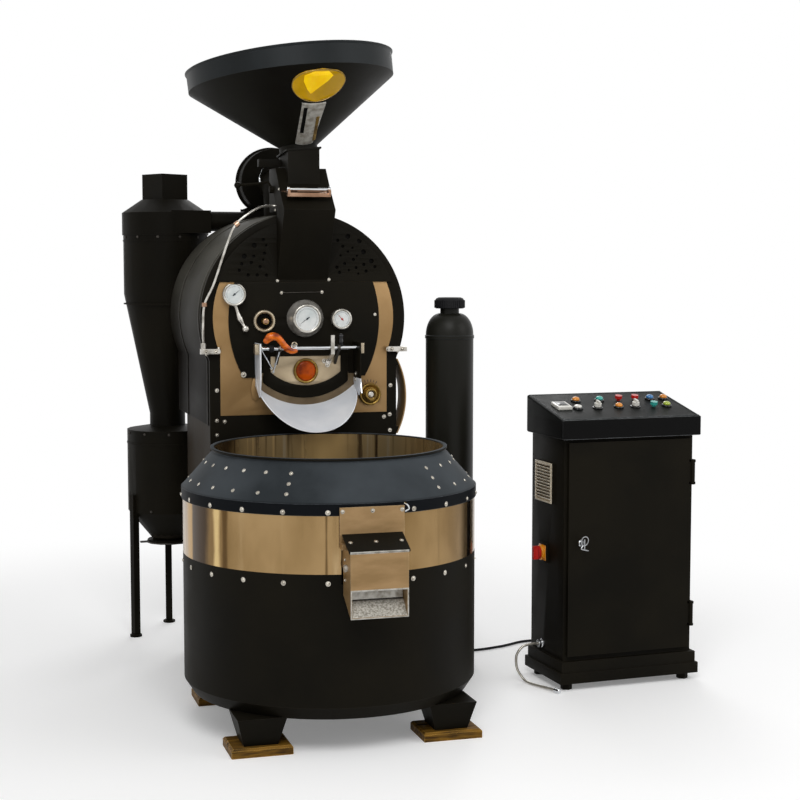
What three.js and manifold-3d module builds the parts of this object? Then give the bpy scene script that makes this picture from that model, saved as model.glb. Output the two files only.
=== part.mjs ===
// Shop coffee roaster: drum roaster with feed hopper, cooling bin, cyclone, exhaust stack and control
// cabinet.
// Millimetres, +Z up, the front faces -Y. The origin lies on the floor under the middle of the pedestal.

import * as THREE from 'three';
import { mergeVertices } from 'three/addons/utils/BufferGeometryUtils.js';
import Module from 'manifold-3d';

const wasm = await Module();
wasm.setup();

// Clearances and facets
const fit = 0.3;
const overrun = 6;
const weld = 0.001;
const bigSides = 28;
const roundSides = 18;
const midSides = 12;
const smallSides = 8;
const holeSides = 6;
const beltSteps = 7;
const guardSteps = 4;
const archSteps = 8;
const arcSteps = 5;
const ductSides = 10;

// Roasting barrel and the pedestal that carries it
const pedestal = { halfWidth: 330, depth: 520, height: 900, wall: 5, floor: 8, ventHalf: 190,
  ventBottom: 160,
  ventTop: 560, slats: 5, slatHeight: 34, ledge: 34, ledgeZ: 700, ledgeThickness: 6, portRadius: 14,
  portLength: 16, portY: 40, portZ: 100, linkHalf: 70, linkTop: 340, linkHeight: 50 };
const barrel = { frontY: -260, depth: 700, radius: 362, halfWidth: 332, axisZ: 1270, wall: 5,
  burnerHalf: 210, burnerFrontIn: 60, burnerLength: 380, bandWidth: 24, bandProud: 3, bandFirst: 14,
  bandPitch: 430, bandCount: 2 };
const frontPlate = { thickness: 12, bottomZ: 843, feedHalf: 78, feedBottomZ: 1412, feedTopZ: 1528,
  boltX: 334, boltZ: 1158, boltWidth: 62, boltHeight: 16, boltProud: 22 };
const mouth = { half: 112, bottomZ: 1042, topZ: 1130 };
const bronzePanel = { thickness: 3, radius: 320, halfWidth: 296, bottomZ: 936 };
const facePlate = { thickness: 6, sideRadius: 400, halfWidth: 267, waistZ: 1262, topZ: 1394, bottomZ: 1065,
  tongueHalf: 164, tongueBottomZ: 988 };
const cover = { radius: 338, holeSmall: 5.5, holeLarge: 8.5, rows: 3, rowPitch: 44, columnPitch: 34,
  firstZ: 1428,
  leftX: -234, leftColumns: 4, rightX: 122, rightColumns: 5, rim: 20 };
const rearPlate = { thickness: 12, bearingRadius: 62, bearingLength: 60, shaftRadius: 20 };

// Drum with its shaft, flights and pulley
const drum = { radius: 272, wall: 6, frontGap: 14, rearGap: 26, lip: 26, lipLength: 8, spokes: 4,
  spokeWidth: 44,
  spokeThickness: 12, hubRadius: 58, hubLength: 50, flights: 3, flightHeight: 62, flightThickness: 4,
  twist: 0.9, flightSteps: 3 };
const pulley = { radius: 122, width: 30, groove: 11, beltWidth: 13, beltThickness: 9, rearGap: 12,
  bossRadius: 34,
  bossLength: 16, motorRadius: 46, motorZ: 780, motorShaftRadius: 12, beltLift: 1.5 };
const drumMotor = { radius: 74, gearHalf: 70, gearLength: 90, plateHalf: 92, plateThickness: 8,
  plateTop: 866,
  finCount: 8, finProud: 7, finThickness: 6, shaftGap: 2, shelfDrop: 86 };

// Burner under the drum
const burner = { tubes: 3, tubeRadius: 18, pitch: 130, length: 330, manifoldRadius: 26, manifoldHalf: 190,
  barWidth: 36, barThickness: 10, slots: 1, slotWidth: 6, slotLength: 250, slotDepth: 9,
  inletRadius: 14, inletX: 150, inletOut: 46, frontIn: 80, holeGap: 2 };

// Feed chute, throat, slide gate and hopper
const chute = { x: -8, halfWidth: 89, wall: 4, lipZ: 1400, noseOut: 130, noseZ: 1638, stepOut: 60,
  stepZ: 1706,
  shoulderOut: -8, backIn: 110, topZ: 1784, throatHalf: 55, throatOut: 40, throatTopZ: 1838,
  ledge: 8, bracketReach: 76, bracketDepth: 30, bracketHeight: 26, bracketDrop: 20 };
const gate = { z: 1700, thickness: 4, sideGap: 1.5, backGap: 4, tabHalf: 40, barY: 112, thinRadius: 4.5,
  thickRadius: 9, thickDrop: 16, halfLength: 75, endWidth: 9, endRadius: 14 };
const damper = { y: -215, z: 1712, hubRadius: 13, hubLength: 14, rodRadius: 5, rodLength: 118,
  knobRadius: 12,
  pinRadius: 5 };
const hopper = { radius: 355, neckRadius: 66, neckHeight: 22, slope: 36.7, band: 78, wall: 4, lip: 5,
  lipHeight: 8,
  lean: 5, pitch: 5, flangeThickness: 6, flangeOut: 10 };
const hopperWindow = { azimuth: 3, radius: 281, halfWidth: 92, halfHeight: 70, thickness: 5, rim: 9 };
const hopperStrip = { topRadius: 212, bottomRadius: 76, topHalf: 42, bottomHalf: 31, thickness: 3,
  slotHalf: 5,
  slotInset: 16, slotEnd: 16 };

// Exhaust fan behind the barrel with its elbow and pipe
const fan = { x: 40, z: 1760, rearGap: 5, width: 80, wall: 3, innerRadius: 100, outletHeight: 80,
  outletReach: 110,
  duct: 56, ductWall: 3, ductIn: 100, pipeRadius: 38, elbowDrop: 72, elbowLead: 42, motorRadius: 56,
  motorLength: 105, motorCap: 46, motorCapLength: 12, pipeWall: 3, rimThickness: 6, rimProud: 9,
  scrollSteps: 16 };
const impeller = { radius: 86, blades: 8, bladeHeight: 46, bladeThickness: 3, disc: 4, hubRadius: 18,
  inner: 54, shaftRadius: 8, sideGap: 6, sweep: 0.45 };

// Controls and gauges on the front
const gaugeRoute = { startY: -250, startZ: 1655, startOut: 16, leadX: -150, leadY: -268, leadZ: 1650,
  bends: [[-196, 1628], [-243, 1588], [-272, 1525], [-319, 1390], [-352, 1318], [-358, 1240]], lastRise: 20 };
const gaugeTube = { radius: 5.5, out: 27, sides: 6, steps: 20, nutRadius: 10, nutLength: 20 };
const pressureGauge = { x: -252, z: 1353, radius: 40, depth: 26, stemRadius: 6, elbowX: -233, elbowZ: 1273,
  ballX: -213, ballZ: 1235, ballRadius: 13, standOff: 10, rim: 5, recess: 4 };
const centreGauge = { x: 0, z: 1268, baseRadius: 65, baseDepth: 8, dialRadius: 46, depth: 40, rim: 5,
  recess: 5,
  neckRadius: 50 };
const smallGauge = { x: 128, z: 1265, radius: 36, depth: 22, rim: 4, recess: 4 };
const trier = { x: -144, z: 1260, ringRadius: 39, ringInner: 26, ringDepth: 12, rodRadius: 11,
  knobLength: 34,
  length: 205, scoopLength: 96, gap: 0.8 };
const airKnob = { x: 233, z: 1000, radius: 39, depth: 16, innerRadius: 21, innerDepth: 28, baseRadius: 30,
  recess: 5, stemRadius: 9 };
const sideGuard = { bottomZ: 857, topZ: 1122, bulge: 32, thickness: 3, depth: 90, lug: 18 };

// Discharge door, its bar, handle, latch and scoop
const door = { halfWidth: 137, topZ: 1143, arcZ: 1225, bottomZ: 1032, thickness: 9, ringRadius: 44,
  ringProud: 7, glassX: 0, glassZ: 1087, glassRadius: 35, armX: 104, armWidth: 9, armHeight: 34,
  hubRadius: 12 };
const hingeBar = { out: 75, z: 1168, radius: 6, blockRadius: 13, blockLength: 16 };
const scoop = { half: 177, topZ: 1075, bottomZ: 968, reach: 182, tipDrop: 79, wall: 3, cheekTop: 1186,
  cheekBottom: 1052, cheekOut: 92, cheekRise: 30, cheekThickness: 4, lipInner: 992, lipThickness: 5 };
const handle = { radius: 12, endRadius: 13, hubRadius: 15, hubLength: 22, x: -56 };
const latch = { x: 80, z: 1118, width: 13, thickness: 4, headRadius: 10, headLength: 9, standOff: 1,
  kneeRise: 32,
  topRise: 94, barGap: 3 };

// Cooling bin with its outlet, screen, stirrer and drive
const bin = { x: -35, y: -750, radius: 465, wall: 4, skirtBottom: 112, hem: 26, hemRise: 40, skirtTop: 551,
  bandTop: 724, flangeTop: 759, flangeProud: 4, mouthRadius: 370, coneTop: 868, rimTop: 880, rimProud: 6,
  baseInner: 80, basePlate: 5, footSpacing: 595 };
const foot = { top: 150, bottom: 104, padWidth: 186, padDepth: 150, padHeight: 28, padBevel: 6 };
const liner = { wall: 3, floorZ: 640, bottomZ: 616, topZ: 877, shelf: 14, shelfThickness: 4, gateHalf: 76,
  gateTop: 698 };
const screen = { thickness: 4, hubRadius: 42, rings: 2, firstRadius: 80, ringPitch: 138, firstSlots: 6,
  slotsPerRing: 4, slotLength: 112, slotWidth: 8 };
const outlet = { offset: 12, plateHalf: 98, plateTop: 750, plateThickness: 4, boxHalf: 87, boxOut: 85,
  boxTop: 632, boxBottom: 436, frontBottom: 520, wall: 4, angleTop: 646, angleOut: 30, floorRise: 58,
  rampDrop: 66, rampHeight: 62, holeGap: 3, pivotZ: 578, pivotIn: 40, pivotRadius: 5, pivotHead: 11,
  pivotHeadLength: 8, flapLength: 92, flapThickness: 4, flapSideGap: 2 };
const stirrer = { shaftRadius: 16, hubRadius: 34, hubHeight: 44, arms: 4, armRadius: 11, reach: 338,
  paddleHeight: 46, paddleThickness: 5, paddleCount: 2, paddleLength: 74, paddleTurn: 0.6, floorGap: 6,
  armRise: 62, capRadius: 22, capHeight: 14 };
const binDrive = { gearRadius: 74, gearHeight: 84, beamZ: 500, beamHalf: 34, beamThickness: 12,
  motorRadius: 58,
  motorHeight: 120, socketDepth: 50 };
const blower = { radius: 176, height: 128, motorRadius: 60, motorHeight: 84, ductRadius: 58, ductZ: 182 };

// Cyclone, chaff bin and exhaust stack
const cyclone = { x: -353, y: 607, wall: 4, collarRadius: 69, collarBottom: 826, coneBottom: 873,
  coneTop: 1340,
  radius: 163, bandBottom: 1568, bandRadius: 167, bandTop: 1654, crownTop: 1705, stubHalf: 62,
  stubTop: 1803,
  stubTurn: 30, inletZ: 1618, inletHalf: 43, inletReach: 152 };
const chaff = { radius: 158, wall: 4, bottomZ: 490, topZ: 812,
  outletRadius: 62, outletZ: 372, flangeRadius: 84, flangeThickness: 6, legCircle: 157, legHalf: 13,
  legTopZ: 560, footRadius: 24, footHeight: 9, legAngles: [204, 323, 83] };
const chaffGate = { radius: 90, thickness: 6, earRadius: 13, pinRadius: 5, pinLength: 10, gripLength: 24,
  gripWidth: 18 };
const stack = { x: 548, y: -208, radius: 86, footRadius: 78, footHeight: 12, seamZ: 1190, shoulderTop: 1280,
  seamProud: 3, seamHeight: 10, neckRadius: 34, neckTop: 1296, capRadius: 57, capTop: 1337, ribs: 12,
  domeSteps: 3,
  ribDepth: 4, capBevel: 8 };

// Control cabinet, its corner on the floor at front left
const cabinet = { x: 786, y: -704, turn: 3, width: 530, depth: 300, footHeight: 25, footRadius: 20,
  footInset: 40,
  plinthStep: 62, plinthTop: 100, plinthInset: 8, bodyInset: 20, wall: 3, bodyTop: 864, doorWidth: 470,
  doorBottom: 118, doorTop: 852, doorThickness: 16, doorSkin: 3, frontSet: 10, frame: 34 };
const wiring = { thickness: 4, gap: 24, half: 190, bottom: 170, top: 790, stud: 6, contactors: 3,
  contactorDepth: 62, contactorHeight: 84, rowZ: 560 };
const cabinetHinge = { radius: 7, length: 68, upperZ: 735, lowerZ: 236, ear: 9, out: 4, leaf: 4,
  pinRadius: 3,
  notch: 14 };
const vent = { z: 701, y: 185, width: 131, height: 140, slats: 8, slatThickness: 2.4, slatDepth: 9,
  frame: 6, proud: 3, slatLean: 0.5 };
const mainSwitch = { z: 452, y: 185, plateHalf: 33, plateThickness: 7, radius: 23, depth: 20, gripHalf: 7,
  gripDepth: 16, stemRadius: 8 };
const gland = { z: 129, y: 185, radius: 12, length: 20, hexRadius: 15, hexLength: 8 };
const rearGland = { x: 265, z: 129 };
const lock = { inset: 46, z: 509, radius: 12, proud: 7, keyHole: 4.5, keyHeight: 34, keyThickness: 3.5,
  keyLength: 22, bladeRadius: 4 };
const desk = { frontZ: 931, backZ: 997, wall: 3 };
const control = { topRowShare: 0.33, bottomRowShare: 0.6, bezelRadius: 17, bezelHeight: 6, headRadius: 13,
  headHeight: 11, lowBezel: 3, headGap: 7, stemRadius: 7, stemLength: 16, lampRadius: 12, lampHeight: 9,
  gripWidth: 7,
  gripHeight: 9 };
const lampShares = [[0.27, 'topRow'], [0.443, 'topRow'], [0.818, 'topRow'], [0.92, 'topRow'], [0.51,
  'bottomRow'],
  [0.213, 'bottomRow'], [0.864, 'bottomRow']];
const meter = { startShare: 0.07, endShare: 0.165, depthShares: [0.42, 0.62], height: 9 };

// Cords that lie on the floor; the routes run from the pedestal's port and from the cabinet's left gland
const cable = { radius: 5, sides: 8, steps: 44, lead: 16, tension: 0.4 };
const cableRoute = [[385, 40, 98], [430, 30, 50], [476, 8, 12], [560, -40, 5.8], [697, -71, 5.8],
  [820, -40, 5.8], [920, 8, 5.8], [1010, 0, 5.8], [1060, -80, 5.8], [1070, -200, 8], [1050, -290, 32],
  [1036, -345, 108]];
const conduit = { radius: 4.5, sides: 8, steps: 20, tension: 0.4, ferruleRadius: 8, ferruleLength: 26 };
const conduitRoute = [[-24, 185, 129], [-60, 185, 122], [-84, 184, 92], [-82, 182, 46], [-64, 160, 10],
  [-52, 110, 5.6], [-24, 24, 8.6], [-12, -16, 8.6]];

// Colours and finishes

function finish(color, roughness, metalness) {
  return new THREE.MeshStandardMaterial({ color, roughness, metalness });
}

const blackPaint = finish(0x1a1814, 0.5, 0.2);
const blueBlack = finish(0x2b3036, 0.42, 0.3);
const bronze = finish(0x98764a, 0.34, 0.9);
const mirrorBronze = finish(0xa88a5c, 0.16, 1);
const steel = finish(0x8f9296, 0.32, 0.9);
const darkSteel = finish(0x4a4846, 0.5, 0.8);
const chrome = finish(0xd8dadc, 0.1, 1);
const amberGlass = finish(0xd06a10, 0.08, 0);
const amberHandle = finish(0xc8500c, 0.15, 0);
const yellowGlass = finish(0xe8b010, 0.1, 0);
const rubber = finish(0x17171a, 0.8, 0);
const wood = finish(0x9a6a20, 0.6, 0);
const redPlastic = finish(0xc4241c, 0.35, 0);
const tealPlastic = finish(0x2f9d92, 0.35, 0);
const whitePlastic = finish(0xe4e2da, 0.4, 0);
const castIron = finish(0x3a3836, 0.65, 0.6);

// Solids and their joins

// A closed solid from a geometry, welded, with its faces turned outwards.
function solid(geometry) {
  geometry.deleteAttribute('normal');
  geometry.deleteAttribute('uv');
  const welded = mergeVertices(geometry, weld);
  const places = welded.attributes.position.array;
  const corners = welded.index.array;
  const kept = [];
  const a = new THREE.Vector3();
  const b = new THREE.Vector3();
  const c = new THREE.Vector3();
  let volume = 0;
  for (let i = 0; i < corners.length; i += 3) {
    const [p, q, r] = [corners[i], corners[i + 1], corners[i + 2]];
    if (p === q || q === r || r === p) continue;
    kept.push(p, q, r);
    volume += a.fromArray(places, 3 * p).dot(b.fromArray(places, 3 * q).cross(c.fromArray(places, 3 * r)));
  }
  if (volume < 0) kept.reverse();
  return new wasm.Manifold(new wasm.Mesh({
    numProp: 3,
    vertProperties: new Float32Array(places),
    triVerts: new Uint32Array(kept),
  }));
}

function join(...bodies) {
  return bodies.reduce((whole, body) => whole.add(body));
}

function cut(body, ...tools) {
  return tools.reduce((rest, tool) => rest.subtract(tool), body);
}

function geometryOf(body) {
  const mesh = body.getMesh();
  const geometry = new THREE.BufferGeometry();
  geometry.setAttribute('position', new THREE.BufferAttribute(new Float32Array(mesh.vertProperties), 3));
  geometry.setIndex(new THREE.BufferAttribute(new Uint32Array(mesh.triVerts), 1));
  geometry.computeVertexNormals();
  return geometry;
}

// Adds one named piece to a group.
function piece(group, name, body, material) {
  const mesh = new THREE.Mesh(geometryOf(body), material);
  mesh.name = name;
  group.add(mesh);
}

function groupAt(parent, x, y, z) {
  const group = new THREE.Group();
  group.position.set(x, y, z);
  parent.add(group);
  return group;
}

// Basic forms

function block(x0, x1, y0, y1, z0, z1) {
  const geometry = new THREE.BoxGeometry(x1 - x0, y1 - y0, z1 - z0);
  return solid(geometry.translate((x0 + x1) / 2, (y0 + y1) / 2, (z0 + z1) / 2));
}

// The radius of a hole with flat facets that a round piece turns in.
function clearance(radius, sides) {
  return (radius + fit) / Math.cos(Math.PI / sides);
}

// A round rod along one axis; u and v are its centre on the two other axes, in the order x, y, z.
function rod(axis, radius, from, to, u, v, sides = midSides) {
  const geometry = new THREE.CylinderGeometry(radius, radius, to - from, sides);
  const middle = (from + to) / 2;
  if (axis === 'x') return solid(geometry.rotateZ(-Math.PI / 2).translate(middle, u, v));
  if (axis === 'y') return solid(geometry.translate(u, middle, v));
  return solid(geometry.rotateX(Math.PI / 2).translate(u, v, middle));
}

// A form turned about +Z from radius and height pairs; a ring's profile is closed on itself.
function turned(profile, sides, closed = false) {
  const points = profile.map(([r, z]) => new THREE.Vector2(r, z));
  if (closed) points.push(points[0].clone());
  return solid(new THREE.LatheGeometry(points, sides).rotateX(Math.PI / 2));
}

// A form turned about an axis that faces -Y, from radius and reach pairs.
function turnedFront(profile, sides, x, y, z, closed = false) {
  const points = profile.map(([r, reach]) => new THREE.Vector2(r, reach));
  if (closed) points.push(points[0].clone());
  return solid(new THREE.LatheGeometry(points, sides).rotateZ(Math.PI).translate(x, y, z));
}

// An outline drawn in one plane and thickened along the third axis.
function slab(plane, shape, from, to, curveSegments = 12) {
  const geometry = new THREE.ExtrudeGeometry(shape, { depth: to - from, bevelEnabled: false,
    curveSegments });
  if (plane === 'xy') return solid(geometry.translate(0, 0, from));
  if (plane === 'xz') return solid(geometry.rotateX(Math.PI / 2).translate(0, to, 0));
  const turn = new THREE.Matrix4().set(0, 0, 1, from, 1, 0, 0, 0, 0, 1, 0, 0, 0, 0, 0, 1);
  return solid(geometry.applyMatrix4(turn));
}

function polygon(points) {
  return new THREE.Shape(points.map(([u, v]) => new THREE.Vector2(u, v)));
}

function disc(radius, x = 0, y = 0) {
  const shape = new THREE.Shape();
  shape.absarc(x, y, radius, 0, 2 * Math.PI, false);
  return shape;
}

// A round tube through the given points.
function sweep(points, radius, sides, steps, tension = 0.5) {
  const path = new THREE.CatmullRomCurve3(points, false, 'catmullrom', tension);
  return solid(new THREE.ExtrudeGeometry(disc(radius), { steps, extrudePath: path,
    curveSegments: sides / 2 }));
}

// A solid skinned over rings of equal point counts, with flat ends.
function loft(rings) {
  const count = rings[0].length;
  const places = rings.flat().flatMap((point) => point.toArray());
  const corners = [];
  for (let ring = 0; ring + 1 < rings.length; ring += 1) {
    for (let i = 0; i < count; i += 1) {
      const next = (i + 1) % count;
      const a = ring * count + i;
      const b = ring * count + next;
      corners.push(a, b, b + count, a, b + count, a + count);
    }
  }
  const last = (rings.length - 1) * count;
  for (let i = 1; i + 1 < count; i += 1) {
    corners.push(0, i + 1, i);
    corners.push(last, last + i, last + i + 1);
  }
  const geometry = new THREE.BufferGeometry();
  geometry.setAttribute('position', new THREE.Float32BufferAttribute(places, 3));
  geometry.setIndex(corners);
  return solid(geometry);
}

// A body moved by a turn about +Z and a shift.
function placed(body, x, y, z, turn = 0) {
  return body.rotate([0, 0, THREE.MathUtils.radToDeg(turn)]).translate([x, y, z]);
}

// An arch: straight sides that run up into a round top about the barrel's axis.
function arch(radius, halfWidth, bottomZ) {
  const drop = Math.sqrt(radius * radius - halfWidth * halfWidth);
  const angle = Math.atan2(drop, halfWidth);
  const shape = new THREE.Shape();
  shape.moveTo(-halfWidth, bottomZ);
  shape.lineTo(-halfWidth, barrel.axisZ - drop);
  shape.absarc(0, barrel.axisZ, radius, Math.PI + angle, -angle, true);
  shape.lineTo(halfWidth, bottomZ);
  return shape;
}

// The desk's controls that move: their share of the desk's width, row, colour and whether they turn
const movingControls = [
  { name: 'stop_button_left', across: 0.584, row: 'topRow', material: redPlastic, turns: false },
  { name: 'stop_button_right', across: 0.705, row: 'topRow', material: redPlastic, turns: false },
  { name: 'start_button', across: 0.768, row: 'bottomRow', material: tealPlastic, turns: false },
  { name: 'selector_left', across: 0.356, row: 'bottomRow', material: whitePlastic, turns: true },
  { name: 'selector_right', across: 0.633, row: 'bottomRow', material: whitePlastic, turns: true },
];

const roaster = new THREE.Group();

// Pedestal and barrel

const plateBack = barrel.frontY + frontPlate.thickness;
const shellFront = plateBack + fit;
const pedestalBack = barrel.frontY + pedestal.depth;
const rearFace = barrel.frontY + barrel.depth;
const rearFront = rearFace - rearPlate.thickness;
const shellBack = rearFront - fit;
const barrelBottom = pedestal.height + fit;
const bronzeBack = barrel.frontY - fit;
const bronzeFront = bronzeBack - bronzePanel.thickness;
const faceBack = bronzeFront - fit;
const faceFront = faceBack - facePlate.thickness;
const ductY = rearFace - fan.ductIn;
const burnerZ = pedestal.ledgeZ + fit + burner.barThickness / 2 + burner.tubeRadius;

// The block on the pedestal's front that holds the cooling bin's skirt.
function makeBinLink() {
  const { linkHalf, linkTop, linkHeight, wall } = pedestal;
  const reach = block(bin.x - linkHalf, bin.x + linkHalf, bin.y + bin.radius - linkHalf, shellFront + wall / 2,
    linkTop - linkHeight, linkTop);
  return cut(reach, rod('z', bin.radius + fit, 0, bin.skirtTop, bin.x, bin.y, bigSides));
}

function makePedestal() {
  const { halfWidth, height, wall, floor, ventHalf, ventBottom, ventTop } = pedestal;
  const inside = halfWidth - wall;
  const shell = block(-halfWidth, halfWidth, shellFront, pedestalBack, 0, height);
  const hollow = block(-inside, inside, shellFront + wall, pedestalBack - wall, floor, height + overrun);
  const vent = block(-ventHalf, ventHalf, pedestalBack - wall - overrun, pedestalBack + overrun,
    ventBottom, ventTop);
  const inlet = rod('y', burner.inletRadius + burner.holeGap, pedestalBack - wall - overrun,
    pedestalBack + overrun, burner.inletX, burnerZ, smallSides);
  let body = cut(shell, hollow, vent, inlet);
  const pitch = (ventTop - ventBottom) / pedestal.slats;
  for (let i = 0; i < pedestal.slats; i += 1) {
    const z = ventBottom + (i + 0.5) * pitch;
    body = join(body, block(-ventHalf - wall, ventHalf + wall, pedestalBack - wall, pedestalBack,
      z - pedestal.slatHeight / 2, z + pedestal.slatHeight / 2));
  }
  for (const side of [-1, 1]) {
    const ends = [side * (inside - pedestal.ledge), side * (inside + wall / 2)].sort((a, b) => a - b);
    body = join(body, block(...ends, shellFront + wall / 2, pedestalBack - wall / 2,
      pedestal.ledgeZ - pedestal.ledgeThickness, pedestal.ledgeZ));
  }
  const port = rod('x', pedestal.portRadius, halfWidth - wall / 2, halfWidth + pedestal.portLength,
    pedestal.portY, pedestal.portZ, smallSides);
  return join(body, port, makeBinLink());
}

function makeJacket() {
  const { radius, halfWidth, wall } = barrel;
  let shell = slab('xz', arch(radius, halfWidth, barrelBottom), shellFront, shellBack, archSteps);
  for (let i = 0; i < barrel.bandCount; i += 1) {
    const y = shellFront + barrel.bandFirst + i * barrel.bandPitch;
    const raised = arch(radius + barrel.bandProud, halfWidth + barrel.bandProud, barrelBottom);
    shell = join(shell, slab('xz', raised, y, y + barrel.bandWidth, archSteps));
  }
  const hollow = slab('xz', arch(radius - wall, halfWidth - wall, barrelBottom + wall),
    shellFront - overrun, shellBack + overrun, archSteps);
  const burnerFront = barrel.frontY + barrel.burnerFrontIn;
  const flames = block(-barrel.burnerHalf, barrel.burnerHalf, burnerFront,
    burnerFront + barrel.burnerLength,
    barrelBottom - overrun, barrelBottom + wall + overrun);
  const smoke = rod('z', fan.duct - fan.ductWall, barrel.axisZ, barrel.axisZ + radius + overrun, fan.x,
    ductY);
  return cut(shell, hollow, flames, smoke);
}

// The straight-topped outline with a round bottom that the mouth, the door and their frame share.
function mouthOutline(half, topZ, bottomZ) {
  const radius = door.arcZ - bottomZ;
  const drop = Math.sqrt(radius * radius - half * half);
  const angle = Math.atan2(drop, half);
  const shape = new THREE.Shape();
  shape.moveTo(-half, door.arcZ - drop);
  shape.lineTo(-half, topZ);
  shape.lineTo(half, topZ);
  shape.lineTo(half, door.arcZ - drop);
  shape.absarc(0, door.arcZ, radius, -angle, angle - Math.PI, true);
  return shape;
}

function frontHoles() {
  const from = faceFront - overrun;
  const to = plateBack + overrun;
  return [
    slab('xz', mouthOutline(mouth.half, mouth.topZ, mouth.bottomZ), from, to, arcSteps),
    block(chute.x - frontPlate.feedHalf, chute.x + frontPlate.feedHalf, from, to,
      frontPlate.feedBottomZ, frontPlate.feedTopZ),
    rod('y', trier.rodRadius + trier.gap, from, to, trier.x, trier.z, smallSides),
  ];
}

function makeFrontPlate() {
  const { boltX, boltZ, boltWidth, boltHeight, boltProud } = frontPlate;
  let body = slab('xz', arch(barrel.radius, barrel.halfWidth, frontPlate.bottomZ), barrel.frontY, plateBack,
    archSteps);
  body = cut(body, ...frontHoles());
  for (const side of [-1, 1]) {
    body = join(body, block(side * boltX - boltWidth / 2, side * boltX + boltWidth / 2,
      barrel.frontY - boltProud, barrel.frontY + frontPlate.thickness / 2, boltZ - boltHeight / 2,
      boltZ + boltHeight / 2));
  }
  return join(body, makeSideGuard());
}

function makeBronzePanel() {
  const shape = arch(bronzePanel.radius, bronzePanel.halfWidth, bronzePanel.bottomZ);
  const stem = rod('y', clearance(airKnob.stemRadius, smallSides), bronzeFront - overrun,
    bronzeBack + overrun,
    airKnob.x, airKnob.z, smallSides);
  return cut(slab('xz', shape, bronzeFront, bronzeBack, archSteps), ...frontHoles(), stem);
}

function makeFacePlate() {
  const { sideRadius, halfWidth, waistZ, topZ, bottomZ, tongueHalf, tongueBottomZ } = facePlate;
  const arcX = halfWidth - sideRadius;
  const topAngle = Math.asin((topZ - waistZ) / sideRadius);
  const bottomAngle = Math.asin((bottomZ - waistZ) / sideRadius);
  const tongueRadius = door.arcZ - tongueBottomZ;
  const tongueAngle = Math.acos(tongueHalf / tongueRadius);
  const shape = new THREE.Shape();
  shape.absarc(arcX, waistZ, sideRadius, bottomAngle, topAngle, false);
  shape.absarc(-arcX, waistZ, sideRadius, Math.PI - topAngle, Math.PI - bottomAngle, false);
  shape.lineTo(-tongueHalf, bottomZ);
  shape.absarc(0, door.arcZ, tongueRadius, Math.PI + tongueAngle, 2 * Math.PI - tongueAngle, false);
  shape.lineTo(tongueHalf, bottomZ);
  const ring = rod('y', trier.ringRadius, faceFront - trier.ringDepth, faceFront + facePlate.thickness / 2,
    trier.x, trier.z);
  const recess = rod('y', trier.ringInner, faceFront - trier.ringDepth - overrun, faceFront, trier.x,
    trier.z);
  return cut(join(slab('xz', shape, faceFront, faceBack, arcSteps), ring), ...frontHoles(), recess);
}

// The cover over the top of the front has two groups of round holes in two sizes, set in staggered rows.
function makeCover() {
  const flatZ = facePlate.topZ + fit;
  const angle = Math.asin((flatZ - barrel.axisZ) / cover.radius);
  const shape = new THREE.Shape();
  shape.absarc(0, barrel.axisZ, cover.radius, angle, Math.PI - angle, false);
  let body = cut(slab('xz', shape, faceFront, faceBack, archSteps), ...frontHoles());
  const groups = [[cover.leftX, cover.leftColumns], [cover.rightX, cover.rightColumns]];
  for (const [startX, columns] of groups) {
    for (let row = 0; row < cover.rows; row += 1) {
      for (let column = 0; column < columns; column += 1) {
        const x = startX + (column + (row % 2) / 2) * cover.columnPitch;
        const z = cover.firstZ + row * cover.rowPitch;
        const radius = (row + 2 * column) % 3 === 0 ? cover.holeLarge : cover.holeSmall;
        if (Math.hypot(x, z - barrel.axisZ) > cover.radius - cover.rim) continue;
        if (Math.abs(x - chute.x) < chute.halfWidth + cover.rim) continue;
        body = cut(body, rod('y', radius, faceFront - overrun, faceBack + overrun, x, z, holeSides));
      }
    }
  }
  return body;
}

const bearingBack = rearFace + rearPlate.bearingLength;

function makeRearPlate() {
  const shape = arch(barrel.radius, barrel.halfWidth, barrelBottom);
  const boss = rod('y', rearPlate.bearingRadius, rearFace - rearPlate.thickness / 2, bearingBack, 0,
    barrel.axisZ);
  const bore = rod('y', clearance(rearPlate.shaftRadius, midSides), rearFront - overrun,
    bearingBack + overrun, 0, barrel.axisZ);
  return cut(join(slab('xz', shape, rearFront, rearFace, archSteps), boss), bore);
}

// Drum, its flights, shaft and pulley; the group's origin is on the barrel's axis

const drumFront = plateBack + drum.frontGap;
const drumBack = rearFront - drum.rearGap;
const pulleyFront = bearingBack + pulley.rearGap;
const pulleyMiddle = pulleyFront + pulley.width / 2;

function turnedAlongY(profile, sides, closed = false) {
  const points = profile.map(([r, y]) => new THREE.Vector2(r, y));
  if (closed) points.push(points[0].clone());
  return solid(new THREE.LatheGeometry(points, sides));
}

// A flat bar that winds along the drum at one radius.
function flight(outerRadius, height, twist, start) {
  const rings = [];
  const from = drumFront + drum.lipLength;
  const to = drumBack - drum.spokeThickness;
  const half = drum.flightThickness / 2;
  for (let step = 0; step <= drum.flightSteps; step += 1) {
    const share = step / drum.flightSteps;
    const angle = start + twist * share;
    const y = from + (to - from) * share;
    const corner = (r, t) => new THREE.Vector3(r * Math.cos(angle) - t * Math.sin(angle), y,
      r * Math.sin(angle) + t * Math.cos(angle));
    rings.push([corner(outerRadius, half), corner(outerRadius, -half), corner(outerRadius - height, -half),
      corner(outerRadius - height, half)]);
  }
  return loft(rings);
}

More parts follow.
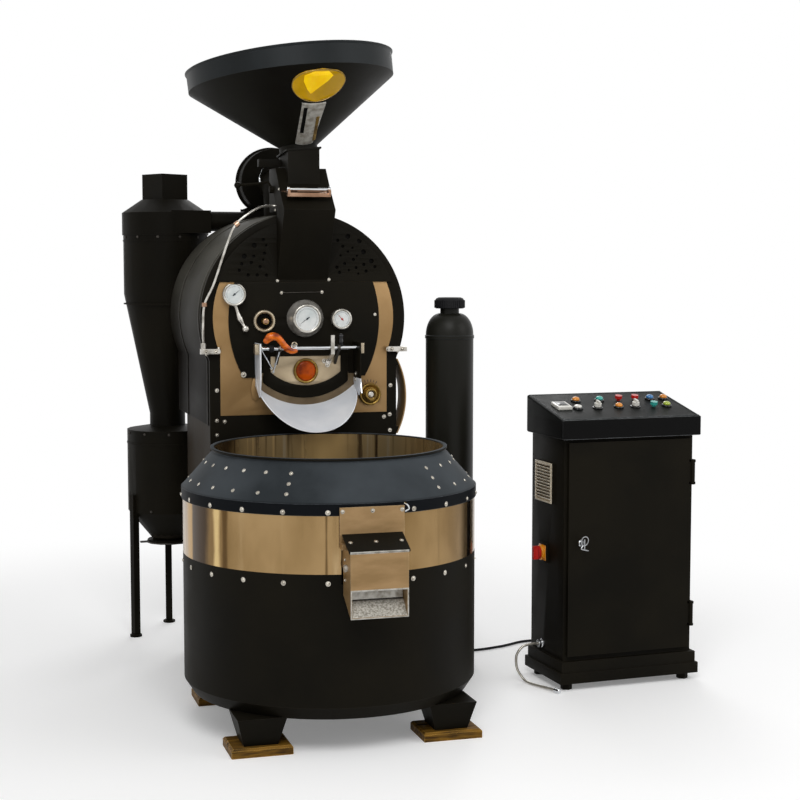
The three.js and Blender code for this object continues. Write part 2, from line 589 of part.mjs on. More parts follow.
function makeDrum() {
  const inside = drum.radius - drum.wall;
  const parts = [turnedAlongY([[drum.radius, drumFront], [drum.radius, drumBack], [inside, drumBack],
    [inside, drumFront + drum.lipLength], [drum.radius - drum.lip, drumFront + drum.lipLength],
    [drum.radius - drum.lip, drumFront]], roundSides, true)];
  parts.push(rod('y', drum.hubRadius, drumBack - drum.hubLength, drumBack, 0, 0));
  for (let i = 0; i < drum.spokes; i += 1) {
    const spoke = block(0, inside + drum.wall / 2, drumBack - drum.spokeThickness, drumBack,
      -drum.spokeWidth / 2, drum.spokeWidth / 2);
    parts.push(spoke.rotate([0, 360 * i / drum.spokes, 0]));
  }
  for (let i = 0; i < drum.flights; i += 1) {
    parts.push(flight(inside + drum.wall / 2, drum.flightHeight, drum.twist,
      2 * Math.PI * i / drum.flights));
  }
  parts.push(rod('y', rearPlate.shaftRadius, drumBack - drum.hubLength, pulleyFront + pulley.width
    + pulley.bossLength, 0, 0));
  parts.push(makePulley(pulley.radius, roundSides));
  parts.push(rod('y', pulley.bossRadius, pulleyFront - pulley.bossLength / 2,
    pulleyFront + pulley.width + pulley.bossLength / 2, 0, 0));
  return join(...parts);
}

// A pulley with one groove for the belt.
function makePulley(radius, sides) {
  const floor = radius - pulley.groove;
  const near = pulleyMiddle - pulley.beltWidth / 2 - 2 * fit;
  const far = pulleyMiddle + pulley.beltWidth / 2 + 2 * fit;
  return turnedAlongY([[0, pulleyFront], [radius, pulleyFront], [radius, near], [floor, near], [floor, far],
    [radius, far], [radius, pulleyFront + pulley.width], [0, pulleyFront + pulley.width]], sides);
}

function beltOutline(upperRadius, lowerRadius) {
  const lean = Math.asin((upperRadius - lowerRadius) / (barrel.axisZ - pulley.motorZ));
  const shape = new THREE.Shape();
  shape.absarc(0, barrel.axisZ, upperRadius, -lean, Math.PI + lean, false);
  shape.absarc(0, pulley.motorZ, lowerRadius, Math.PI + lean, 2 * Math.PI - lean, false);
  return shape;
}

function makeBelt() {
  const low = pulley.beltLift - pulley.groove;
  const top = low + pulley.beltThickness;
  const inner = beltOutline(pulley.radius + low, pulley.motorRadius + low);
  const outer = beltOutline(pulley.radius + top, pulley.motorRadius + top);
  const near = pulleyMiddle - pulley.beltWidth / 2;
  const far = pulleyMiddle + pulley.beltWidth / 2;
  return cut(slab('xz', outer, near, far, beltSteps),
    slab('xz', inner, near - overrun, far + overrun, beltSteps));
}

// The geared motor stands on a shelf behind the pedestal, under the end of the barrel.
function makeDrumMotor() {
  const { radius, gearHalf, gearLength, plateHalf, plateThickness, plateTop } = drumMotor;
  const z = pulley.motorZ;
  const start = pedestalBack + fit;
  const gearBack = pulleyFront - drumMotor.shaftGap;
  const gearFront = gearBack - gearLength;
  const shelfTop = z - drumMotor.shelfDrop + plateThickness;
  const parts = [
    block(-plateHalf, plateHalf, start, start + plateThickness, shelfTop - plateThickness, plateTop),
    block(-plateHalf, plateHalf, start, gearBack, shelfTop - plateThickness, shelfTop),
    block(-gearHalf, gearHalf, gearFront, gearBack, shelfTop - plateThickness / 2, z + gearHalf),
    rod('y', radius, start + plateThickness * 2, gearFront + plateThickness, 0, z),
  ];
  for (let i = 0; i < drumMotor.finCount; i += 1) {
    const fin = block(-drumMotor.finThickness / 2, drumMotor.finThickness / 2, start + plateThickness * 3,
      gearFront - plateThickness, radius / 2, radius + drumMotor.finProud);
    parts.push(fin.rotate([0, 360 * (i + 0.5) / drumMotor.finCount, 0]).translate([0, 0, z]));
  }
  return join(...parts);
}

function makeMotorPulley() {
  const shaft = rod('y', pulley.motorShaftRadius, pulleyFront - drumMotor.shaftGap + fit,
    pulleyFront + pulley.width + pulley.bossLength, 0, 0, smallSides);
  return join(makePulley(pulley.motorRadius, midSides), shaft);
}

function makeBurner() {
  const { tubes, tubeRadius, pitch, length, manifoldRadius, manifoldHalf, barWidth, barThickness } = burner;
  const front = shellFront + burner.frontIn;
  const back = front + length;
  const barHalf = pedestal.halfWidth - pedestal.wall - fit;
  const barBottom = pedestal.ledgeZ + fit;
  const parts = [rod('x', manifoldRadius, -manifoldHalf, manifoldHalf, back, burnerZ)];
  for (const y of [front + barWidth, back - manifoldRadius - barWidth]) {
    parts.push(block(-barHalf, barHalf, y - barWidth / 2, y + barWidth / 2, barBottom,
      barBottom + barThickness));
  }
  const slots = [];
  for (let i = 0; i < tubes; i += 1) {
    const x = (i - (tubes - 1) / 2) * pitch;
    parts.push(rod('y', tubeRadius, front, back, x, burnerZ, smallSides));
    for (let slot = 0; slot < burner.slots; slot += 1) {
      const y = front + (slot + 0.5) * (length - manifoldRadius) / burner.slots;
      slots.push(block(x - burner.slotWidth / 2, x + burner.slotWidth / 2, y - burner.slotLength / 2,
        y + burner.slotLength / 2, burnerZ + tubeRadius - burner.slotDepth,
        burnerZ + tubeRadius + overrun));
    }
  }
  parts.push(rod('y', burner.inletRadius, back, pedestalBack + burner.inletOut, burner.inletX, burnerZ,
    smallSides));
  return cut(join(...parts), ...slots);
}

piece(roaster, 'pedestal', makePedestal(), blackPaint);
piece(roaster, 'barrel_jacket', makeJacket(), blackPaint);
piece(roaster, 'front_plate', makeFrontPlate(), blackPaint);
piece(roaster, 'bronze_panel', makeBronzePanel(), bronze);
piece(roaster, 'face_plate', makeFacePlate(), blackPaint);
piece(roaster, 'perforated_cover', makeCover(), blackPaint);
piece(roaster, 'rear_plate', makeRearPlate(), blackPaint);
piece(groupAt(roaster, 0, 0, barrel.axisZ), 'drum', makeDrum(), darkSteel);
piece(groupAt(roaster, 0, 0, pulley.motorZ), 'motor_pulley', makeMotorPulley(), castIron);
piece(roaster, 'drive_belt', makeBelt(), rubber);
piece(roaster, 'drum_motor', makeDrumMotor(), castIron);
piece(roaster, 'burner', makeBurner(), darkSteel);

// Hopper, on a group that leans with it; its origin is in the middle of the seat on the throat

const chuteBack = barrel.frontY + chute.backIn;
const throatFront = barrel.frontY - chute.throatOut;
const hopperGroup = groupAt(roaster, chute.x, (throatFront + chuteBack) / 2, chute.throatTopZ);
hopperGroup.rotation.set(-THREE.MathUtils.degToRad(hopper.pitch), -THREE.MathUtils.degToRad(hopper.lean),
  0);
hopperGroup.updateMatrixWorld();
const slopeTan = Math.tan(THREE.MathUtils.degToRad(hopper.slope));

function coneHeight(radius) {
  return hopper.neckHeight + (radius - hopper.neckRadius) * slopeTan;
}

const bandHeight = coneHeight(hopper.radius);
const hopperTop = bandHeight + hopper.band;

// The space above the cone's outside, raised by one distance and reaching to another.
function coneLayer(from, to) {
  const rise = (distance) => distance / Math.cos(Math.atan(slopeTan));
  const profile = [[hopper.neckRadius, coneHeight(hopper.neckRadius) - rise(from)],
    [hopper.radius, coneHeight(hopper.radius) - rise(from)],
    [hopper.radius, coneHeight(hopper.radius) - rise(to)],
    [hopper.neckRadius, coneHeight(hopper.neckRadius) - rise(to)]];
  return turned(profile, bigSides, true);
}

function ellipse(halfWidth, halfHeight, y) {
  const shape = new THREE.Shape();
  shape.absellipse(0, y, halfWidth, halfHeight, 0, 2 * Math.PI, false);
  return shape;
}

function atWindow(body) {
  return body.rotate([0, 0, hopperWindow.azimuth]);
}

function windowPrism(inset) {
  const { halfWidth, halfHeight, radius } = hopperWindow;
  const shape = ellipse(halfWidth - inset, halfHeight * Math.cos(Math.atan(slopeTan)) - inset, -radius);
  return atWindow(slab('xy', shape, 0, hopperTop));
}

function makeHopper() {
  const { radius, neckRadius, wall, lip, lipHeight, flangeThickness, flangeOut } = hopper;
  const shell = turned([[neckRadius, 0], [neckRadius, hopper.neckHeight], [radius, bandHeight],
    [radius, hopperTop - lipHeight], [radius + lip, hopperTop],
    [radius - wall, hopperTop], [radius - wall, bandHeight + wall / 2],
    [neckRadius - wall, hopper.neckHeight + wall / 2], [neckRadius - wall, 0]], bigSides, true);
  const half = chute.throatHalf + flangeOut;
  const depth = (chuteBack - throatFront) / 2;
  const flange = block(-half, half, -depth, depth, 0, flangeThickness);
  const bore = rod('z', neckRadius - wall, -overrun, flangeThickness + overrun, 0, 0, bigSides);
  return cut(join(shell, cut(flange, bore), makeHopperStrip()), windowPrism(hopperWindow.rim));
}

function makeHopperWindow() {
  return windowPrism(0).intersect(coneLayer(fit, fit + hopperWindow.thickness));
}

// The strip under the window narrows towards the neck and has a slot along each side.
function makeHopperStrip() {
  const { topRadius, bottomRadius, topHalf, bottomHalf, thickness } = hopperStrip;
  const prism = slab('xy', polygon([[-topHalf, -topRadius], [topHalf, -topRadius],
    [bottomHalf, -bottomRadius], [-bottomHalf, -bottomRadius]]), 0, hopperTop);
  let strip = prism.intersect(coneLayer(-hopper.wall / 2, thickness));
  for (const side of [-1, 1]) {
    const topX = side * (topHalf - hopperStrip.slotInset);
    const bottomX = side * (bottomHalf - hopperStrip.slotInset);
    const top = -topRadius + hopperStrip.slotEnd;
    const bottom = -bottomRadius - hopperStrip.slotEnd;
    strip = cut(strip, slab('xy', polygon([[topX - hopperStrip.slotHalf, top],
      [topX + hopperStrip.slotHalf, top],
      [bottomX + hopperStrip.slotHalf, bottom], [bottomX - hopperStrip.slotHalf, bottom]]), 0, hopperTop));
  }
  return atWindow(strip);
}

piece(hopperGroup, 'hopper', makeHopper(), blackPaint);
piece(hopperGroup, 'hopper_window', makeHopperWindow(), yellowGlass);

// Feed chute with the throat; a slide gate lies on two ledges inside

const chuteBase = faceFront - fit;
const chuteUnder = barrel.axisZ + barrel.radius + barrel.bandProud + fit;
const noseY = barrel.frontY - chute.noseOut;
const stepY = barrel.frontY - chute.stepOut;
const shoulderY = barrel.frontY - chute.shoulderOut;

function chuteRoofY(z) {
  return noseY + (z - chute.noseZ) * (stepY - noseY) / (chute.stepZ - chute.noseZ);
}

function makeChute() {
  const { x, halfWidth, wall, lipZ, noseZ, stepZ, topZ, throatHalf } = chute;
  const outline = polygon([[chuteBase, lipZ], [noseY, noseZ], [stepY, stepZ], [shoulderY, topZ],
    [chuteBack, topZ], [chuteBack, chuteUnder], [chuteBase, chuteUnder]]);
  const slope = (noseY - chuteBase) / (noseZ - lipZ);
  const skin = wall * Math.hypot(1, slope);
  const frontAt = (z) => chuteBase + (z - lipZ) * slope + skin;
  const cavity = polygon([[chuteBase + overrun, frontPlate.feedBottomZ],
    [frontAt(frontPlate.feedBottomZ), frontPlate.feedBottomZ], [frontAt(noseZ - wall), noseZ - wall],
    [stepY + wall, stepZ - wall], [shoulderY + wall, topZ - wall], [chuteBack - wall, topZ - wall],
    [chuteBack - wall, chuteUnder + wall], [chuteBase - wall, chuteUnder + wall],
    [chuteBase - wall, frontPlate.feedTopZ], [chuteBase + overrun, frontPlate.feedTopZ]]);
  const throat = block(x - throatHalf, x + throatHalf, throatFront, chuteBack, gate.z,
    chute.throatTopZ + overrun * 3);
  const bore = block(x - throatHalf + wall, x + throatHalf - wall, throatFront + wall, chuteBack - wall,
    gate.z, chute.throatTopZ + overrun * 4);
  const hollow = slab('yz', cavity, x - halfWidth + wall, x + halfWidth - wall);
  let body = cut(join(slab('yz', outline, x - halfWidth, x + halfWidth), throat), hollow, bore);
  for (const side of [-1, 1]) {
    const ends = [x + side * (halfWidth - wall - chute.ledge), x + side * (halfWidth - wall / 2)];
    ends.sort((a, b) => a - b);
    body = join(body, block(...ends, chuteRoofY(gate.z) + wall, chuteBack - wall / 2,
      gate.z - fit - wall, gate.z - fit));
  }
  const slot = halfWidth - wall - gate.sideGap + fit * 2;
  const bracketX = x - throatHalf - chute.bracketReach;
  const bracketTop = chute.throatTopZ - chute.bracketDrop;
  const bracket = block(bracketX, x - throatHalf + wall / 2, chuteBack - chute.bracketDepth, chuteBack,
    bracketTop - chute.bracketHeight, bracketTop);
  const pin = rod('x', damper.pinRadius, x - halfWidth - damper.hubLength - fit * 2,
    x - halfWidth + wall / 2,
    damper.y, damper.z, smallSides);
  const seat = block(-hopper.radius, hopper.radius, -hopper.radius, hopper.radius, -fit, hopper.radius)
    .transform(hopperGroup.matrixWorld.toArray());
  return cut(join(body, bracket, pin), seat, block(x - slot, x + slot, noseY, throatFront,
    gate.z - fit, gate.z + gate.thickness + fit));
}

const gateFront = barrel.frontY - gate.barY;

function makeFeedGate() {
  const { z, thickness, tabHalf, halfLength, endWidth, endRadius } = gate;
  const half = chute.halfWidth - chute.wall - gate.sideGap;
  const thickZ = z + thickness + fit - gate.thickDrop;
  const thinZ = z + thickness + gate.thinRadius / 2;
  const parts = [
    block(-half, half, chuteRoofY(z) + chute.wall * 2, chuteBack - chute.wall - gate.backGap, z,
    z + thickness),
    block(-tabHalf, tabHalf, gateFront, chuteRoofY(z) + chute.wall * 3, z, z + thickness),
    rod('x', gate.thinRadius, -halfLength, halfLength, gateFront, thinZ, smallSides),
    rod('x', gate.thickRadius, -halfLength, halfLength, gateFront, thickZ, smallSides),
  ];
  for (const side of [-1, 1]) {
    const middle = side * (halfLength - endWidth / 2);
    parts.push(rod('x', endRadius, middle - endWidth / 2, middle + endWidth / 2, gateFront,
      (thinZ + thickZ) / 2, smallSides));
  }
  return join(...parts);
}

// The lever hangs on a pin of the chute's left side; its group's origin is on that pin.
function makeDamperLever() {
  const hub = rod('x', damper.hubRadius, -damper.hubLength, 0, 0, 0, smallSides);
  const bore = rod('x', clearance(damper.pinRadius, smallSides), -damper.hubLength - overrun, overrun, 0,
    0, smallSides);
  const start = -damper.hubLength / 2;
  const rise = damper.hubRadius;
  const bend = [new THREE.Vector3(start, 0, rise / 2), new THREE.Vector3(start - rise, 0, rise * 2),
    new THREE.Vector3(start - rise * 3, 0, rise * 1.6), new THREE.Vector3(start - damper.rodLength, 0,
    rise)];
  const knob = new THREE.SphereGeometry(damper.knobRadius, smallSides, holeSides);
  knob.translate(start - damper.rodLength, 0, rise);
  return join(cut(join(hub, sweep(bend, damper.rodRadius, holeSides, 6)), bore), solid(knob));
}

const damperX = chute.x - chute.halfWidth - fit;

piece(roaster, 'feed_chute', makeChute(), blueBlack);
piece(groupAt(roaster, chute.x, 0, 0), 'feed_gate', makeFeedGate(), bronze);
piece(groupAt(roaster, damperX, damper.y, damper.z), 'damper_lever', makeDamperLever(), blackPaint);

// Exhaust fan, impeller, elbow and pipe

const fanFront = rearFace + fan.rearGap;
const fanBack = fanFront + fan.width;
const fanMiddle = (fanFront + fanBack) / 2;
const outerRadius = fan.innerRadius + fan.outletHeight;
const pipeZ = fan.z - fan.innerRadius - fan.outletHeight / 2;
const cyclonePort = cyclone.x + cyclone.inletReach;

// The spiral of the fan housing grows from the tongue, over the top, to the outlet at the bottom left.
function scroll(inset, reach, first = 0) {
  const shape = new THREE.Shape();
  for (let i = first; i <= fan.scrollSteps; i += 1) {
    const share = i / fan.scrollSteps;
    const angle = -Math.PI / 2 - share * 2 * Math.PI;
    const r = fan.innerRadius + fan.outletHeight * share - inset;
    const point = [fan.x + r * Math.cos(angle), fan.z + r * Math.sin(angle)];
    if (i === first) shape.moveTo(...point);
    else shape.lineTo(...point);
  }
  shape.lineTo(fan.x - reach, fan.z - outerRadius + inset);
  shape.lineTo(fan.x - reach, fan.z - fan.innerRadius - inset);
  if (inset > 0) shape.lineTo(fan.x + inset, fan.z - fan.innerRadius - inset);
  return shape;
}

function elbowPath(extra) {
  return [
    new THREE.Vector3(fan.x, ductY, barrel.axisZ + barrel.radius - fan.elbowLead),
    new THREE.Vector3(fan.x, ductY, fan.z - fan.elbowDrop),
    new THREE.Vector3(fan.x, ductY + fan.elbowLead / 2, fan.z - fan.elbowLead / 2),
    new THREE.Vector3(fan.x, fanFront + fan.wall / 2 + extra, fan.z),
  ];
}

function makeFan() {
  const { wall, duct, ductWall, outletReach, pipeRadius } = fan;
  const motorBack = fanBack + fan.motorLength;
  const rim = slab('xz', scroll(-fan.rimProud, outletReach - overrun, 2), fanBack - fan.rimThickness, fanBack);
  const hollow = slab('xz', scroll(wall, outletReach - wall), fanFront + wall, fanBack - wall);
  const housing = cut(join(slab('xz', scroll(0, outletReach), fanFront, fanBack), rim), hollow);
  const motor = rod('y', fan.motorRadius, fanBack - wall / 2, motorBack, fan.x, fan.z);
  const cap = rod('y', fan.motorCap, motorBack, motorBack + fan.motorCapLength, fan.x, fan.z);
  const socket = rod('y', clearance(impeller.shaftRadius, smallSides), fanBack - wall - overrun,
    fanBack + fan.motorLength / 2 + overrun, fan.x, fan.z, smallSides);
  const pipe = rod('x', pipeRadius, cyclonePort + fit, fan.x - outletReach + wall, fanMiddle, pipeZ,
    ductSides);
  const pipeBore = rod('x', pipeRadius - fan.pipeWall, cyclonePort - overrun,
    fan.x - outletReach + wall * 2,
    fanMiddle, pipeZ, ductSides);
  const jacket = slab('xz', arch(barrel.radius + fit, barrel.halfWidth + fit, barrelBottom), ductY - duct * 2,
    rearFace + fan.rearGap, archSteps);
  const elbow = cut(sweep(elbowPath(0), duct, ductSides, 5), jacket);
  const eye = sweep(elbowPath(wall * 2), duct - ductWall, ductSides, 5);
  return cut(join(housing, motor, cap, pipe, elbow), pipeBore, eye, socket);
}

// The impeller's blades lean back from a disc on the motor's shaft.
function makeImpeller() {
  const { radius, blades, bladeHeight, bladeThickness, inner, hubRadius, shaftRadius, sideGap } = impeller;
  const discBack = fanBack - fan.wall - sideGap - fanMiddle;
  const discFront = discBack - impeller.disc;
  const parts = [
    rod('y', radius, discFront, discBack, 0, 0),
    rod('y', hubRadius, discFront - bladeHeight / 2, discBack, 0, 0, smallSides),
    rod('y', shaftRadius, discBack - impeller.disc / 2, discBack + fan.motorLength / 2, 0, 0, smallSides),
  ];
  for (let i = 0; i < blades; i += 1) {
    const blade = block(inner, radius, discFront - bladeHeight, discBack - impeller.disc / 2,
      -bladeThickness / 2, bladeThickness / 2);
    const leaned = blade.translate([-inner, 0, 0]).rotate([0, THREE.MathUtils.radToDeg(impeller.sweep), 0]);
    parts.push(leaned.translate([inner, 0, 0]).rotate([0, 360 * i / blades, 0]));
  }
  return join(...parts);
}

piece(roaster, 'exhaust_fan', makeFan(), blackPaint);
piece(groupAt(roaster, fan.x, fanMiddle, fan.z), 'fan_impeller', makeImpeller(), steel);

// Gauges, gauge tube, sampling trier and air knob on the front

function at(x, y, z) {
  return new THREE.Vector3(x, y, z);
}

function makeGaugeTube() {
  const side = chute.x - chute.halfWidth - fit;
  const y = barrel.frontY - gaugeTube.out;
  const clampTop = frontPlate.boltZ + frontPlate.boltHeight / 2 + fit;
  const clampX = -frontPlate.boltX - frontPlate.boltWidth / 3;
  const clampY = barrel.frontY - frontPlate.boltProud / 2;
  const { startY, startZ, startOut, leadX, leadY, leadZ, bends, lastRise } = gaugeRoute;
  const points = [at(side, startY, startZ), at(side - startOut, startY, startZ), at(leadX, leadY, leadZ),
    ...bends.map(([x, z]) => at(x, y, z)), at(clampX, clampY, clampTop + lastRise),
    at(clampX, clampY, clampTop)];
  const tube = sweep(points, gaugeTube.radius, gaugeTube.sides, gaugeTube.steps);
  const nut = rod('z', gaugeTube.nutRadius, clampTop, clampTop + gaugeTube.nutLength, clampX, clampY, 6);
  return join(tube, nut);
}

function makePressureGauge() {
  const { x, z, radius, depth, stemRadius, standOff, rim, recess } = pressureGauge;
  const back = faceFront - standOff;
  const middle = back - depth / 2;
  const ball = new THREE.SphereGeometry(pressureGauge.ballRadius, smallSides, holeSides);
  ball.translate(pressureGauge.ballX, middle, pressureGauge.ballZ);
  const elbow = at(pressureGauge.elbowX, middle, pressureGauge.elbowZ);
  const stem = sweep([at(x, middle, z), elbow, at(pressureGauge.ballX, middle, pressureGauge.ballZ)],
    stemRadius, holeSides, 6);
  const foot = rod('y', stemRadius, middle, faceFront - fit, pressureGauge.ballX, pressureGauge.ballZ,
    holeSides);
  const dial = rod('y', radius, back - depth, back, x, z);
  const face = rod('y', radius - rim, back - depth - overrun, back - depth + recess, x, z);
  return join(cut(join(dial, stem), face), solid(ball), foot);
}

function makeCentreGauge() {
  const { baseRadius, baseDepth, neckRadius, dialRadius, depth, rim, recess } = centreGauge;
  return turnedFront([[0, fit], [baseRadius, fit], [baseRadius, baseDepth], [neckRadius, depth - rim * 2],
    [dialRadius + rim, depth - rim], [dialRadius + rim, depth], [dialRadius, depth],
    [dialRadius, depth - recess], [0, depth - recess]], midSides, centreGauge.x, faceFront, centreGauge.z);
}

function makeSmallGauge() {
  const { radius, depth, rim, recess } = smallGauge;
  return turnedFront([[0, fit], [radius, fit], [radius, depth], [radius - rim, depth],
    [radius - rim, depth - recess], [0, depth - recess]], midSides, smallGauge.x, faceFront, smallGauge.z);
}

// The trier draws a sample of beans; the end of its rod is cut to a half round.
function makeTrier() {
  const front = faceFront - trier.knobLength;
  const back = front + trier.length;
  const hollow = block(-trier.rodRadius, trier.rodRadius, back - trier.scoopLength,
    back - trier.rodRadius / 2,
    0, trier.rodRadius * 2);
  return cut(rod('y', trier.rodRadius, front, back, 0, 0, smallSides), hollow);
}

function makeAirKnob() {
  const { radius, depth, innerRadius, innerDepth, baseRadius, recess, stemRadius } = airKnob;
  const face = turnedFront([[0, fit], [baseRadius, fit], [radius, recess], [radius, depth],
    [radius - recess, depth], [innerRadius, depth - recess], [innerRadius, innerDepth],
    [innerRadius - recess, innerDepth], [0, depth]], midSides, 0, 0, 0);
  return join(face, rod('y', stemRadius, -recess, bronzePanel.thickness - fit, 0, 0, smallSides));
}

// A bowed guard beside the right column stands on two lugs of the front plate.
function makeSideGuard() {
  const { bottomZ, topZ, bulge, thickness, depth, lug } = sideGuard;
  const edge = barrel.halfWidth + barrel.bandProud + thickness + 2 * fit;
  const half = (topZ - bottomZ) / 2;
  const radius = (half * half + bulge * bulge) / (2 * bulge);
  const centre = edge + bulge - radius;
  const angle = Math.asin(half / radius);
  const shape = new THREE.Shape();
  shape.absarc(centre, bottomZ + half, radius, -angle, angle, false);
  shape.absarc(centre - thickness, bottomZ + half, radius, angle, -angle, true);
  const back = barrel.frontY + frontPlate.thickness / 2;
  let body = slab('xz', shape, back, back + depth, guardSteps);
  for (const z of [bottomZ + lug / 3, topZ - lug * 1.3]) {
    body = join(body, block(barrel.halfWidth - thickness, edge + thickness, back, plateBack - fit, z,
      z + lug));
  }
  return body;
}

piece(roaster, 'gauge_tube', makeGaugeTube(), chrome);
piece(roaster, 'pressure_gauge', makePressureGauge(), chrome);
piece(roaster, 'centre_gauge', makeCentreGauge(), chrome);
piece(roaster, 'small_gauge', makeSmallGauge(), chrome);
piece(groupAt(roaster, trier.x, 0, trier.z), 'sampling_trier', makeTrier(), bronze);
piece(groupAt(roaster, airKnob.x, bronzeFront, airKnob.z), 'air_knob', makeAirKnob(), bronze);

// Discharge scoop with its bar, and the door that swings on the bar

const panelBack = faceFront - fit;
const panelFront = panelBack - door.thickness;
const barY = barrel.frontY - hingeBar.out;

function makeScoop() {
  const { half, topZ, bottomZ, reach, tipDrop, wall, cheekTop, cheekBottom, cheekOut, cheekRise } = scoop;
  const outer = mouthOutline(half, topZ, bottomZ);
  const inner = mouthOutline(half - wall, topZ + overrun, bottomZ + wall);
  const slope = tipDrop / reach;
  const trough = cut(slab('xz', outer, panelBack - reach - overrun, panelBack, arcSteps),
    slab('xz', inner, panelBack - reach - overrun * 2, panelBack + overrun, arcSteps));
  const sheared = trough.transform([1, 0, 0, 0, 0, 1, slope, 0, 0, 0, 1, 0, 0, 0, -slope * panelBack, 1]);
  const plan = new THREE.Shape();
  plan.absellipse(0, panelBack, half, reach, Math.PI, 2 * Math.PI, false);
  const apron = sheared.intersect(slab('xy', plan, bottomZ - tipDrop * 2, topZ + overrun, arcSteps * 2));
  const lip = cut(slab('xz', outer, panelBack - scoop.lipThickness, panelBack, arcSteps),
    slab('xz', mouthOutline(half - (scoop.lipInner - bottomZ), topZ + overrun, scoop.lipInner),
      panelBack - scoop.lipThickness - overrun, panelBack + overrun, arcSteps));
  const parts = [apron, lip];
  const cheek = polygon([[panelBack, cheekBottom], [panelBack, cheekTop], [panelBack - cheekOut, cheekTop],
    [panelBack - cheekOut, cheekTop - cheekRise], [panelBack - cheekOut / 2, cheekBottom]]);
  for (const side of [-1, 1]) {
    const ends = [side * half, side * (half - scoop.cheekThickness)].sort((a, b) => a - b);
    parts.push(slab('yz', cheek, ...ends));
    const blockEnds = [side * (half - wall / 2), side * (half + hingeBar.blockLength)].sort((a,
      b) => a - b);
    parts.push(rod('x', hingeBar.blockRadius, ...blockEnds, barY, hingeBar.z, smallSides));
  }
  parts.push(rod('x', hingeBar.radius, -half, half, barY, hingeBar.z, smallSides));
  return join(...parts);
}

// Below here a door piece is drawn in the place it has when shut, then moved to the bar's origin.
function onBar(body) {
  return body.translate([0, -barY, -hingeBar.z]);
}

function makeDoor() {
  const { halfWidth, topZ, bottomZ, ringRadius, ringProud, glassRadius, glassX, glassZ, armX,
    armHeight } = door;
  const reach = hingeBar.radius;
  const arm = polygon([[panelFront + fit, topZ], [barY, hingeBar.z + reach], [barY - reach,
    hingeBar.z - reach],
    [panelFront + fit, topZ - armHeight]]);
  const parts = [slab('xz', mouthOutline(halfWidth, topZ, bottomZ), panelFront, panelBack, arcSteps),
    rod('y', ringRadius, panelFront - ringProud, panelFront + fit, glassX, glassZ)];
  for (const side of [-1, 1]) {
    const ends = [side * armX - door.armWidth / 2, side * armX + door.armWidth / 2];
    parts.push(slab('yz', arm, ...ends));
    parts.push(rod('x', door.hubRadius, ...ends, barY, hingeBar.z, smallSides));
  }
  const bore = rod('x', clearance(hingeBar.radius, smallSides), -halfWidth, halfWidth, barY, hingeBar.z,
    smallSides);
  const glassHole = rod('y', glassRadius + fit, panelFront - ringProud - overrun, panelBack + overrun,
    glassX, glassZ);
  const latchHole = rod('y', clearance(latch.thickness, holeSides), panelFront - overrun,
    panelBack + overrun, latch.x, latch.z, holeSides);
  return onBar(cut(join(...parts), bore, glassHole, latchHole));
}

function makeDoorWindow() {
  return onBar(rod('y', door.glassRadius, panelFront - door.ringProud / 2, panelBack - door.thickness / 3,
    door.glassX, door.glassZ));
}

// The grip curves up and away from a hub that turns on the bar.
function makeHandle() {
  const { radius, hubRadius, hubLength, x, endRadius } = handle;
  const points = [at(x, -radius * 1.4, -radius / 2), at(x - radius, -radius * 1.6, -radius * 0.4),
    at(x - radius * 2.6, -radius * 1.7, radius), at(x - radius * 4.8, -radius * 1.7, radius * 2.9),
    at(x - radius * 6.6, -radius * 1.6, radius * 3.4), at(x - radius * 8.2, -radius * 1.4, radius * 2.2)];
  const hub = rod('x', hubRadius, x - hubLength / 2, x + hubLength / 2, 0, 0, smallSides);
  const bore = rod('x', clearance(hingeBar.radius, smallSides), x - hubLength * 4, x + hubLength, 0, 0,
    smallSides);
  const end = new THREE.SphereGeometry(endRadius, smallSides, holeSides);
  end.translate(...points[points.length - 1].toArray());
  return cut(join(hub, sweep(points, radius, holeSides + 2, 8), solid(end)), bore);
}

// The latch turns on a pin through the door and rises in front of the bar; its origin is on the pin.
function makeLatch() {
  const { width, thickness, headRadius, headLength, standOff, kneeRise, topRise, barGap } = latch;
  const lowY = -standOff;
  const highY = barY - hingeBar.radius - barGap - panelFront;
  const side = polygon([[lowY, 0], [lowY, thickness * 2], [highY, kneeRise], [highY, topRise],
    [highY - thickness, topRise], [highY - thickness, kneeRise - thickness], [lowY - thickness, 0]]);
  return join(slab('yz', side, -width / 2, width / 2),
    rod('y', headRadius, -headLength, -standOff, 0, 0, smallSides),
    rod('y', thickness, -headLength, door.thickness / 2, 0, 0, holeSides));
}

const doorGroup = groupAt(roaster, 0, barY, hingeBar.z);

piece(roaster, 'discharge_scoop', makeScoop(), steel);
piece(doorGroup, 'discharge_door', makeDoor(), bronze);
piece(doorGroup, 'door_window', makeDoorWindow(), amberGlass);
piece(doorGroup, 'door_handle', makeHandle(), amberHandle);
piece(groupAt(roaster, latch.x, panelFront, latch.z), 'door_latch', makeLatch(), chrome);

// Cooling bin; its group's origin is on the floor under its middle

const binGroup = groupAt(roaster, bin.x, bin.y, 0);
const skirtInside = bin.radius - bin.wall;
const linerRadius = bin.mouthRadius - bin.wall - fit;
const linerInside = linerRadius - liner.wall;
const outletBack = -(bin.radius + bin.flangeProud) - fit;
const outletFront = outletBack - outlet.boxOut;
const screenBottom = liner.floorZ + fit;
const screenTop = screenBottom + screen.thickness;
const gearTop = binDrive.beamZ + binDrive.gearHeight;
const stackTurn = Math.atan2(stack.y - bin.y, stack.x - bin.x);
const stackReach = Math.hypot(stack.y - bin.y, stack.x - bin.x);

// The opening in front through which the ramp passes the skirt and the band.
function outletGap() {
  const half = outlet.boxHalf + outlet.holeGap;
  return block(outlet.offset - half, outlet.offset + half, outletBack, -linerInside,
    outlet.frontBottom, outlet.angleTop);
}

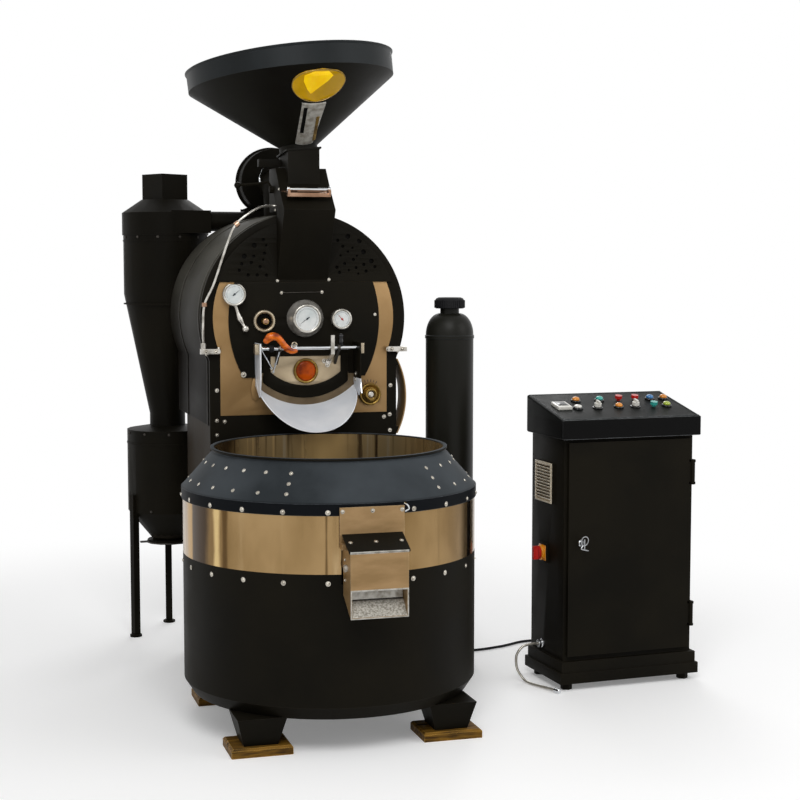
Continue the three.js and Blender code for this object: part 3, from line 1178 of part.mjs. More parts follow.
function ductGap() {
  return placed(rod('x', blower.ductRadius + outlet.holeGap, 0, stackReach, 0, blower.ductZ), 0, 0, 0,
    stackTurn);
}

function makeSkirt() {
  const { radius, hem, hemRise, skirtBottom, skirtTop, baseInner, basePlate } = bin;
  const shell = turned([[baseInner, skirtBottom], [radius - hem, skirtBottom], [radius,
    skirtBottom + hemRise],
    [radius, skirtTop - fit], [skirtInside, skirtTop - fit],
    [skirtInside, skirtBottom + hemRise], [skirtInside - hem, skirtBottom + basePlate],
    [baseInner, skirtBottom + basePlate]], bigSides, true);
  let body = cut(shell, outletGap(), ductGap());
  const half = bin.footSpacing / 2;
  for (const [sx, sy] of [[-1, -1], [1, -1], [-1, 1], [1, 1]]) {
    const form = new THREE.CylinderGeometry(foot.top / Math.SQRT2, foot.bottom / Math.SQRT2,
      skirtBottom + basePlate / 2 - foot.padHeight - fit, 4, 1);
    form.rotateY(Math.PI / 4).rotateX(Math.PI / 2);
    const middle = (skirtBottom + basePlate / 2 + foot.padHeight + fit) / 2;
    body = join(body, solid(form.translate(sx * half, sy * half, middle)));
  }
  return body;
}

function makePad() {
  const { padWidth, padDepth, padHeight, padBevel } = foot;
  const [x, y] = [padWidth / 2, padDepth / 2];
  const low = [at(-x, -y, 0), at(x, -y, 0), at(x, y, 0), at(-x, y, 0)];
  const raise = (inset, z) => low.map((p) => at(p.x - Math.sign(p.x) * inset,
    p.y - Math.sign(p.y) * inset, z));
  return loft([low, raise(0, padHeight - padBevel), raise(padBevel, padHeight)]);
}

function makeBand() {
  const ring = turned([[bin.radius, bin.skirtTop], [bin.radius, bin.bandTop - fit],
    [skirtInside, bin.bandTop - fit], [skirtInside, bin.skirtTop]], bigSides, true);
  return cut(ring, outletGap());
}

function makeCone() {
  const { radius, wall, flangeProud, bandTop, flangeTop, mouthRadius, coneTop, rimTop, rimProud } = bin;
  return turned([[radius + flangeProud, bandTop], [radius + flangeProud, flangeTop], [radius, flangeTop],
    [mouthRadius, coneTop], [mouthRadius + rimProud, rimTop], [mouthRadius - wall, rimTop],
    [mouthRadius - wall, coneTop - wall], [skirtInside, flangeTop - wall],
    [skirtInside, bandTop]], bigSides, true);
}

function makeLiner() {
  const { bottomZ, topZ, floorZ, shelf, shelfThickness, gateHalf, gateTop } = liner;
  const ring = turned([[linerRadius, bottomZ], [linerRadius, topZ], [linerInside, topZ], [linerInside,
    floorZ],
    [linerInside - shelf, floorZ], [linerInside - shelf, floorZ - shelfThickness],
    [linerInside, floorZ - shelfThickness], [linerInside, bottomZ]], bigSides, true);
  return cut(ring, block(outlet.offset - gateHalf, outlet.offset + gateHalf, -linerRadius - overrun,
    -linerInside + shelf / 2, screenTop, gateTop));
}

// The screen under the beans has rings of slots, each ring with more slots than the one inside it.
function makeScreen() {
  const { hubRadius, rings, firstRadius, ringPitch, firstSlots, slotsPerRing, slotLength,
    slotWidth } = screen;
  const slots = [rod('z', hubRadius, screenBottom - overrun, screenTop + overrun, 0, 0)];
  for (let ring = 0; ring < rings; ring += 1) {
    const count = firstSlots + ring * slotsPerRing;
    const start = firstRadius + ring * ringPitch;
    for (let i = 0; i < count; i += 1) {
      const slot = block(start, start + slotLength, -slotWidth / 2, slotWidth / 2, screenBottom - overrun,
        screenTop + overrun);
      slots.push(slot.rotate([0, 0, 360 * (i + (ring % 2) / 2) / count]));
    }
  }
  return cut(rod('z', linerInside - fit, screenBottom, screenTop, 0, 0, bigSides), ...slots);
}

// Arms reach from the hub on the gearbox shaft, each with paddles that turn the beans over.
function makeStirrer() {
  const { shaftRadius, hubRadius, hubHeight, arms, armRadius, reach, paddleHeight, paddleThickness,
    paddleCount, paddleLength, paddleTurn, floorGap, armRise, capRadius, capHeight } = stirrer;
  const low = screenTop + floorGap;
  const armZ = low + armRise;
  const hubTop = armZ + hubHeight / 2;
  const parts = [rod('z', shaftRadius, gearTop - binDrive.socketDepth + fit, hubTop, 0, 0, smallSides),
    turned([[0, low], [hubRadius, low], [hubRadius, hubTop], [capRadius, hubTop + capHeight],
      [0, hubTop + capHeight]], smallSides)];
  for (let arm = 0; arm < arms; arm += 1) {
    const pieces = [rod('x', armRadius, 0, reach, 0, armZ, holeSides)];
    for (let i = 0; i < paddleCount; i += 1) {
      const middle = reach - (i + 0.5 + (arm % 2) / 3) * (reach - hubRadius) / (paddleCount + 0.5);
      const paddle = block(-paddleLength / 2, paddleLength / 2, -paddleThickness / 2, paddleThickness / 2,
        low, low + paddleHeight);
      const stem = block(-paddleThickness, paddleThickness, -paddleThickness / 2, paddleThickness / 2,
        low + paddleHeight / 2, armZ);
      pieces.push(placed(join(paddle, stem), middle, 0, 0, paddleTurn));
    }
    parts.push(join(...pieces).rotate([0, 0, 360 * arm / arms]));
  }
  return join(...parts);
}

function makeBinDrive() {
  const { gearRadius, beamZ, beamHalf, beamThickness, motorRadius, motorHeight, socketDepth } = binDrive;
  const inside = rod('z', skirtInside - fit, beamZ, beamZ + beamThickness, 0, 0, bigSides);
  const beam = block(-bin.radius, bin.radius, -beamHalf, beamHalf, beamZ,
    beamZ + beamThickness).intersect(inside);
  const gear = rod('z', gearRadius, beamZ + beamThickness / 2, gearTop, 0, 0);
  const motor = rod('z', motorRadius, beamZ - motorHeight, beamZ + beamThickness / 2, 0, 0);
  const socket = rod('z', clearance(stirrer.shaftRadius, smallSides), gearTop - socketDepth,
    gearTop + overrun,
    0, 0, smallSides);
  return cut(join(beam, gear, motor), socket);
}

// The blower stands on the skirt's base and sends the cooling air through a duct to the stack.
function makeBlower() {
  const low = bin.skirtBottom + bin.basePlate + fit;
  const top = low + blower.height;
  const housing = rod('z', blower.radius, low, top, 0, 0);
  const motor = rod('z', blower.motorRadius, top - fit, top + blower.motorHeight, 0, 0);
  const duct = placed(rod('x', blower.ductRadius, blower.radius / 2, stackReach, 0, blower.ductZ), 0, 0, 0,
    stackTurn);
  const stackHole = rod('z', clearance(stack.radius, bigSides), 0, stack.seamZ, stack.x - bin.x,
    stack.y - bin.y, bigSides);
  return cut(join(housing, motor, duct), stackHole);
}

// The outlet box hangs before the skirt and a ramp joins it to the liner's gate.
function makeOutlet() {
  const { offset, plateHalf, plateTop, plateThickness, boxHalf, boxTop, boxBottom, frontBottom, wall,
    angleTop,
    angleOut, floorRise, rampDrop, rampHeight, pivotZ, pivotIn, pivotRadius } = outlet;
  const slope = floorRise / outlet.boxOut;
  const floorAt = (y) => boxBottom + (y - outletFront) * slope;
  const box = slab('yz', polygon([[outletBack, boxTop], [outletFront, boxTop], [outletFront, boxBottom],
    [outletBack, floorAt(outletBack)]]), offset - boxHalf, offset + boxHalf);
  const rampTop = liner.floorZ - wall;
  const rampStart = -linerInside;
  const rampEnd = outletBack - wall;
  const rampFloor = rampTop - rampDrop;
  const ramp = slab('yz', polygon([[rampStart, rampTop - wall], [rampStart, rampTop + rampHeight],
    [rampEnd, rampFloor + rampHeight], [rampEnd, rampFloor - wall]]), offset - boxHalf, offset + boxHalf);
  const rampHollow = slab('yz', polygon([[rampStart + overrun, rampTop], [rampStart + overrun, bin.rimTop],
    [rampEnd - overrun, bin.rimTop], [rampEnd - overrun, rampFloor]]), offset - boxHalf + wall,
    offset + boxHalf - wall);
  const inside = slab('yz', polygon([[outletBack + overrun * 2, boxTop - wall], [outletFront + wall,
    boxTop - wall],
    [outletFront + wall, frontBottom], [outletFront - overrun, frontBottom],
    [outletFront - overrun, floorAt(outletFront - overrun) + wall],
    [outletBack + overrun * 2, floorAt(outletBack + overrun * 2) + wall]]), offset - boxHalf + wall,
    offset + boxHalf - wall);
  const plate = block(offset - plateHalf, offset + plateHalf, outletBack - plateThickness, outletBack,
    angleTop - wall, plateTop);
  const angle = block(offset - plateHalf, offset + plateHalf, outletBack - angleOut, outletBack,
    boxTop - wall / 2, angleTop);
  const pivot = rod('x', clearance(pivotRadius, smallSides), offset - plateHalf, offset + plateHalf,
    outletBack - pivotIn, pivotZ,
    smallSides);
  const rampCut = cut(ramp, rod('z', linerRadius + fit, 0, bin.rimTop, 0, 0, bigSides));
  return join(cut(join(cut(box, inside), rampCut), rampHollow, pivot), plate, angle);
}

// The flap's origin is on its cross shaft.
function makeFlap() {
  const { boxHalf, wall, pivotRadius, pivotHead, pivotHeadLength, flapLength, flapThickness,
    flapSideGap } = outlet;
  const half = boxHalf - wall - flapSideGap;
  const parts = [
    block(-half, half, -flapThickness / 2, flapThickness / 2, -flapLength, 0),
    rod('x', pivotRadius, -boxHalf - pivotHeadLength, boxHalf + pivotHeadLength, 0, 0, smallSides),
  ];
  for (const side of [-1, 1]) {
    const ends = [side * (boxHalf + fit), side * (boxHalf + pivotHeadLength)].sort((a, b) => a - b);
    parts.push(rod('x', pivotHead, ...ends, 0, 0, smallSides));
  }
  return join(...parts);
}

piece(binGroup, 'bin_skirt', makeSkirt(), blackPaint);
const padNames = [['foot_pad_front_left', -1, -1], ['foot_pad_front_right', 1, -1],
  ['foot_pad_rear_left', -1, 1], ['foot_pad_rear_right', 1, 1]];
for (const [name, sx, sy] of padNames) {
  piece(groupAt(binGroup, sx * bin.footSpacing / 2, sy * bin.footSpacing / 2, 0), name, makePad(), wood);
}
piece(binGroup, 'bin_band', makeBand(), mirrorBronze);
piece(binGroup, 'bin_cone', makeCone(), blueBlack);
piece(binGroup, 'bin_liner', makeLiner(), mirrorBronze);
piece(binGroup, 'cooling_screen', makeScreen(), steel);
piece(binGroup, 'stirrer', makeStirrer(), steel);
piece(binGroup, 'stirrer_drive', makeBinDrive(), castIron);
piece(binGroup, 'cooling_blower', makeBlower(), blackPaint);
piece(binGroup, 'outlet_box', makeOutlet(), bronze);
piece(groupAt(binGroup, outlet.offset, outletBack - outlet.pivotIn, outlet.pivotZ), 'outlet_flap',
  makeFlap(),
  steel);

// Cyclone, chaff bin and stack

const cycloneGroup = groupAt(roaster, cyclone.x, cyclone.y, 0);

function makeCyclone() {
  const { wall, collarRadius, collarBottom, coneBottom, coneTop, radius, bandBottom, bandRadius, bandTop,
    crownTop,
    stubHalf, stubTop, stubTurn, inletZ, inletHalf, inletReach } = cyclone;
  const crownRadius = stubHalf * Math.SQRT2 + wall;
  const outside = turned([[0, collarBottom], [collarRadius, collarBottom], [collarRadius, coneBottom],
    [radius, coneTop], [radius, bandBottom], [bandRadius, bandBottom], [bandRadius, bandTop],
    [crownRadius, crownTop], [0, crownTop]], roundSides);
  const inside = turned([[0, collarBottom - overrun], [collarRadius - wall, collarBottom - overrun],
    [collarRadius - wall, coneBottom], [radius - wall, coneTop], [radius - wall, bandTop - wall],
    [crownRadius - wall, crownTop - wall], [0, crownTop - wall]], roundSides);
  const y = fanMiddle - cyclone.y;
  const inlet = block(0, inletReach, y - inletHalf, y + inletHalf, inletZ - inletHalf, inletZ + inletHalf);
  const inletInside = block(0, inletReach - wall, y - inletHalf + wall, y + inletHalf - wall,
    inletZ - inletHalf + wall, inletZ + inletHalf - wall);
  const port = rod('x', fan.pipeRadius - fan.pipeWall, 0, inletReach + overrun, y, inletZ);
  const stub = block(-stubHalf, stubHalf, -stubHalf, stubHalf, crownTop - wall / 2, stubTop);
  const flue = block(-stubHalf + wall, stubHalf - wall, -stubHalf + wall, stubHalf - wall,
    crownTop - wall - overrun, stubTop + overrun);
  const turn = [0, 0, stubTurn];
  return cut(join(outside, inlet, stub.rotate(turn)), inside, inletInside, port, flue.rotate(turn));
}

function makeChaffBin() {
  const { radius, wall, bottomZ, topZ, outletRadius, outletZ, flangeRadius,
    flangeThickness, legCircle, legHalf, legTopZ, footRadius, footHeight, legAngles } = chaff;
  const lid = cyclone.collarBottom - fit;
  const shell = turned([[outletRadius, outletZ], [radius, bottomZ], [radius, topZ],
    [cyclone.collarRadius + wall, lid], [cyclone.collarRadius - wall, lid],
    [cyclone.collarRadius - wall, lid - wall], [radius - wall, topZ - wall], [radius - wall, bottomZ],
    [outletRadius - wall, outletZ - flangeThickness],
    [flangeRadius, outletZ - flangeThickness], [flangeRadius, outletZ]], roundSides, true);
  const parts = [shell];
  for (const angle of legAngles) {
    const leg = join(block(legCircle - legHalf, legCircle + legHalf, -legHalf, legHalf, footHeight / 2,
      legTopZ),
      rod('z', footRadius, 0, footHeight, legCircle, 0, smallSides));
    parts.push(leg.rotate([0, 0, angle]));
  }
  const ear = rod('z', chaffGate.earRadius, outletZ - flangeThickness, outletZ, flangeRadius, 0,
    smallSides);
  const pin = rod('z', chaffGate.pinRadius, outletZ - flangeThickness - chaffGate.pinLength, outletZ - fit,
    flangeRadius, 0, holeSides);
  return join(...parts, ear, pin);
}

// The gate closes the chaff outlet and swings sideways about the pin in its ear.
function makeChaffGate() {
  const { radius, thickness, earRadius, pinRadius, gripLength, gripWidth } = chaffGate;
  const top = -fit;
  const plate = rod('z', radius, -thickness, top, -chaff.flangeRadius, 0);
  const ear = rod('z', earRadius, -thickness, top, 0, 0, smallSides);
  const reach = chaff.flangeRadius + radius;
  const grip = block(-reach - gripLength, -reach + thickness, -gripWidth / 2, gripWidth / 2, -thickness,
    top);
  const bore = rod('z', clearance(pinRadius, holeSides), -thickness - overrun, overrun, 0, 0, holeSides);
  return cut(join(plate, ear, grip), bore);
}

function makeStack() {
  const { radius, footRadius, footHeight, domeSteps, seamZ, shoulderTop, seamProud, seamHeight,
    neckRadius, neckTop, capRadius,
    capTop, ribs, ribDepth, capBevel } = stack;
  const start = seamZ + seamHeight;
  const profile = [[0, 0], [footRadius, 0], [footRadius, footHeight], [radius, footHeight], [radius, seamZ],
    [radius + seamProud, seamZ], [radius + seamProud, start], [radius, start]];
    for (let i = 1; i <= domeSteps; i += 1) {
    const angle = i / domeSteps * Math.PI / 2;
    profile.push([neckRadius + (radius - neckRadius) * Math.cos(angle), start
      + (shoulderTop - start) * Math.sin(angle)]);
  }
  profile.push([neckRadius, neckTop + fit], [0, neckTop + fit]);
  const star = [];
  for (let i = 0; i < ribs * 2; i += 1) {
    const r = i % 2 ? capRadius : capRadius - ribDepth;
    star.push([r * Math.cos(Math.PI * i / ribs), r * Math.sin(Math.PI * i / ribs)]);
  }
  const cap = slab('xy', polygon(star), neckTop, capTop - capBevel);
  const lid = turned([[0, capTop - capBevel * 2], [capRadius - ribDepth, capTop - capBevel * 2],
    [capRadius - ribDepth, capTop - capBevel], [capRadius - ribDepth - capBevel, capTop], [0, capTop]],
    midSides);
  return join(turned(profile, roundSides), cap, lid);
}

piece(cycloneGroup, 'cyclone', makeCyclone(), blackPaint);
piece(cycloneGroup, 'chaff_bin', makeChaffBin(), blackPaint);
piece(groupAt(cycloneGroup, chaff.flangeRadius, 0, chaff.outletZ - chaff.flangeThickness), 'chaff_gate',
  makeChaffGate(), darkSteel);
piece(groupAt(roaster, stack.x, stack.y, 0), 'exhaust_stack', makeStack(), blackPaint);

// Control cabinet; its group's origin is the plinth's front left corner on the floor

const cabinetGroup = groupAt(roaster, cabinet.x, cabinet.y, 0);
cabinetGroup.rotation.z = THREE.MathUtils.degToRad(cabinet.turn);
const bodyLeft = cabinet.bodyInset;
const bodyRight = cabinet.width - cabinet.bodyInset;
const doorBack = cabinet.frontSet + cabinet.doorThickness;
const bodyFront = doorBack + fit;
const bodyBack = cabinet.depth - cabinet.frontSet;
const doorLeft = (cabinet.width - cabinet.doorWidth) / 2;
const doorRight = doorLeft + cabinet.doorWidth;
const hingeX = doorRight + cabinetHinge.out;

function makeVent() {
  const { z, y, width, height, slats, slatThickness, slatDepth, frame, proud, slatLean } = vent;
  const [x0, x1] = [bodyLeft - proud, bodyLeft + cabinet.wall / 2];
  const outer = block(x0, x1, y - width / 2, y + width / 2, z - height / 2, z + height / 2);
  const inner = block(x0 - overrun, x1 + overrun, y - width / 2 + frame, y + width / 2 - frame,
    z - height / 2 + frame, z + height / 2 - frame);
  const parts = [cut(outer, inner)];
  const pitch = (height - 2 * frame) / slats;
  for (let i = 0; i < slats; i += 1) {
    const slat = block(-slatDepth / 2, slatDepth / 2, y - width / 2 + frame / 2, y + width / 2 - frame / 2,
      -slatThickness / 2, slatThickness / 2);
    const lean = [0, -THREE.MathUtils.radToDeg(slatLean), 0];
    parts.push(slat.rotate(lean).translate([bodyLeft, 0, z - height / 2 + frame + (i + 0.5) * pitch]));
  }
  return join(...parts);
}

// The wiring plate inside stands off the back on studs and carries a row of contactors.
function makeWiringPlate() {
  const { thickness, gap, half, bottom, top, stud, contactors, contactorDepth, contactorHeight,
    rowZ } = wiring;
  const middle = cabinet.width / 2;
  const back = bodyBack - cabinet.wall - gap;
  const parts = [block(middle - half, middle + half, back - thickness, back, bottom, top)];
  for (const x of [middle - half + stud * 2, middle + half - stud * 2]) {
    for (const z of [bottom + stud * 2, top - stud * 2]) {
      parts.push(block(x - stud, x + stud, back - thickness / 2, bodyBack - cabinet.wall / 2, z - stud,
        z + stud));
    }
  }
  const pitch = 2 * half / (contactors + 0.5);
  for (let i = 0; i < contactors; i += 1) {
    const x = middle + (i - (contactors - 1) / 2) * pitch;
    parts.push(block(x - pitch / 2.6, x + pitch / 2.6, back - thickness - contactorDepth,
      back - thickness / 2,
      rowZ, rowZ + contactorHeight));
  }
  return join(...parts);
}

// The opening for the wiring that the cabinet's top and the desk's base share.
function wiringGap(from, to) {
  return block(cabinet.width / 4, cabinet.width * 3 / 4, cabinet.depth / 3, cabinet.depth * 2 / 3, from,
    to);
}

function makeCabinetBody() {
  const { width, depth, footHeight, footRadius, footInset, plinthStep, plinthTop, plinthInset, wall,
    bodyTop, frame,
    doorBottom, doorTop, frontSet } = cabinet;
  const housing = cut(
    block(bodyLeft, bodyRight, bodyFront, bodyBack, plinthTop - wall, bodyTop),
    block(bodyLeft + wall, bodyRight - wall, bodyFront + wall, bodyBack - wall, plinthTop + wall,
    bodyTop - wall),
    block(doorLeft + frame, doorRight - frame, bodyFront - overrun, bodyFront + wall + overrun,
    doorBottom + frame,
      doorTop - frame),
    wiringGap(bodyTop - wall - overrun, bodyTop + overrun),
    block(bodyLeft - overrun, bodyLeft + wall + overrun, vent.y - vent.width / 2 + vent.frame,
      vent.y + vent.width / 2 - vent.frame, vent.z - vent.height / 2 + vent.frame,
      vent.z + vent.height / 2 - vent.frame),
  );
  const parts = [housing, makeVent(), makeWiringPlate(),
    block(0, width, 0, depth, footHeight, plinthStep),
    block(plinthInset, width - plinthInset, plinthInset, depth - plinthInset, plinthStep - wall,
    plinthTop)];
  for (const x of [footInset, width - footInset]) {
    for (const y of [footInset, depth - footInset]) {
      parts.push(rod('z', footRadius, 0, footHeight + wall, x, y, holeSides));
    }
  }
  const { radius, length, upperZ, lowerZ, ear, pinRadius } = cabinetHinge;
  for (const z of [upperZ, lowerZ]) {
    for (const side of [-1, 1]) {
      const inner = z + side * (length / 2 + fit);
      const ends = [inner, inner + side * ear].sort((a, b) => a - b);
      parts.push(block(doorRight + 2 * fit, hingeX + radius, frontSet - radius, bodyFront + wall / 2,
        ...ends));
    }
    parts.push(rod('z', pinRadius, z - length / 2 - ear, z + length / 2 + ear, hingeX, frontSet,
      holeSides));
  }
  const { plateHalf, plateThickness, stemRadius, depth: knobDepth } = mainSwitch;
  parts.push(block(bodyLeft - plateThickness, bodyLeft + wall / 2, mainSwitch.y - plateHalf,
    mainSwitch.y + plateHalf, mainSwitch.z - plateHalf, mainSwitch.z + plateHalf));
  parts.push(rod('x', gland.radius, bodyLeft - gland.length, bodyLeft + wall / 2, gland.y, gland.z,
    smallSides));
  parts.push(rod('x', gland.hexRadius, bodyLeft - gland.hexLength, bodyLeft + wall / 2, gland.y, gland.z,
    6));
  parts.push(rod('y', gland.radius, bodyBack - wall / 2, bodyBack + gland.length, rearGland.x, rearGland.z,
    smallSides));
  const stem = rod('x', clearance(stemRadius, smallSides), bodyLeft - knobDepth,
    bodyLeft + wall + overrun, mainSwitch.y,
    mainSwitch.z, smallSides);
  return cut(join(...parts), stem);
}

// The desk's top slopes up towards the back; its controls sit on groups square to that slope.
const deskSlope = Math.atan2(desk.backZ - desk.frontZ, cabinet.depth);
const deskBottom = cabinet.bodyTop + fit;

function deskPlace(shareAcross, shareFromBack) {
  const y = cabinet.depth * (1 - shareFromBack);
  return at(cabinet.width * shareAcross, y, desk.frontZ + y * Math.tan(deskSlope));
}

// A body drawn on the flat, with its foot at zero, moved onto the slope.
function onDesk(body, place) {
  return body.rotate([THREE.MathUtils.radToDeg(deskSlope), 0, 0]).translate(place.toArray());
}

const rowShares = { topRow: control.topRowShare, bottomRow: control.bottomRowShare };

function makeDesk() {
  const { width, depth } = cabinet;
  const { frontZ, backZ, wall } = desk;
  const rise = (backZ - frontZ) / depth;
  const outer = polygon([[0, deskBottom], [0, frontZ], [depth, backZ], [depth, deskBottom]]);
  const inner = polygon([[wall, deskBottom + wall], [wall, frontZ + wall * rise - wall],
    [depth - wall, backZ - wall * rise - wall], [depth - wall, deskBottom + wall]]);
  let body = cut(slab('yz', outer, 0, width), slab('yz', inner, wall, width - wall),
    wiringGap(deskBottom - overrun, deskBottom + wall + overrun));
  const { bezelRadius, bezelHeight, lowBezel, lampRadius, lampHeight, stemRadius } = control;
  for (const [across, row] of lampShares) {
    const lamp = join(rod('z', bezelRadius, -wall / 2, bezelHeight, 0, 0, smallSides),
      rod('z', lampRadius, 0, bezelHeight + lampHeight, 0, 0, smallSides));
    body = join(body, onDesk(lamp, deskPlace(across, rowShares[row])));
  }
  for (const { across, row } of movingControls) {
    const ring = rod('z', bezelRadius, -wall / 2, lowBezel, 0, 0, ductSides);
    const place = deskPlace(across, rowShares[row]);
    const bore = rod('z', clearance(stemRadius, smallSides), -overrun * 2, overrun * 2, 0, 0, smallSides);
    body = cut(join(body, onDesk(ring, place)), onDesk(bore, place));
  }
  const near = deskPlace(meter.startShare, meter.depthShares[1]);
  const far = deskPlace(meter.endShare, meter.depthShares[0]);
  const meterBody = block(0, far.x - near.x, 0, (far.y - near.y) / Math.cos(deskSlope), -wall / 2,
    meter.height);
  return join(body, onDesk(meterBody, near));
}

function makeButton() {
  const { headRadius, headHeight, headGap, stemRadius, stemLength } = control;
  return join(rod('z', headRadius, headGap, headGap + headHeight, 0, 0, ductSides),
    rod('z', stemRadius, -stemLength, headGap + headHeight / 2, 0, 0, smallSides));
}

function makeSelector() {
  const { headRadius, headHeight, headGap, gripWidth, gripHeight } = control;
  const top = headGap + headHeight;
  return join(makeButton(), block(-gripWidth / 2, gripWidth / 2, -headRadius, headRadius,
    top - gripHeight / 2,
    top + gripHeight));
}

function makeCabinetDoor() {
  const { doorBottom, doorTop, frontSet, frame, doorSkin } = cabinet;
  const x = -hingeX;
  const y = -frontSet;
  const { radius, length, ear, leaf, pinRadius, notch } = cabinetHinge;
  let panel = cut(block(doorLeft + x, doorRight + x, 0, doorBack + y, doorBottom, doorTop),
    block(doorLeft + frame + x, doorRight - frame + x, doorSkin, doorBack + overrun, doorBottom + frame,
      doorTop - frame));
  for (const z of [cabinetHinge.upperZ, cabinetHinge.lowerZ]) {
    const [low, high] = [z - length / 2, z + length / 2];
    const reach = ear + 3 * fit;
    panel = cut(panel, block(-notch, overrun, -overrun, doorBack + overrun, low - reach, high + reach));
    panel = join(panel, rod('z', radius, low, high, 0, 0, smallSides),
      block(-notch - leaf, 0, 0, leaf, low, high));
  }
  const pin = rod('z', clearance(pinRadius, holeSides), doorBottom, doorTop, 0, 0, holeSides);
  const lockX = doorLeft + lock.inset + x;
  const barrelRod = rod('y', lock.radius, -lock.proud, doorSkin / 2, lockX, lock.z, midSides);
  const keyHole = rod('y', clearance(lock.bladeRadius, smallSides), -lock.proud - overrun,
    doorSkin + overrun,
    lockX, lock.z, smallSides);
  return cut(join(cut(panel, pin), barrelRod), keyHole);
}

// The key's blade turns in the lock; the bow is a flat plate with a hole.
function makeKey() {
  const { keyHole, keyHeight, keyThickness, keyLength, bladeRadius, proud } = lock;
  const front = -proud - fit;
  const bow = cut(block(-keyThickness / 2, keyThickness / 2, front - keyLength, front, -keyHeight / 2,
    keyHeight / 2), rod('x', keyHole, -overrun, overrun, front - keyLength / 2, keyHeight / 5, holeSides));
  return join(bow, rod('y', bladeRadius, front - keyThickness, 0, 0, 0, smallSides));
}

function makeMainSwitch() {
  const { radius, depth, gripHalf, gripDepth, stemRadius, plateThickness } = mainSwitch;
  return join(rod('x', radius, -depth, 0, 0, 0, midSides),
    block(-depth - gripDepth, -depth / 2, -gripHalf, gripHalf, -radius, radius),
    rod('x', stemRadius, -depth / 2, plateThickness + fit, 0, 0, smallSides));
}

piece(cabinetGroup, 'cabinet_body', makeCabinetBody(), blackPaint);
piece(cabinetGroup, 'cabinet_desk', makeDesk(), blackPaint);
const cabinetDoorGroup = groupAt(cabinetGroup, hingeX, cabinet.frontSet, 0);
piece(cabinetDoorGroup, 'cabinet_door', makeCabinetDoor(), blackPaint);
piece(groupAt(cabinetDoorGroup, doorLeft + lock.inset - hingeX, 0, lock.z), 'door_key', makeKey(), steel);
piece(groupAt(cabinetGroup, bodyLeft - mainSwitch.plateThickness - fit, mainSwitch.y, mainSwitch.z),
  'main_switch', makeMainSwitch(), redPlastic);
for (const { name, across, row, material, turns } of movingControls) {
  const place = deskPlace(across, rowShares[row]);
  const group = groupAt(cabinetGroup, place.x, place.y, place.z);
  group.rotation.x = deskSlope;
  piece(group, name, turns ? makeSelector() : makeButton(), material);
}

// Cords that lie on the floor between the roaster and the cabinet, and beside the cabinet

function makeCable() {
  const port = pedestal.halfWidth + pedestal.portLength + fit;
  cabinetGroup.updateMatrixWorld();
  const atGland = (out) => at(rearGland.x, bodyBack + gland.length + out, rearGland.z)
    .applyMatrix4(cabinetGroup.matrixWorld);
  const points = [at(port, pedestal.portY, pedestal.portZ), ...cableRoute.map((point) => at(...point)),
    atGland(cable.lead), atGland(fit)];
  return sweep(points, cable.radius, cable.sides, cable.steps, cable.tension);
}

// The flexible conduit hangs from the left gland to the floor and ends in a ferrule.
function makeConduit() {
  const { radius, sides, steps, tension, ferruleRadius, ferruleLength } = conduit;
  const points = [at(bodyLeft - gland.length - fit, gland.y, gland.z),
    ...conduitRoute.map((p) => at(...p))];
  const end = points[points.length - 1];
  const before = points[points.length - 2];
  const turn = THREE.MathUtils.radToDeg(Math.atan2(end.y - before.y, end.x - before.x));
  const ferrule = rod('x', ferruleRadius, -ferruleLength / 2, ferruleLength / 2, 0, 0, smallSides);
  return join(sweep(points, radius, sides, steps, tension), placed(ferrule, end.x, end.y, end.z, turn));
}

piece(roaster, 'power_cable', makeCable(), rubber);
piece(cabinetGroup, 'conduit', makeConduit(), steel);

export default roaster;
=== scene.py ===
"""Looks of a floor-standing shop coffee roaster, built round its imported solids.

Shapes are drawn in millimetres in the solids' frame, +Z up and the front to -Y, and set down in metres."""

import math

import bmesh
import bpy
from mathutils import Matrix, Vector


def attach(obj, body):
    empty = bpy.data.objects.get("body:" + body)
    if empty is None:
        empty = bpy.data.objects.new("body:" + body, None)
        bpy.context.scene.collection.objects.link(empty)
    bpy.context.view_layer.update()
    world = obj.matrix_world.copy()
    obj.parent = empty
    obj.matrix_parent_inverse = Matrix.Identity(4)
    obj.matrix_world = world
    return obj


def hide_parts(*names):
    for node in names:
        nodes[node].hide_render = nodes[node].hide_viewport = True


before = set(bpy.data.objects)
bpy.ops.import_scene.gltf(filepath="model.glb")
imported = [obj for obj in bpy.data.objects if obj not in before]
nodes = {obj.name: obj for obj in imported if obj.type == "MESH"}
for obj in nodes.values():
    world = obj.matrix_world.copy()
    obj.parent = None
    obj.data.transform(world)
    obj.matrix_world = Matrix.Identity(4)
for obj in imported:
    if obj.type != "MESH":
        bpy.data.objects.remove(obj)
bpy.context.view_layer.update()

MM = 0.001
ROUND = 96
FINE = 48
SMALL = 24
FRONT = Matrix.Rotation(math.pi / 2, 4, "X")
SIDEWAYS = Matrix(((0, 0, 1, 0), (1, 0, 0, 0), (0, 1, 0, 0), (0, 0, 0, 1)))
ALONG_X = Matrix.Rotation(math.pi / 2, 4, "Y")
ALONG_MINUS_X = Matrix.Rotation(-math.pi / 2, 4, "Y")
HOUSING = "roaster"

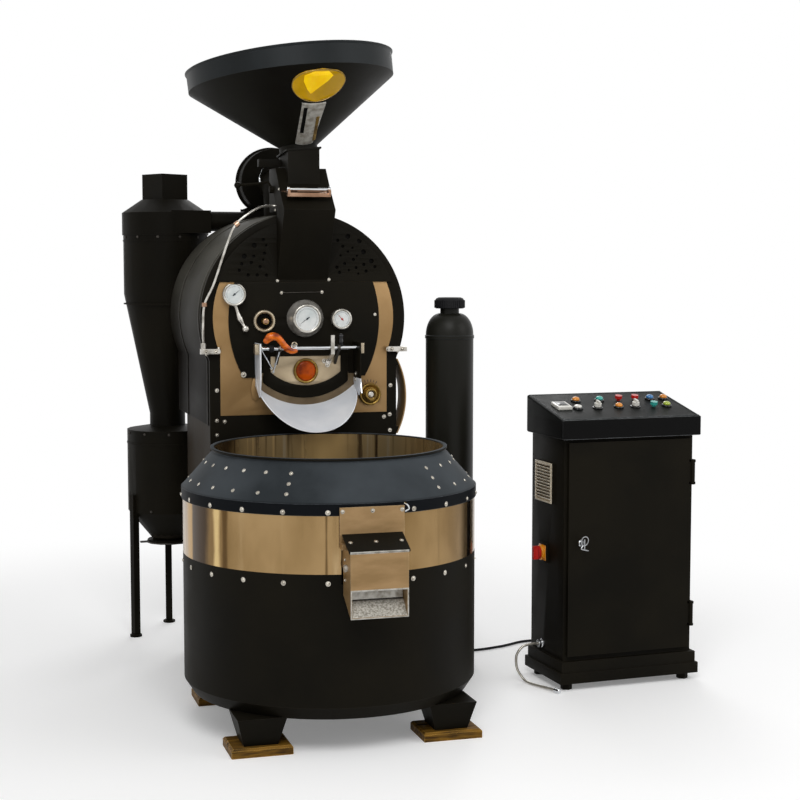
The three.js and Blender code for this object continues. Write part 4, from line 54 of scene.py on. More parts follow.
# Places shared with the solids, and the gap left behind a sheet
PLATE_Y = -260.0
BRONZE_Y = -263.3
FACE_Y = -269.6
DOOR_Y = -278.9
GAP = 0.3
AXIS_Z = 1270.0
ARC_Z = 1225.0
BAR_Y, BAR_Z = -335.0, 1168.0
BIN_X, BIN_Y = -35.0, -750.0
STACK_X, STACK_Y = 548.0, -208.0
CYCLONE_X, CYCLONE_Y = -353.0, 607.0
FAN_X, FAN_Z = 40.0, 1760.0
FAN_FRONT, FAN_BACK = 445.0, 525.0
CABINET_X, CABINET_Y, CABINET_TURN = 786.0, -704.0, math.radians(3)
DESK_FRONT, DESK_RISE = 931.0, math.radians(12.4)
DESK_WIDTH, DESK_DEPTH = 530.0, 300.0
GLAND_Z = 129
CENTRE_GAUGE = (0.0, 1268.0)
SMALL_GAUGE = (128.0, 1265.0)
PRESSURE_GAUGE = (-252.0, 1353.0)
TRIER = (-144.0, 1260.0)
AIR_DIAL = (233.0, 1000.0)
DOOR_GLASS = (0.0, 1087.0)
TOWARD_US = (0, -1, 0)


# --- Nodes -------------------------------------------------------------------------------------

def node(tree, kind, feeds=None, **settings):
    """A new node with its settings; each fed socket takes a wire or a value."""
    made = tree.nodes.new(kind)
    for label, value in settings.items():
        setattr(made, label, value)
    for label, source in (feeds or {}).items():
        if isinstance(source, bpy.types.NodeSocket):
            tree.links.new(source, made.inputs[label])
        else:
            made.inputs[label].default_value = source
    return made


def maths(tree, operation, *sources, clamp=False):
    return node(tree, "ShaderNodeMath", dict(enumerate(sources)), operation=operation,
                use_clamp=clamp).outputs[0]


def ranged(tree, value, ends, smooth=False):
    """The value moved from the first two ends to the others, which are 0 and 1 if not given."""
    feeds = dict(zip(("From Min", "From Max", "To Min", "To Max"), ends))
    return node(tree, "ShaderNodeMapRange", {"Value": value, **feeds},
                interpolation_type="SMOOTHSTEP" if smooth else "LINEAR").outputs[0]


def noise(tree, place, scale, detail=2.0):
    return node(tree, "ShaderNodeTexNoise", {"Vector": place, "Scale": scale, "Detail": detail}).outputs[0]


def object_place(tree):
    return node(tree, "ShaderNodeTexCoord").outputs["Object"]


def seen_rays(tree):
    """One for rays from the camera and for those that a mirror or glass sends on, else zero."""
    rays = node(tree, "ShaderNodeLightPath").outputs
    mirrored = maths(tree, "MAXIMUM", rays["Is Glossy Ray"], rays["Is Transmission Ray"])
    return maths(tree, "MAXIMUM", rays["Is Camera Ray"], mirrored)


# --- Camera, light and stage -------------------------------------------------------------------

WHITE_LIGHT = (1, 1, 1, 1)
SKY_STRENGTH = 0.42
LAMPS = [("key", (-1.0, -4.3, 4.5), (0, -0.3, 1.0), 2.6, 125),
         ("fill", (3.8, -3.0, 2.8), (0.3, -0.3, 0.9), 2.4, 40),
         ("rim", (1.6, 3.6, 3.8), (0, 0, 1.2), 2.0, 50)]
FLOOR_GREY = 0.94
NEAR_GLOW = 0.2
FADE_FROM, FADE_TO = 1.6, 3.0


def linear(code):
    """A finish's colour from its six-digit code, as the shader wants it."""
    parts = [int(code[i:i + 2], 16) / 255 for i in (0, 2, 4)]
    return [p / 12.92 if p <= 0.04045 else ((p + 0.055) / 1.055) ** 2.4 for p in parts] + [1.0]


def held(name, data):
    obj = bpy.data.objects.new(name, data)
    bpy.context.scene.collection.objects.link(obj)
    return obj


def set_camera():
    lens = bpy.data.cameras.new("photo view")
    lens.lens, lens.sensor_width = 72.0, 36.0
    lens.clip_end = 60.0
    camera = held("photo view", lens)
    camera.location = (-1.259, -5.680, 1.450)
    camera.rotation_euler = (math.radians(90 - 4.8), 0, math.radians(-16.5))
    bpy.context.scene.camera = camera


def soft_lamp(name, place, aim, size, watts):
    data = bpy.data.lights.new(name, "AREA")
    data.energy, data.size = watts, size
    lamp = held(name, data)
    lamp.location = place
    lamp.rotation_euler = (Vector(aim) - Vector(place)).to_track_quat("-Z", "Y").to_euler()


def set_studio():
    """White to the camera and in reflections; a dimmer sky and three lamps light the machine."""
    scene = bpy.context.scene
    scene.view_settings.view_transform = "Standard"
    scene.world = bpy.data.worlds.new("white studio")
    scene.world.use_nodes = True
    tree = scene.world.node_tree
    tree.nodes.clear()
    dim, white = [node(tree, "ShaderNodeBackground", {"Color": WHITE_LIGHT, "Strength": power}).outputs[0]
                  for power in (SKY_STRENGTH, 1.0)]
    mix = node(tree, "ShaderNodeMixShader", {"Fac": seen_rays(tree), 1: dim, 2: white})
    node(tree, "ShaderNodeOutputWorld", {"Surface": mix.outputs[0]})
    for lamp in LAMPS:
        soft_lamp(*lamp)


def make_floor():
    """A pale ground that keeps its shadow near the machine and turns white further off.

    Its glow reaches only the camera, mirrors and glass, so it puts no light on the machine."""
    mesh = bpy.data.meshes.new("floor")
    bm = bmesh.new()
    bmesh.ops.create_grid(bm, x_segments=8, y_segments=8, size=30)
    bm.to_mesh(mesh)
    bm.free()
    material = bpy.data.materials.new("pale floor")
    material.use_nodes = True
    tree = material.node_tree
    base = tree.nodes["Principled BSDF"]
    base.inputs["Base Color"].default_value = (FLOOR_GREY, FLOOR_GREY, FLOOR_GREY, 1)
    base.inputs["Roughness"].default_value = 0.6
    base.inputs["Specular IOR Level"].default_value = 0.2
    seen = seen_rays(tree)
    lift = node(tree, "ShaderNodeEmission", {"Strength": maths(tree, "MULTIPLY", seen, NEAR_GLOW)})
    near = node(tree, "ShaderNodeAddShader", {0: base.outputs[0], 1: lift.outputs[0]})
    away = node(tree, "ShaderNodeVectorMath", {0: object_place(tree)}, operation="LENGTH").outputs["Value"]
    fade = maths(tree, "MULTIPLY", ranged(tree, away, (FADE_FROM, FADE_TO), smooth=True), seen)
    white = node(tree, "ShaderNodeEmission").outputs[0]
    mix = node(tree, "ShaderNodeMixShader", {"Fac": fade, 1: near.outputs[0], 2: white})
    tree.links.new(mix.outputs[0], tree.nodes["Material Output"].inputs["Surface"])
    mesh.materials.append(material)
    held("floor", mesh)


# --- Cords -------------------------------------------------------------------------------------

def eased(points, tension, count):
    """Points spaced evenly in parameter on the smooth route through the given points."""
    ends = [2 * points[0] - points[1], *points, 2 * points[-1] - points[-2]]
    made = []
    for i in range(count):
        place = i / (count - 1) * (len(points) - 1)
        k = min(int(place), len(points) - 2)
        t = place - k
        before, a, b, after = ends[k:k + 4]
        leave, arrive = tension * (b - before), tension * (after - a)
        made.append((2 * t ** 3 - 3 * t ** 2 + 1) * a + (t ** 3 - 2 * t ** 2 + t) * leave
                    + (3 * t ** 2 - 2 * t ** 3) * b + (t ** 3 - t ** 2) * arrive)
    return made


def cord_curve(name, route, radius):
    curve = bpy.data.curves.new(name, "CURVE")
    curve.dimensions = "3D"
    curve.bevel_depth, curve.bevel_resolution = radius * MM, 3
    curve.resolution_u = 6
    curve.use_fill_caps = True
    line = curve.splines.new("BEZIER")
    line.bezier_points.add(len(route) - 1)
    for knot, place in zip(line.bezier_points, route):
        knot.co = place * MM
        knot.handle_left_type = knot.handle_right_type = "AUTO"
    obj = bpy.data.objects.new(name, curve)
    bpy.context.scene.collection.objects.link(obj)
    return obj


def cabinet_point(x, y, z):
    c, s = math.cos(CABINET_TURN), math.sin(CABINET_TURN)
    return Vector((CABINET_X + c * x - s * y, CABINET_Y + s * x + c * y, z))


CABLE_ROUTE = [(385, 40, 98), (430, 30, 50), (476, 8, 12), (560, -40, 5.8), (697, -71, 5.8), (820, -40, 5.8),
               (920, 8, 5.8), (1010, 0, 5.8), (1060, -80, 5.8), (1070, -200, 8), (1050, -290, 32),
               (1036, -345, 108)]
CONDUIT_ROUTE = [(-24, 185, GLAND_Z), (-60, 185, 122), (-84, 184, 92), (-82, 182, 46), (-64, 160, 10),
                 (-52, 110, 5.6), (-24, 24, 8.6), (-12, -16, 8.6)]


# --- Shader groups and finishes ----------------------------------------------------------------

def group_tree(kind, name, inputs, outputs):
    """A node group with its sockets; a socket is its label, its kind and perhaps its value."""
    tree = bpy.data.node_groups.new(name, kind)
    for side, sockets in (("INPUT", inputs), ("OUTPUT", outputs)):
        for label, socket_kind, *value in sockets:
            socket = tree.interface.new_socket(name=label, in_out=side,
                                               socket_type="NodeSocket" + socket_kind)
            if value:
                socket.default_value = value[0]
    return tree, tree.nodes.new("NodeGroupInput").outputs, tree.nodes.new("NodeGroupOutput").inputs


def shader_group(name, inputs, outputs=(("Mask", "Float"),)):
    return group_tree("ShaderNodeTree", name, inputs, outputs)


def put_out(tree, out, **results):
    for label, source in results.items():
        tree.links.new(source, out[label])
    return tree


def make_variation_group():
    """Patches of a second colour, and the roughness and fine height that go with them."""
    tree, given, out = shader_group(
        "patchy finish",
        [("Colour", "Color", (0.5, 0.5, 0.5, 1)), ("Second colour", "Color", (0.4, 0.4, 0.4, 1)),
         ("Patch size", "Float", 6.0), ("Patch share", "Float", 0.5), ("Stretch", "Vector", (1, 1, 1)),
         ("Low roughness", "Float", 0.3), ("High roughness", "Float", 0.5), ("Grain size", "Float", 400.0)],
        [("Colour", "Color"), ("Roughness", "Float"), ("Height", "Float")])
    place = node(tree, "ShaderNodeMapping",
                 {"Vector": object_place(tree), "Scale": given["Stretch"]}).outputs[0]
    patches = noise(tree, place, given["Patch size"], 5.0)
    amount = maths(tree, "MULTIPLY", ranged(tree, patches, (0.38, 0.66)), given["Patch share"])
    mix = node(tree, "ShaderNodeMix", {0: amount, 6: given["Colour"], 7: given["Second colour"]},
               data_type="RGBA")
    rough = ranged(tree, patches, (0.3, 0.7, given["Low roughness"], given["High roughness"]))
    return put_out(tree, out, Colour=mix.outputs[2], Roughness=rough,
                   Height=noise(tree, place, given["Grain size"]))


def make_edge_group():
    """A mask that is bright along edges, broken up as worn paint or polish is; the lighter edges are partly
    wear and partly painted highlight.
    """
    tree, given, out = shader_group("edge wear and painted edge highlight", [("Width", "Float", 0.002), ("Strength", "Float", 1.0)])
    soft = node(tree, "ShaderNodeBevel", {"Radius": given["Width"]}, samples=4).outputs[0]
    plain = node(tree, "ShaderNodeNewGeometry").outputs["Normal"]
    turn = node(tree, "ShaderNodeVectorMath", {0: soft, 1: plain}, operation="DOT_PRODUCT").outputs["Value"]
    broken = maths(tree, "MULTIPLY", ranged(tree, turn, (0.995, 0.9)), noise(tree, object_place(tree), 38.0))
    return put_out(tree, out, Mask=maths(tree, "MULTIPLY", broken, given["Strength"], clamp=True))


def round_drum(tree, given):
    """The parts of a place measured from a standing drum's centre, and its angle round the drum."""
    place = node(tree, "ShaderNodeVectorMath", {0: object_place(tree), 1: given["Centre"]},
                 operation="SUBTRACT")
    parts = node(tree, "ShaderNodeSeparateXYZ", {0: place.outputs[0]}).outputs
    return parts, maths(tree, "ARCTAN2", parts["Y"], parts["X"])


def make_streak_group():
    """Upright streaks round a standing drum: painted reflections, as polished sheet shows them."""
    tree, given, out = shader_group(
        "painted reflection streaks",
        [("Centre", "Vector", (0, 0, 0)), ("Count", "Float", 8.0), ("Upright", "Float", 0.4),
         ("Start", "Float", 0.45), ("End", "Float", 0.7)])
    parts, angle = round_drum(tree, given)
    sheet = node(tree, "ShaderNodeCombineXYZ", {"X": maths(tree, "MULTIPLY", angle, given["Count"]),
                                                "Y": maths(tree, "MULTIPLY", parts["Z"], given["Upright"])})
    streaks = noise(tree, sheet.outputs[0], 1.0, 4.0)
    return put_out(tree, out, Mask=ranged(tree, streaks, (given["Start"], given["End"]), smooth=True))


def make_band_group():
    """One upright stripe at an angle round a standing drum, with a broken edge."""
    tree, given, out = shader_group(
        "upright stripe",
        [("Centre", "Vector", (0, 0, 0)), ("Angle", "Float", 0.0), ("Half width", "Float", 4.0),
         ("Softness", "Float", 2.0)])
    angle = maths(tree, "DEGREES", round_drum(tree, given)[1])
    away = maths(tree, "ABSOLUTE", maths(tree, "SUBTRACT", angle, given["Angle"]))
    frayed = maths(tree, "MULTIPLY_ADD", noise(tree, object_place(tree), 9.0, 4.0), given["Softness"], away)
    outer = maths(tree, "ADD", given["Half width"], given["Softness"])
    return put_out(tree, out, Mask=ranged(tree, frayed, (given["Half width"], outer, 1.0, 0.0), smooth=True))


def make_height_group():
    """A mask that rises from 0 at one height to 1 at another."""
    tree, given, out = shader_group("rising shade", [("Low", "Float", 0.0), ("High", "Float", 1.0)])
    height = node(tree, "ShaderNodeSeparateXYZ", {0: object_place(tree)}).outputs["Z"]
    return put_out(tree, out, Mask=ranged(tree, height, (given["Low"], given["High"]), smooth=True))


PATCHY = make_variation_group()
EDGES = make_edge_group()
STREAKED = make_streak_group()
BANDED = make_band_group()
RISING = make_height_group()


def use_group(tree, group, **values):
    return node(tree, "ShaderNodeGroup", {label.replace("_", " "): value for label, value in values.items()},
                node_tree=group).outputs


def blend_colour(tree, mask, base, colour):
    return node(tree, "ShaderNodeMix", {0: mask, 6: base, 7: linear(colour)}, data_type="RGBA").outputs[2]


def finish(name, colour, second, roughness, metallic=0.0, patch=(5.0, 0.5), stretch=(1, 1, 1),
           grain=(500.0, 0.05), edge=None, streaks=(), specular=0.5, **shader):
    """A finish from its colours, its low and high roughness, its patches, grain, worn edges and streaks; the
    edges are partly painted highlight, and the streaks paint reflections and shade.
    """
    material = bpy.data.materials.new(name)
    material.use_nodes = True
    tree = material.node_tree
    base = tree.nodes["Principled BSDF"]
    for label, value in {"Metallic": metallic, "Specular IOR Level": specular, **shader}.items():
        base.inputs[label.replace("_", " ")].default_value = value
    varied = use_group(tree, PATCHY, Colour=linear(colour), Second_colour=linear(second), Patch_size=patch[0],
                       Patch_share=patch[1], Stretch=stretch, Low_roughness=roughness[0],
                       High_roughness=roughness[1], Grain_size=grain[0])
    tint = varied["Colour"]
    for kind, values, streak_colour in streaks:
        tint = blend_colour(tree, use_group(tree, kind, **values)["Mask"], tint, streak_colour)
    if edge:
        tint = blend_colour(tree, use_group(tree, EDGES, Width=edge[1], Strength=edge[2])["Mask"], tint,
                            edge[0])
    bump = node(tree, "ShaderNodeBump", {"Strength": grain[1], "Distance": 0.001, "Height": varied["Height"]})
    for label, source in (("Base Color", tint), ("Roughness", varied["Roughness"]),
                          ("Normal", bump.outputs[0])):
        tree.links.new(source, base.inputs[label])
    return material


BIN_CENTRE = (BIN_X * MM, BIN_Y * MM, 0)


# One painted reflection or painted shade of a finish: its group, the group's values and its colour
def rising(low, high, colour):
    return RISING, dict(Low=low, High=high), colour


def bin_streaks(count, upright, start, end, colour):
    return STREAKED, dict(Centre=BIN_CENTRE, Count=count, Upright=upright, Start=start, End=end), colour


def bin_stripe(angle, half_width, softness, colour):
    return BANDED, dict(Centre=BIN_CENTRE, Angle=angle, Half_width=half_width, Softness=softness), colour


BLACK = finish("black powder coat", "110f0a", "1a1710", (0.42, 0.6), patch=(4, 0.7), grain=(900, 0.12),
               edge=("36312a", 0.0014, 0.9), specular=0.05)
BROWN_BLACK = finish("sooty black paint", "1c150b", "2b2113", (0.36, 0.56), patch=(5, 0.7),
                     stretch=(1, 1, 0.4), grain=(700, 0.1), edge=("4a3f30", 0.0014, 0.9), specular=0.04)
# Painted shade: the cone's upright collar below 757 mm is darkened.
BLUE_BLACK = finish("blue black paint", "2d3134", "484d51", (0.4, 0.56), patch=(3, 0.9), grain=(700, 0.14),
                    edge=("7a8086", 0.0018, 1.0), specular=0.03,
                    streaks=[rising(0.764, 0.757, "121417")])
HOPPER_BLACK = finish("hopper paint", "0e0c08", "17160f", (0.38, 0.56), patch=(5, 0.7), grain=(800, 0.12),
                      edge=("3a3a38", 0.0016, 1.0), specular=0.07)
BAND_BLACK = finish("hopper band paint", "171a1b", "24282a", (0.36, 0.52), patch=(6, 0.7),
                    stretch=(1, 1, 0.4), grain=(800, 0.12), edge=("50565a", 0.0016, 1.0), specular=0.14)
STACK_BLACK = finish("stack paint", "14130e", "24241f", (0.32, 0.46), patch=(4, 0.7), stretch=(1, 1, 0.3),
                     grain=(800, 0.1), edge=("50565a", 0.0016, 1.0), specular=0.14)
# Painted light: the lighter edge colour is a painted highlight along the desk's border, and the front face
# below 924 mm is darkened as painted shade.
DESK_BLACK = finish("desk top paint", "131413", "1f2120", (0.34, 0.5), patch=(7, 0.8), grain=(900, 0.16),
                    edge=("85888a", 0.003, 1.4), specular=0.03,
                    streaks=[rising(0.932, 0.924, "121212")])
# Painted light: the pale base and patches paint the highlight on the upper jacket, and the darkening from 1.5
# m down to 1.1 m is painted shade.
JACKET_BLACK = finish("black paint with painted highlight and shade", "3a3832", "57554d", (0.36, 0.54), patch=(4, 0.9),
                      stretch=(1, 0.3, 1), grain=(700, 0.1), edge=("6a665e", 0.002, 1.0), specular=0.04,
                      streaks=[rising(1.5, 1.1, "0c0804")])
BRONZE = finish("satin bronze", "a28155", "8e6f43", (0.34, 0.48), 0.5, patch=(7, 0.8), grain=(1200, 0.08),
                edge=("cdb083", 0.0012, 1.0))
DOOR_BRONZE = finish("lighter bronze", "c6b394", "ac987a", (0.32, 0.46), 0.5, patch=(12, 0.7),
                     grain=(1200, 0.06), edge=("dccbab", 0.0012, 1.0))
OUTLET_BRONZE = finish("brushed outlet bronze", "a08158", "866a42", (0.34, 0.5), 0.5, patch=(9, 0.8),
                       stretch=(1, 1, 3), grain=(900, 0.14), edge=("d2c0a0", 0.0014, 1.2))
# The streaks and stripes on the polished band are painted reflections of its surroundings.
BAND_BRONZE = finish(
    "polished bronze sheet", "a4875d", "7c6138", (0.12, 0.26), 0.85, patch=(5, 0.9), stretch=(1, 1, 0.45),
    grain=(300, 0.03),
    streaks=[bin_streaks(9.0, 0.8, 0.6, 0.74, "6b5330"),
             bin_streaks(24.0, 0.5, 0.66, 0.78, "54401f"),
             bin_streaks(6.0, 1.4, 0.58, 0.8, "c2a87f"),
             bin_stripe(-163.0, 7.0, 5.0, "3a2811"),
             bin_stripe(-171.0, 2.6, 2.0, "b08b4e"),
             bin_stripe(-150.5, 1.6, 2.0, "d6b981"),
             bin_stripe(-146.0, 1.4, 1.6, "5c4423"),
             bin_stripe(-105.0, 0.4, 0.8, "6a5230"),
             bin_stripe(-35.1, 2.4, 0.4, "221810")])
# Painted light: the streaks are painted reflections, the wide dark stripe at 158 degrees is painted shade on
# the left inner wall and the light stripe at 78 degrees is painted light on the far wall.
LINER_BRONZE = finish(
    "inside of the bin with painted reflections and shade", "a48e66", "745d38", (0.16, 0.34), 0.7, patch=(6, 0.7), stretch=(1, 1, 0.2),
    grain=(300, 0.04),
    streaks=[bin_streaks(12.0, 1.2, 0.52, 0.64, "44341f"),
             bin_streaks(17.0, 0.7, 0.6, 0.7, "b59a6a"),
             bin_streaks(7.0, 0.9, 0.58, 0.75, "b8b09c"),
             bin_stripe(158.0, 24.0, 20.0, "2a1d0d"),
             bin_stripe(78.0, 12.0, 16.0, "b89a66")])
STEEL = finish("brushed stainless", "a9abad", "8b8d90", (0.22, 0.4), 0.9, patch=(8, 0.6), stretch=(1, 1, 6),
               grain=(240, 0.06), edge=("dcdddf", 0.001, 1.0))
SCOOP_STEEL = finish("bright scoop sheet", "eef1f6", "ccd2da", (0.3, 0.46), 0.15, patch=(4, 0.9),
                     grain=(260, 0.05), edge=("ffffff", 0.0025, 1.6))
# A darker copy of bronze: painted shade on the scoop's lip.
LIP_BRONZE = finish("shaded bronze", "7c6a50", "5c4c36", (0.34, 0.5), 0.5, patch=(12, 0.8), grain=(900, 0.08),
                    edge=("a89878", 0.0012, 1.0))
SCREW_STEEL = finish("dull screw heads", "c9c3b7", "857e72", (0.14, 0.3), 0.85, patch=(50, 0.9),
                     grain=(300, 0.04), edge=("eeeae2", 0.0008, 1.0))
SPECKLED_STEEL = finish("bean-scoured steel", "b9b6ae", "827c70", (0.3, 0.5), 0.4, patch=(60, 0.9),
                        grain=(300, 0.2), edge=("e6e4de", 0.0014, 1.2))
PALE_STEEL = finish("scoured outlet floor", "c2beb4", "7c766a", (0.4, 0.6), 0.05, patch=(190, 1.0),
                    grain=(420, 0.3), edge=("f4f2ee", 0.0014, 1.2), specular=0.3)
DARK_STEEL = finish("heat-darkened steel", "45413c", "33302c", (0.4, 0.62), 0.8, patch=(7, 0.7),
                    grain=(300, 0.1))
IRON = finish("grey cast iron", "3a3937", "2c2b2a", (0.5, 0.7), 0.4, patch=(10, 0.6), grain=(350, 0.35))
CHROME = finish("bright chrome", "d9dbdd", "b9bcc0", (0.05, 0.14), 1.0, patch=(30, 0.4), grain=(200, 0.01))
SATIN_CHROME = finish("satin chrome", "d6d2ca", "8d887e", (0.12, 0.28), 0.65, patch=(34, 0.9),
                      grain=(260, 0.03), edge=("f6f5f0", 0.001, 1.2))
NICKEL = finish("dull nickel", "b8aa92", "8e8270", (0.2, 0.36), 0.8, patch=(40, 0.6), grain=(300, 0.05))
BRASS = finish("aged brass", "9a7c3c", "4e3a1a", (0.2, 0.4), 0.8, patch=(30, 0.9), grain=(300, 0.06),
               edge=("cdb070", 0.001, 1.2))
COPPER = finish("warm polished bar", "b08e76", "74523c", (0.1, 0.24), 0.9, patch=(14, 0.8), grain=(300, 0.03))
# The faint emission is a painted glow in the amber glass.
AMBER_GLASS = finish("amber glass", "ac460a", "5a1c04", (0.12, 0.24), patch=(30, 1.0), grain=(90, 0.02),
                     specular=0.12, Emission_Strength=0.08, Emission_Color=linear("c04c08"))
# The faint emission and the light orange edges paint a glow and highlights on the grip.
AMBER_GRIP = finish("amber grip", "ea7214", "7c2c08", (0.1, 0.2), patch=(26, 1.0), stretch=(1, 1, 2.4),
                    grain=(60, 0.02), edge=("ee9030", 0.002, 0.7), specular=0.3, Emission_Strength=0.04,
                    Emission_Color=linear("c85a10"))
# The emission is a painted glow in the yellow window.
YELLOW_GLASS = finish("yellow window", "a8820c", "d2a010", (0.08, 0.16), patch=(9, 1.0), grain=(40, 0.03),
                      specular=0.25, Emission_Strength=0.12, Emission_Color=linear("c89a10"))
# A glowing yellow for the shape seen in the hopper window, a painted reflection with a painted glow.
BRIGHT_YELLOW = finish("painted reflection in the window", "f6cb10", "d49c06", (0.1, 0.2), patch=(12, 1.0),
                       grain=(40, 0.02), specular=0.2, Emission_Strength=0.25,
                       Emission_Color=linear("ffd010"))
RUBBER = finish("black rubber", "131315", "1c1c1f", (0.6, 0.8), patch=(20, 0.5), grain=(500, 0.2),
                specular=0.2)
GLOSS_BLACK = finish("glossy black knob", "0a0a0b", "151517", (0.08, 0.18), patch=(20, 0.5),
                     grain=(300, 0.02), specular=0.4)
WOOD = finish("oiled wood", "805c1e", "33220c", (0.45, 0.65), patch=(11, 1.0), stretch=(1.2, 9, 9),
              grain=(120, 0.3), edge=("caa04e", 0.0026, 1.5), specular=0.12)
DIAL_WHITE = finish("dial face", "e4e6e4", "c4cccb", (0.22, 0.3), patch=(24, 0.8), grain=(300, 0.01))
DIAL_INK = finish("dial ink", "22282c", "39424a", (0.4, 0.5), patch=(40, 0.5), specular=0.2)
NEEDLE_RED = finish("red needle", "b3261c", "8e1a14", (0.3, 0.4), patch=(40, 0.5))
# A near-black sheet set behind holes, slots and hollows as painted shade.
PAINTED_SHADE = finish("painted shade in openings", "070605", "0f0d0a", (0.6, 0.8), patch=(20, 0.5), specular=0.05)


def plastic(name, colour, second):
    return finish(name, colour, second, (0.22, 0.36), patch=(50, 0.5), grain=(500, 0.04), Coat_Weight=0.4)


RED = plastic("red plastic", "cc2018", "9c120c")
TEAL = plastic("teal plastic", "38b0a4", "1f8a80")
WHITE = plastic("white plastic", "e9e7df", "cfccc2")
ORANGE = plastic("orange plastic", "e8920e", "b86a06")
BLUE = plastic("blue plastic", "1c78b8", "125a90")
GREEN = plastic("yellow-green plastic", "a8bc2a", "7e9018")
VENT_METAL = finish("vent slats", "e0d4be", "bcae94", (0.3, 0.46), 0.08, patch=(20, 0.7), stretch=(1, 1, 5),
                    grain=(400, 0.08), edge=("e2dccd", 0.001, 1.2))
CONDUIT_METAL = finish("ribbed conduit", "b7b2a8", "8f8a80", (0.22, 0.4), 0.85, patch=(30, 0.6),
                       grain=(420, 0.5))

NODE_FINISH = {
    BLACK: ["front_plate", "rear_plate", "damper_lever", "bin_skirt", "cooling_blower", "cyclone",
            "chaff_bin", "cabinet_door"],
    JACKET_BLACK: ["barrel_jacket"],
    STEEL: ["cooling_screen", "stirrer", "fan_impeller", "door_key"],
    SPECKLED_STEEL: ["outlet_flap"],
    DARK_STEEL: ["drum", "burner", "chaff_gate"],
    IRON: ["motor_pulley", "drum_motor", "stirrer_drive"],
    SATIN_CHROME: ["gauge_tube", "door_latch"],
    RUBBER: ["drive_belt"],
    OUTLET_BRONZE: ["outlet_box"],
    BRASS: ["sampling_trier"],
    WOOD: ["foot_pad_front_left", "foot_pad_front_right", "foot_pad_rear_left", "foot_pad_rear_right"],
    RED: ["main_switch", "stop_button_left", "stop_button_right"],
    TEAL: ["start_button"],
    WHITE: ["selector_left", "selector_right"],
    COPPER: ["feed_gate"],
}
ROUNDED = [("pedestal", 1.5, BROWN_BLACK), ("feed_chute", 2.0, BLACK), ("exhaust_fan", 1.5, BLACK),
           ("cabinet_body", 2.5, BLACK)]


# --- Making pieces -----------------------------------------------------------------------------

CREASE = math.radians(34)


def settle(mesh, crease=CREASE):
    """Merges doubles, turns faces outwards and keeps edges over the crease angle sharp."""
    bm = bmesh.new()
    bm.from_mesh(mesh)
    bmesh.ops.remove_doubles(bm, verts=bm.verts, dist=1e-6)
    bmesh.ops.recalc_face_normals(bm, faces=bm.faces)
    for face in bm.faces:
        face.smooth = True
    for edge in bm.edges:
        edge.smooth = len(edge.link_faces) == 2 and edge.calc_face_angle(0) < crease
    bm.to_mesh(mesh)
    bm.free()


def mesh_of(form, name="part"):
    mesh = bpy.data.meshes.new(name)
    form.to_mesh(mesh)
    form.free()
    return mesh


def form_of(mesh):
    form = bmesh.new()
    form.from_mesh(mesh)
    bpy.data.meshes.remove(mesh)
    return form


def modified(obj):
    """The mesh that an object's modifiers make."""
    bpy.context.view_layer.update()
    return bpy.data.meshes.new_from_object(obj.evaluated_get(bpy.context.evaluated_depsgraph_get()))


def outward(form):
    bmesh.ops.recalc_face_normals(form, faces=form.faces)
    return form


def round_angles(count, ends=False):
    """Angles spaced evenly round a circle; with ends the first is there again as the last."""
    return [2 * math.pi * i / count for i in range(count + ends)]


USUAL_SLOT = {material: label for label, materials in {
    "black_powder_coat": (BLACK, JACKET_BLACK, HOPPER_BLACK, STACK_BLACK, DESK_BLACK),
    "blue_black_paint": (BLUE_BLACK, BAND_BLACK),
    "satin_bronze": (BRONZE, DOOR_BRONZE, LIP_BRONZE, BRASS, COPPER),
    "mirror_bronze": (BAND_BRONZE, LINER_BRONZE),
    "stainless": (SCOOP_STEEL, SPECKLED_STEEL, PALE_STEEL, NICKEL, VENT_METAL),
    "bright_chrome": (CHROME, SATIN_CHROME, STEEL),
    "dark_steel": (DARK_STEEL,), "yellow_glass": (YELLOW_GLASS,), "amber_glass": (AMBER_GLASS,),
    "amber_grip": (AMBER_GRIP, ORANGE), "white_plastic": (WHITE, DIAL_WHITE),
    "black_rubber": (RUBBER, GLOSS_BLACK),
}.items() for material in materials}


def add(name, form, material, body=HOUSING, slot="usual", instead_of=(), crease=34):
    """Sets one finished form down in metres as a piece that rides on a body."""
    if slot == "usual":
        slot = USUAL_SLOT.get(material)
    mesh = mesh_of(form, name)
    mesh.transform(Matrix.Scale(MM, 4))
    settle(mesh, math.radians(crease))
    mesh.materials.append(material)
    return ready(held(name, mesh), body, instead_of)


def ready(obj, body, instead_of=()):
    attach(obj, body)
    if instead_of:
        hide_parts(*instead_of)
    return obj


def moved(form, *matrices):
    for matrix in matrices:
        form.transform(matrix)
    return form


def at(x, y, z):
    return Matrix.Translation((x, y, z))


def gather(*forms):
    whole = bmesh.new()
    for form in forms:
        mesh = mesh_of(form)
        whole.from_mesh(mesh)
        bpy.data.meshes.remove(mesh)
    return whole


def turned(profile, sides=FINE, closed=True):
    """A form turned about +Z from radius and height pairs."""
    bm = bmesh.new()
    rings = []
    for r, z in profile:
        around = [(0, 0)] if r < 1e-6 else [(r * math.cos(a), r * math.sin(a)) for a in round_angles(sides)]
        rings.append([bm.verts.new((x, y, z)) for x, y in around])
    for low, high in zip(rings, rings[1:] + (rings[:1] if closed else [])):
        if len(low) == len(high) == 1:
            continue
        for i in range(sides):
            j = (i + 1) % sides
            if len(low) == 1:
                bm.faces.new((low[0], high[i], high[j]))
            elif len(high) == 1:
                bm.faces.new((low[i], high[0], low[j]))
            else:
                bm.faces.new((low[i], high[i], high[j], low[j]))
    return outward(bm)


def sleeve(inner, outer, low, high):
    """The profile of a plain ring, or of a rod where the inner radius is 0."""
    return [(inner, low), (outer, low), (outer, high), (inner, high)]


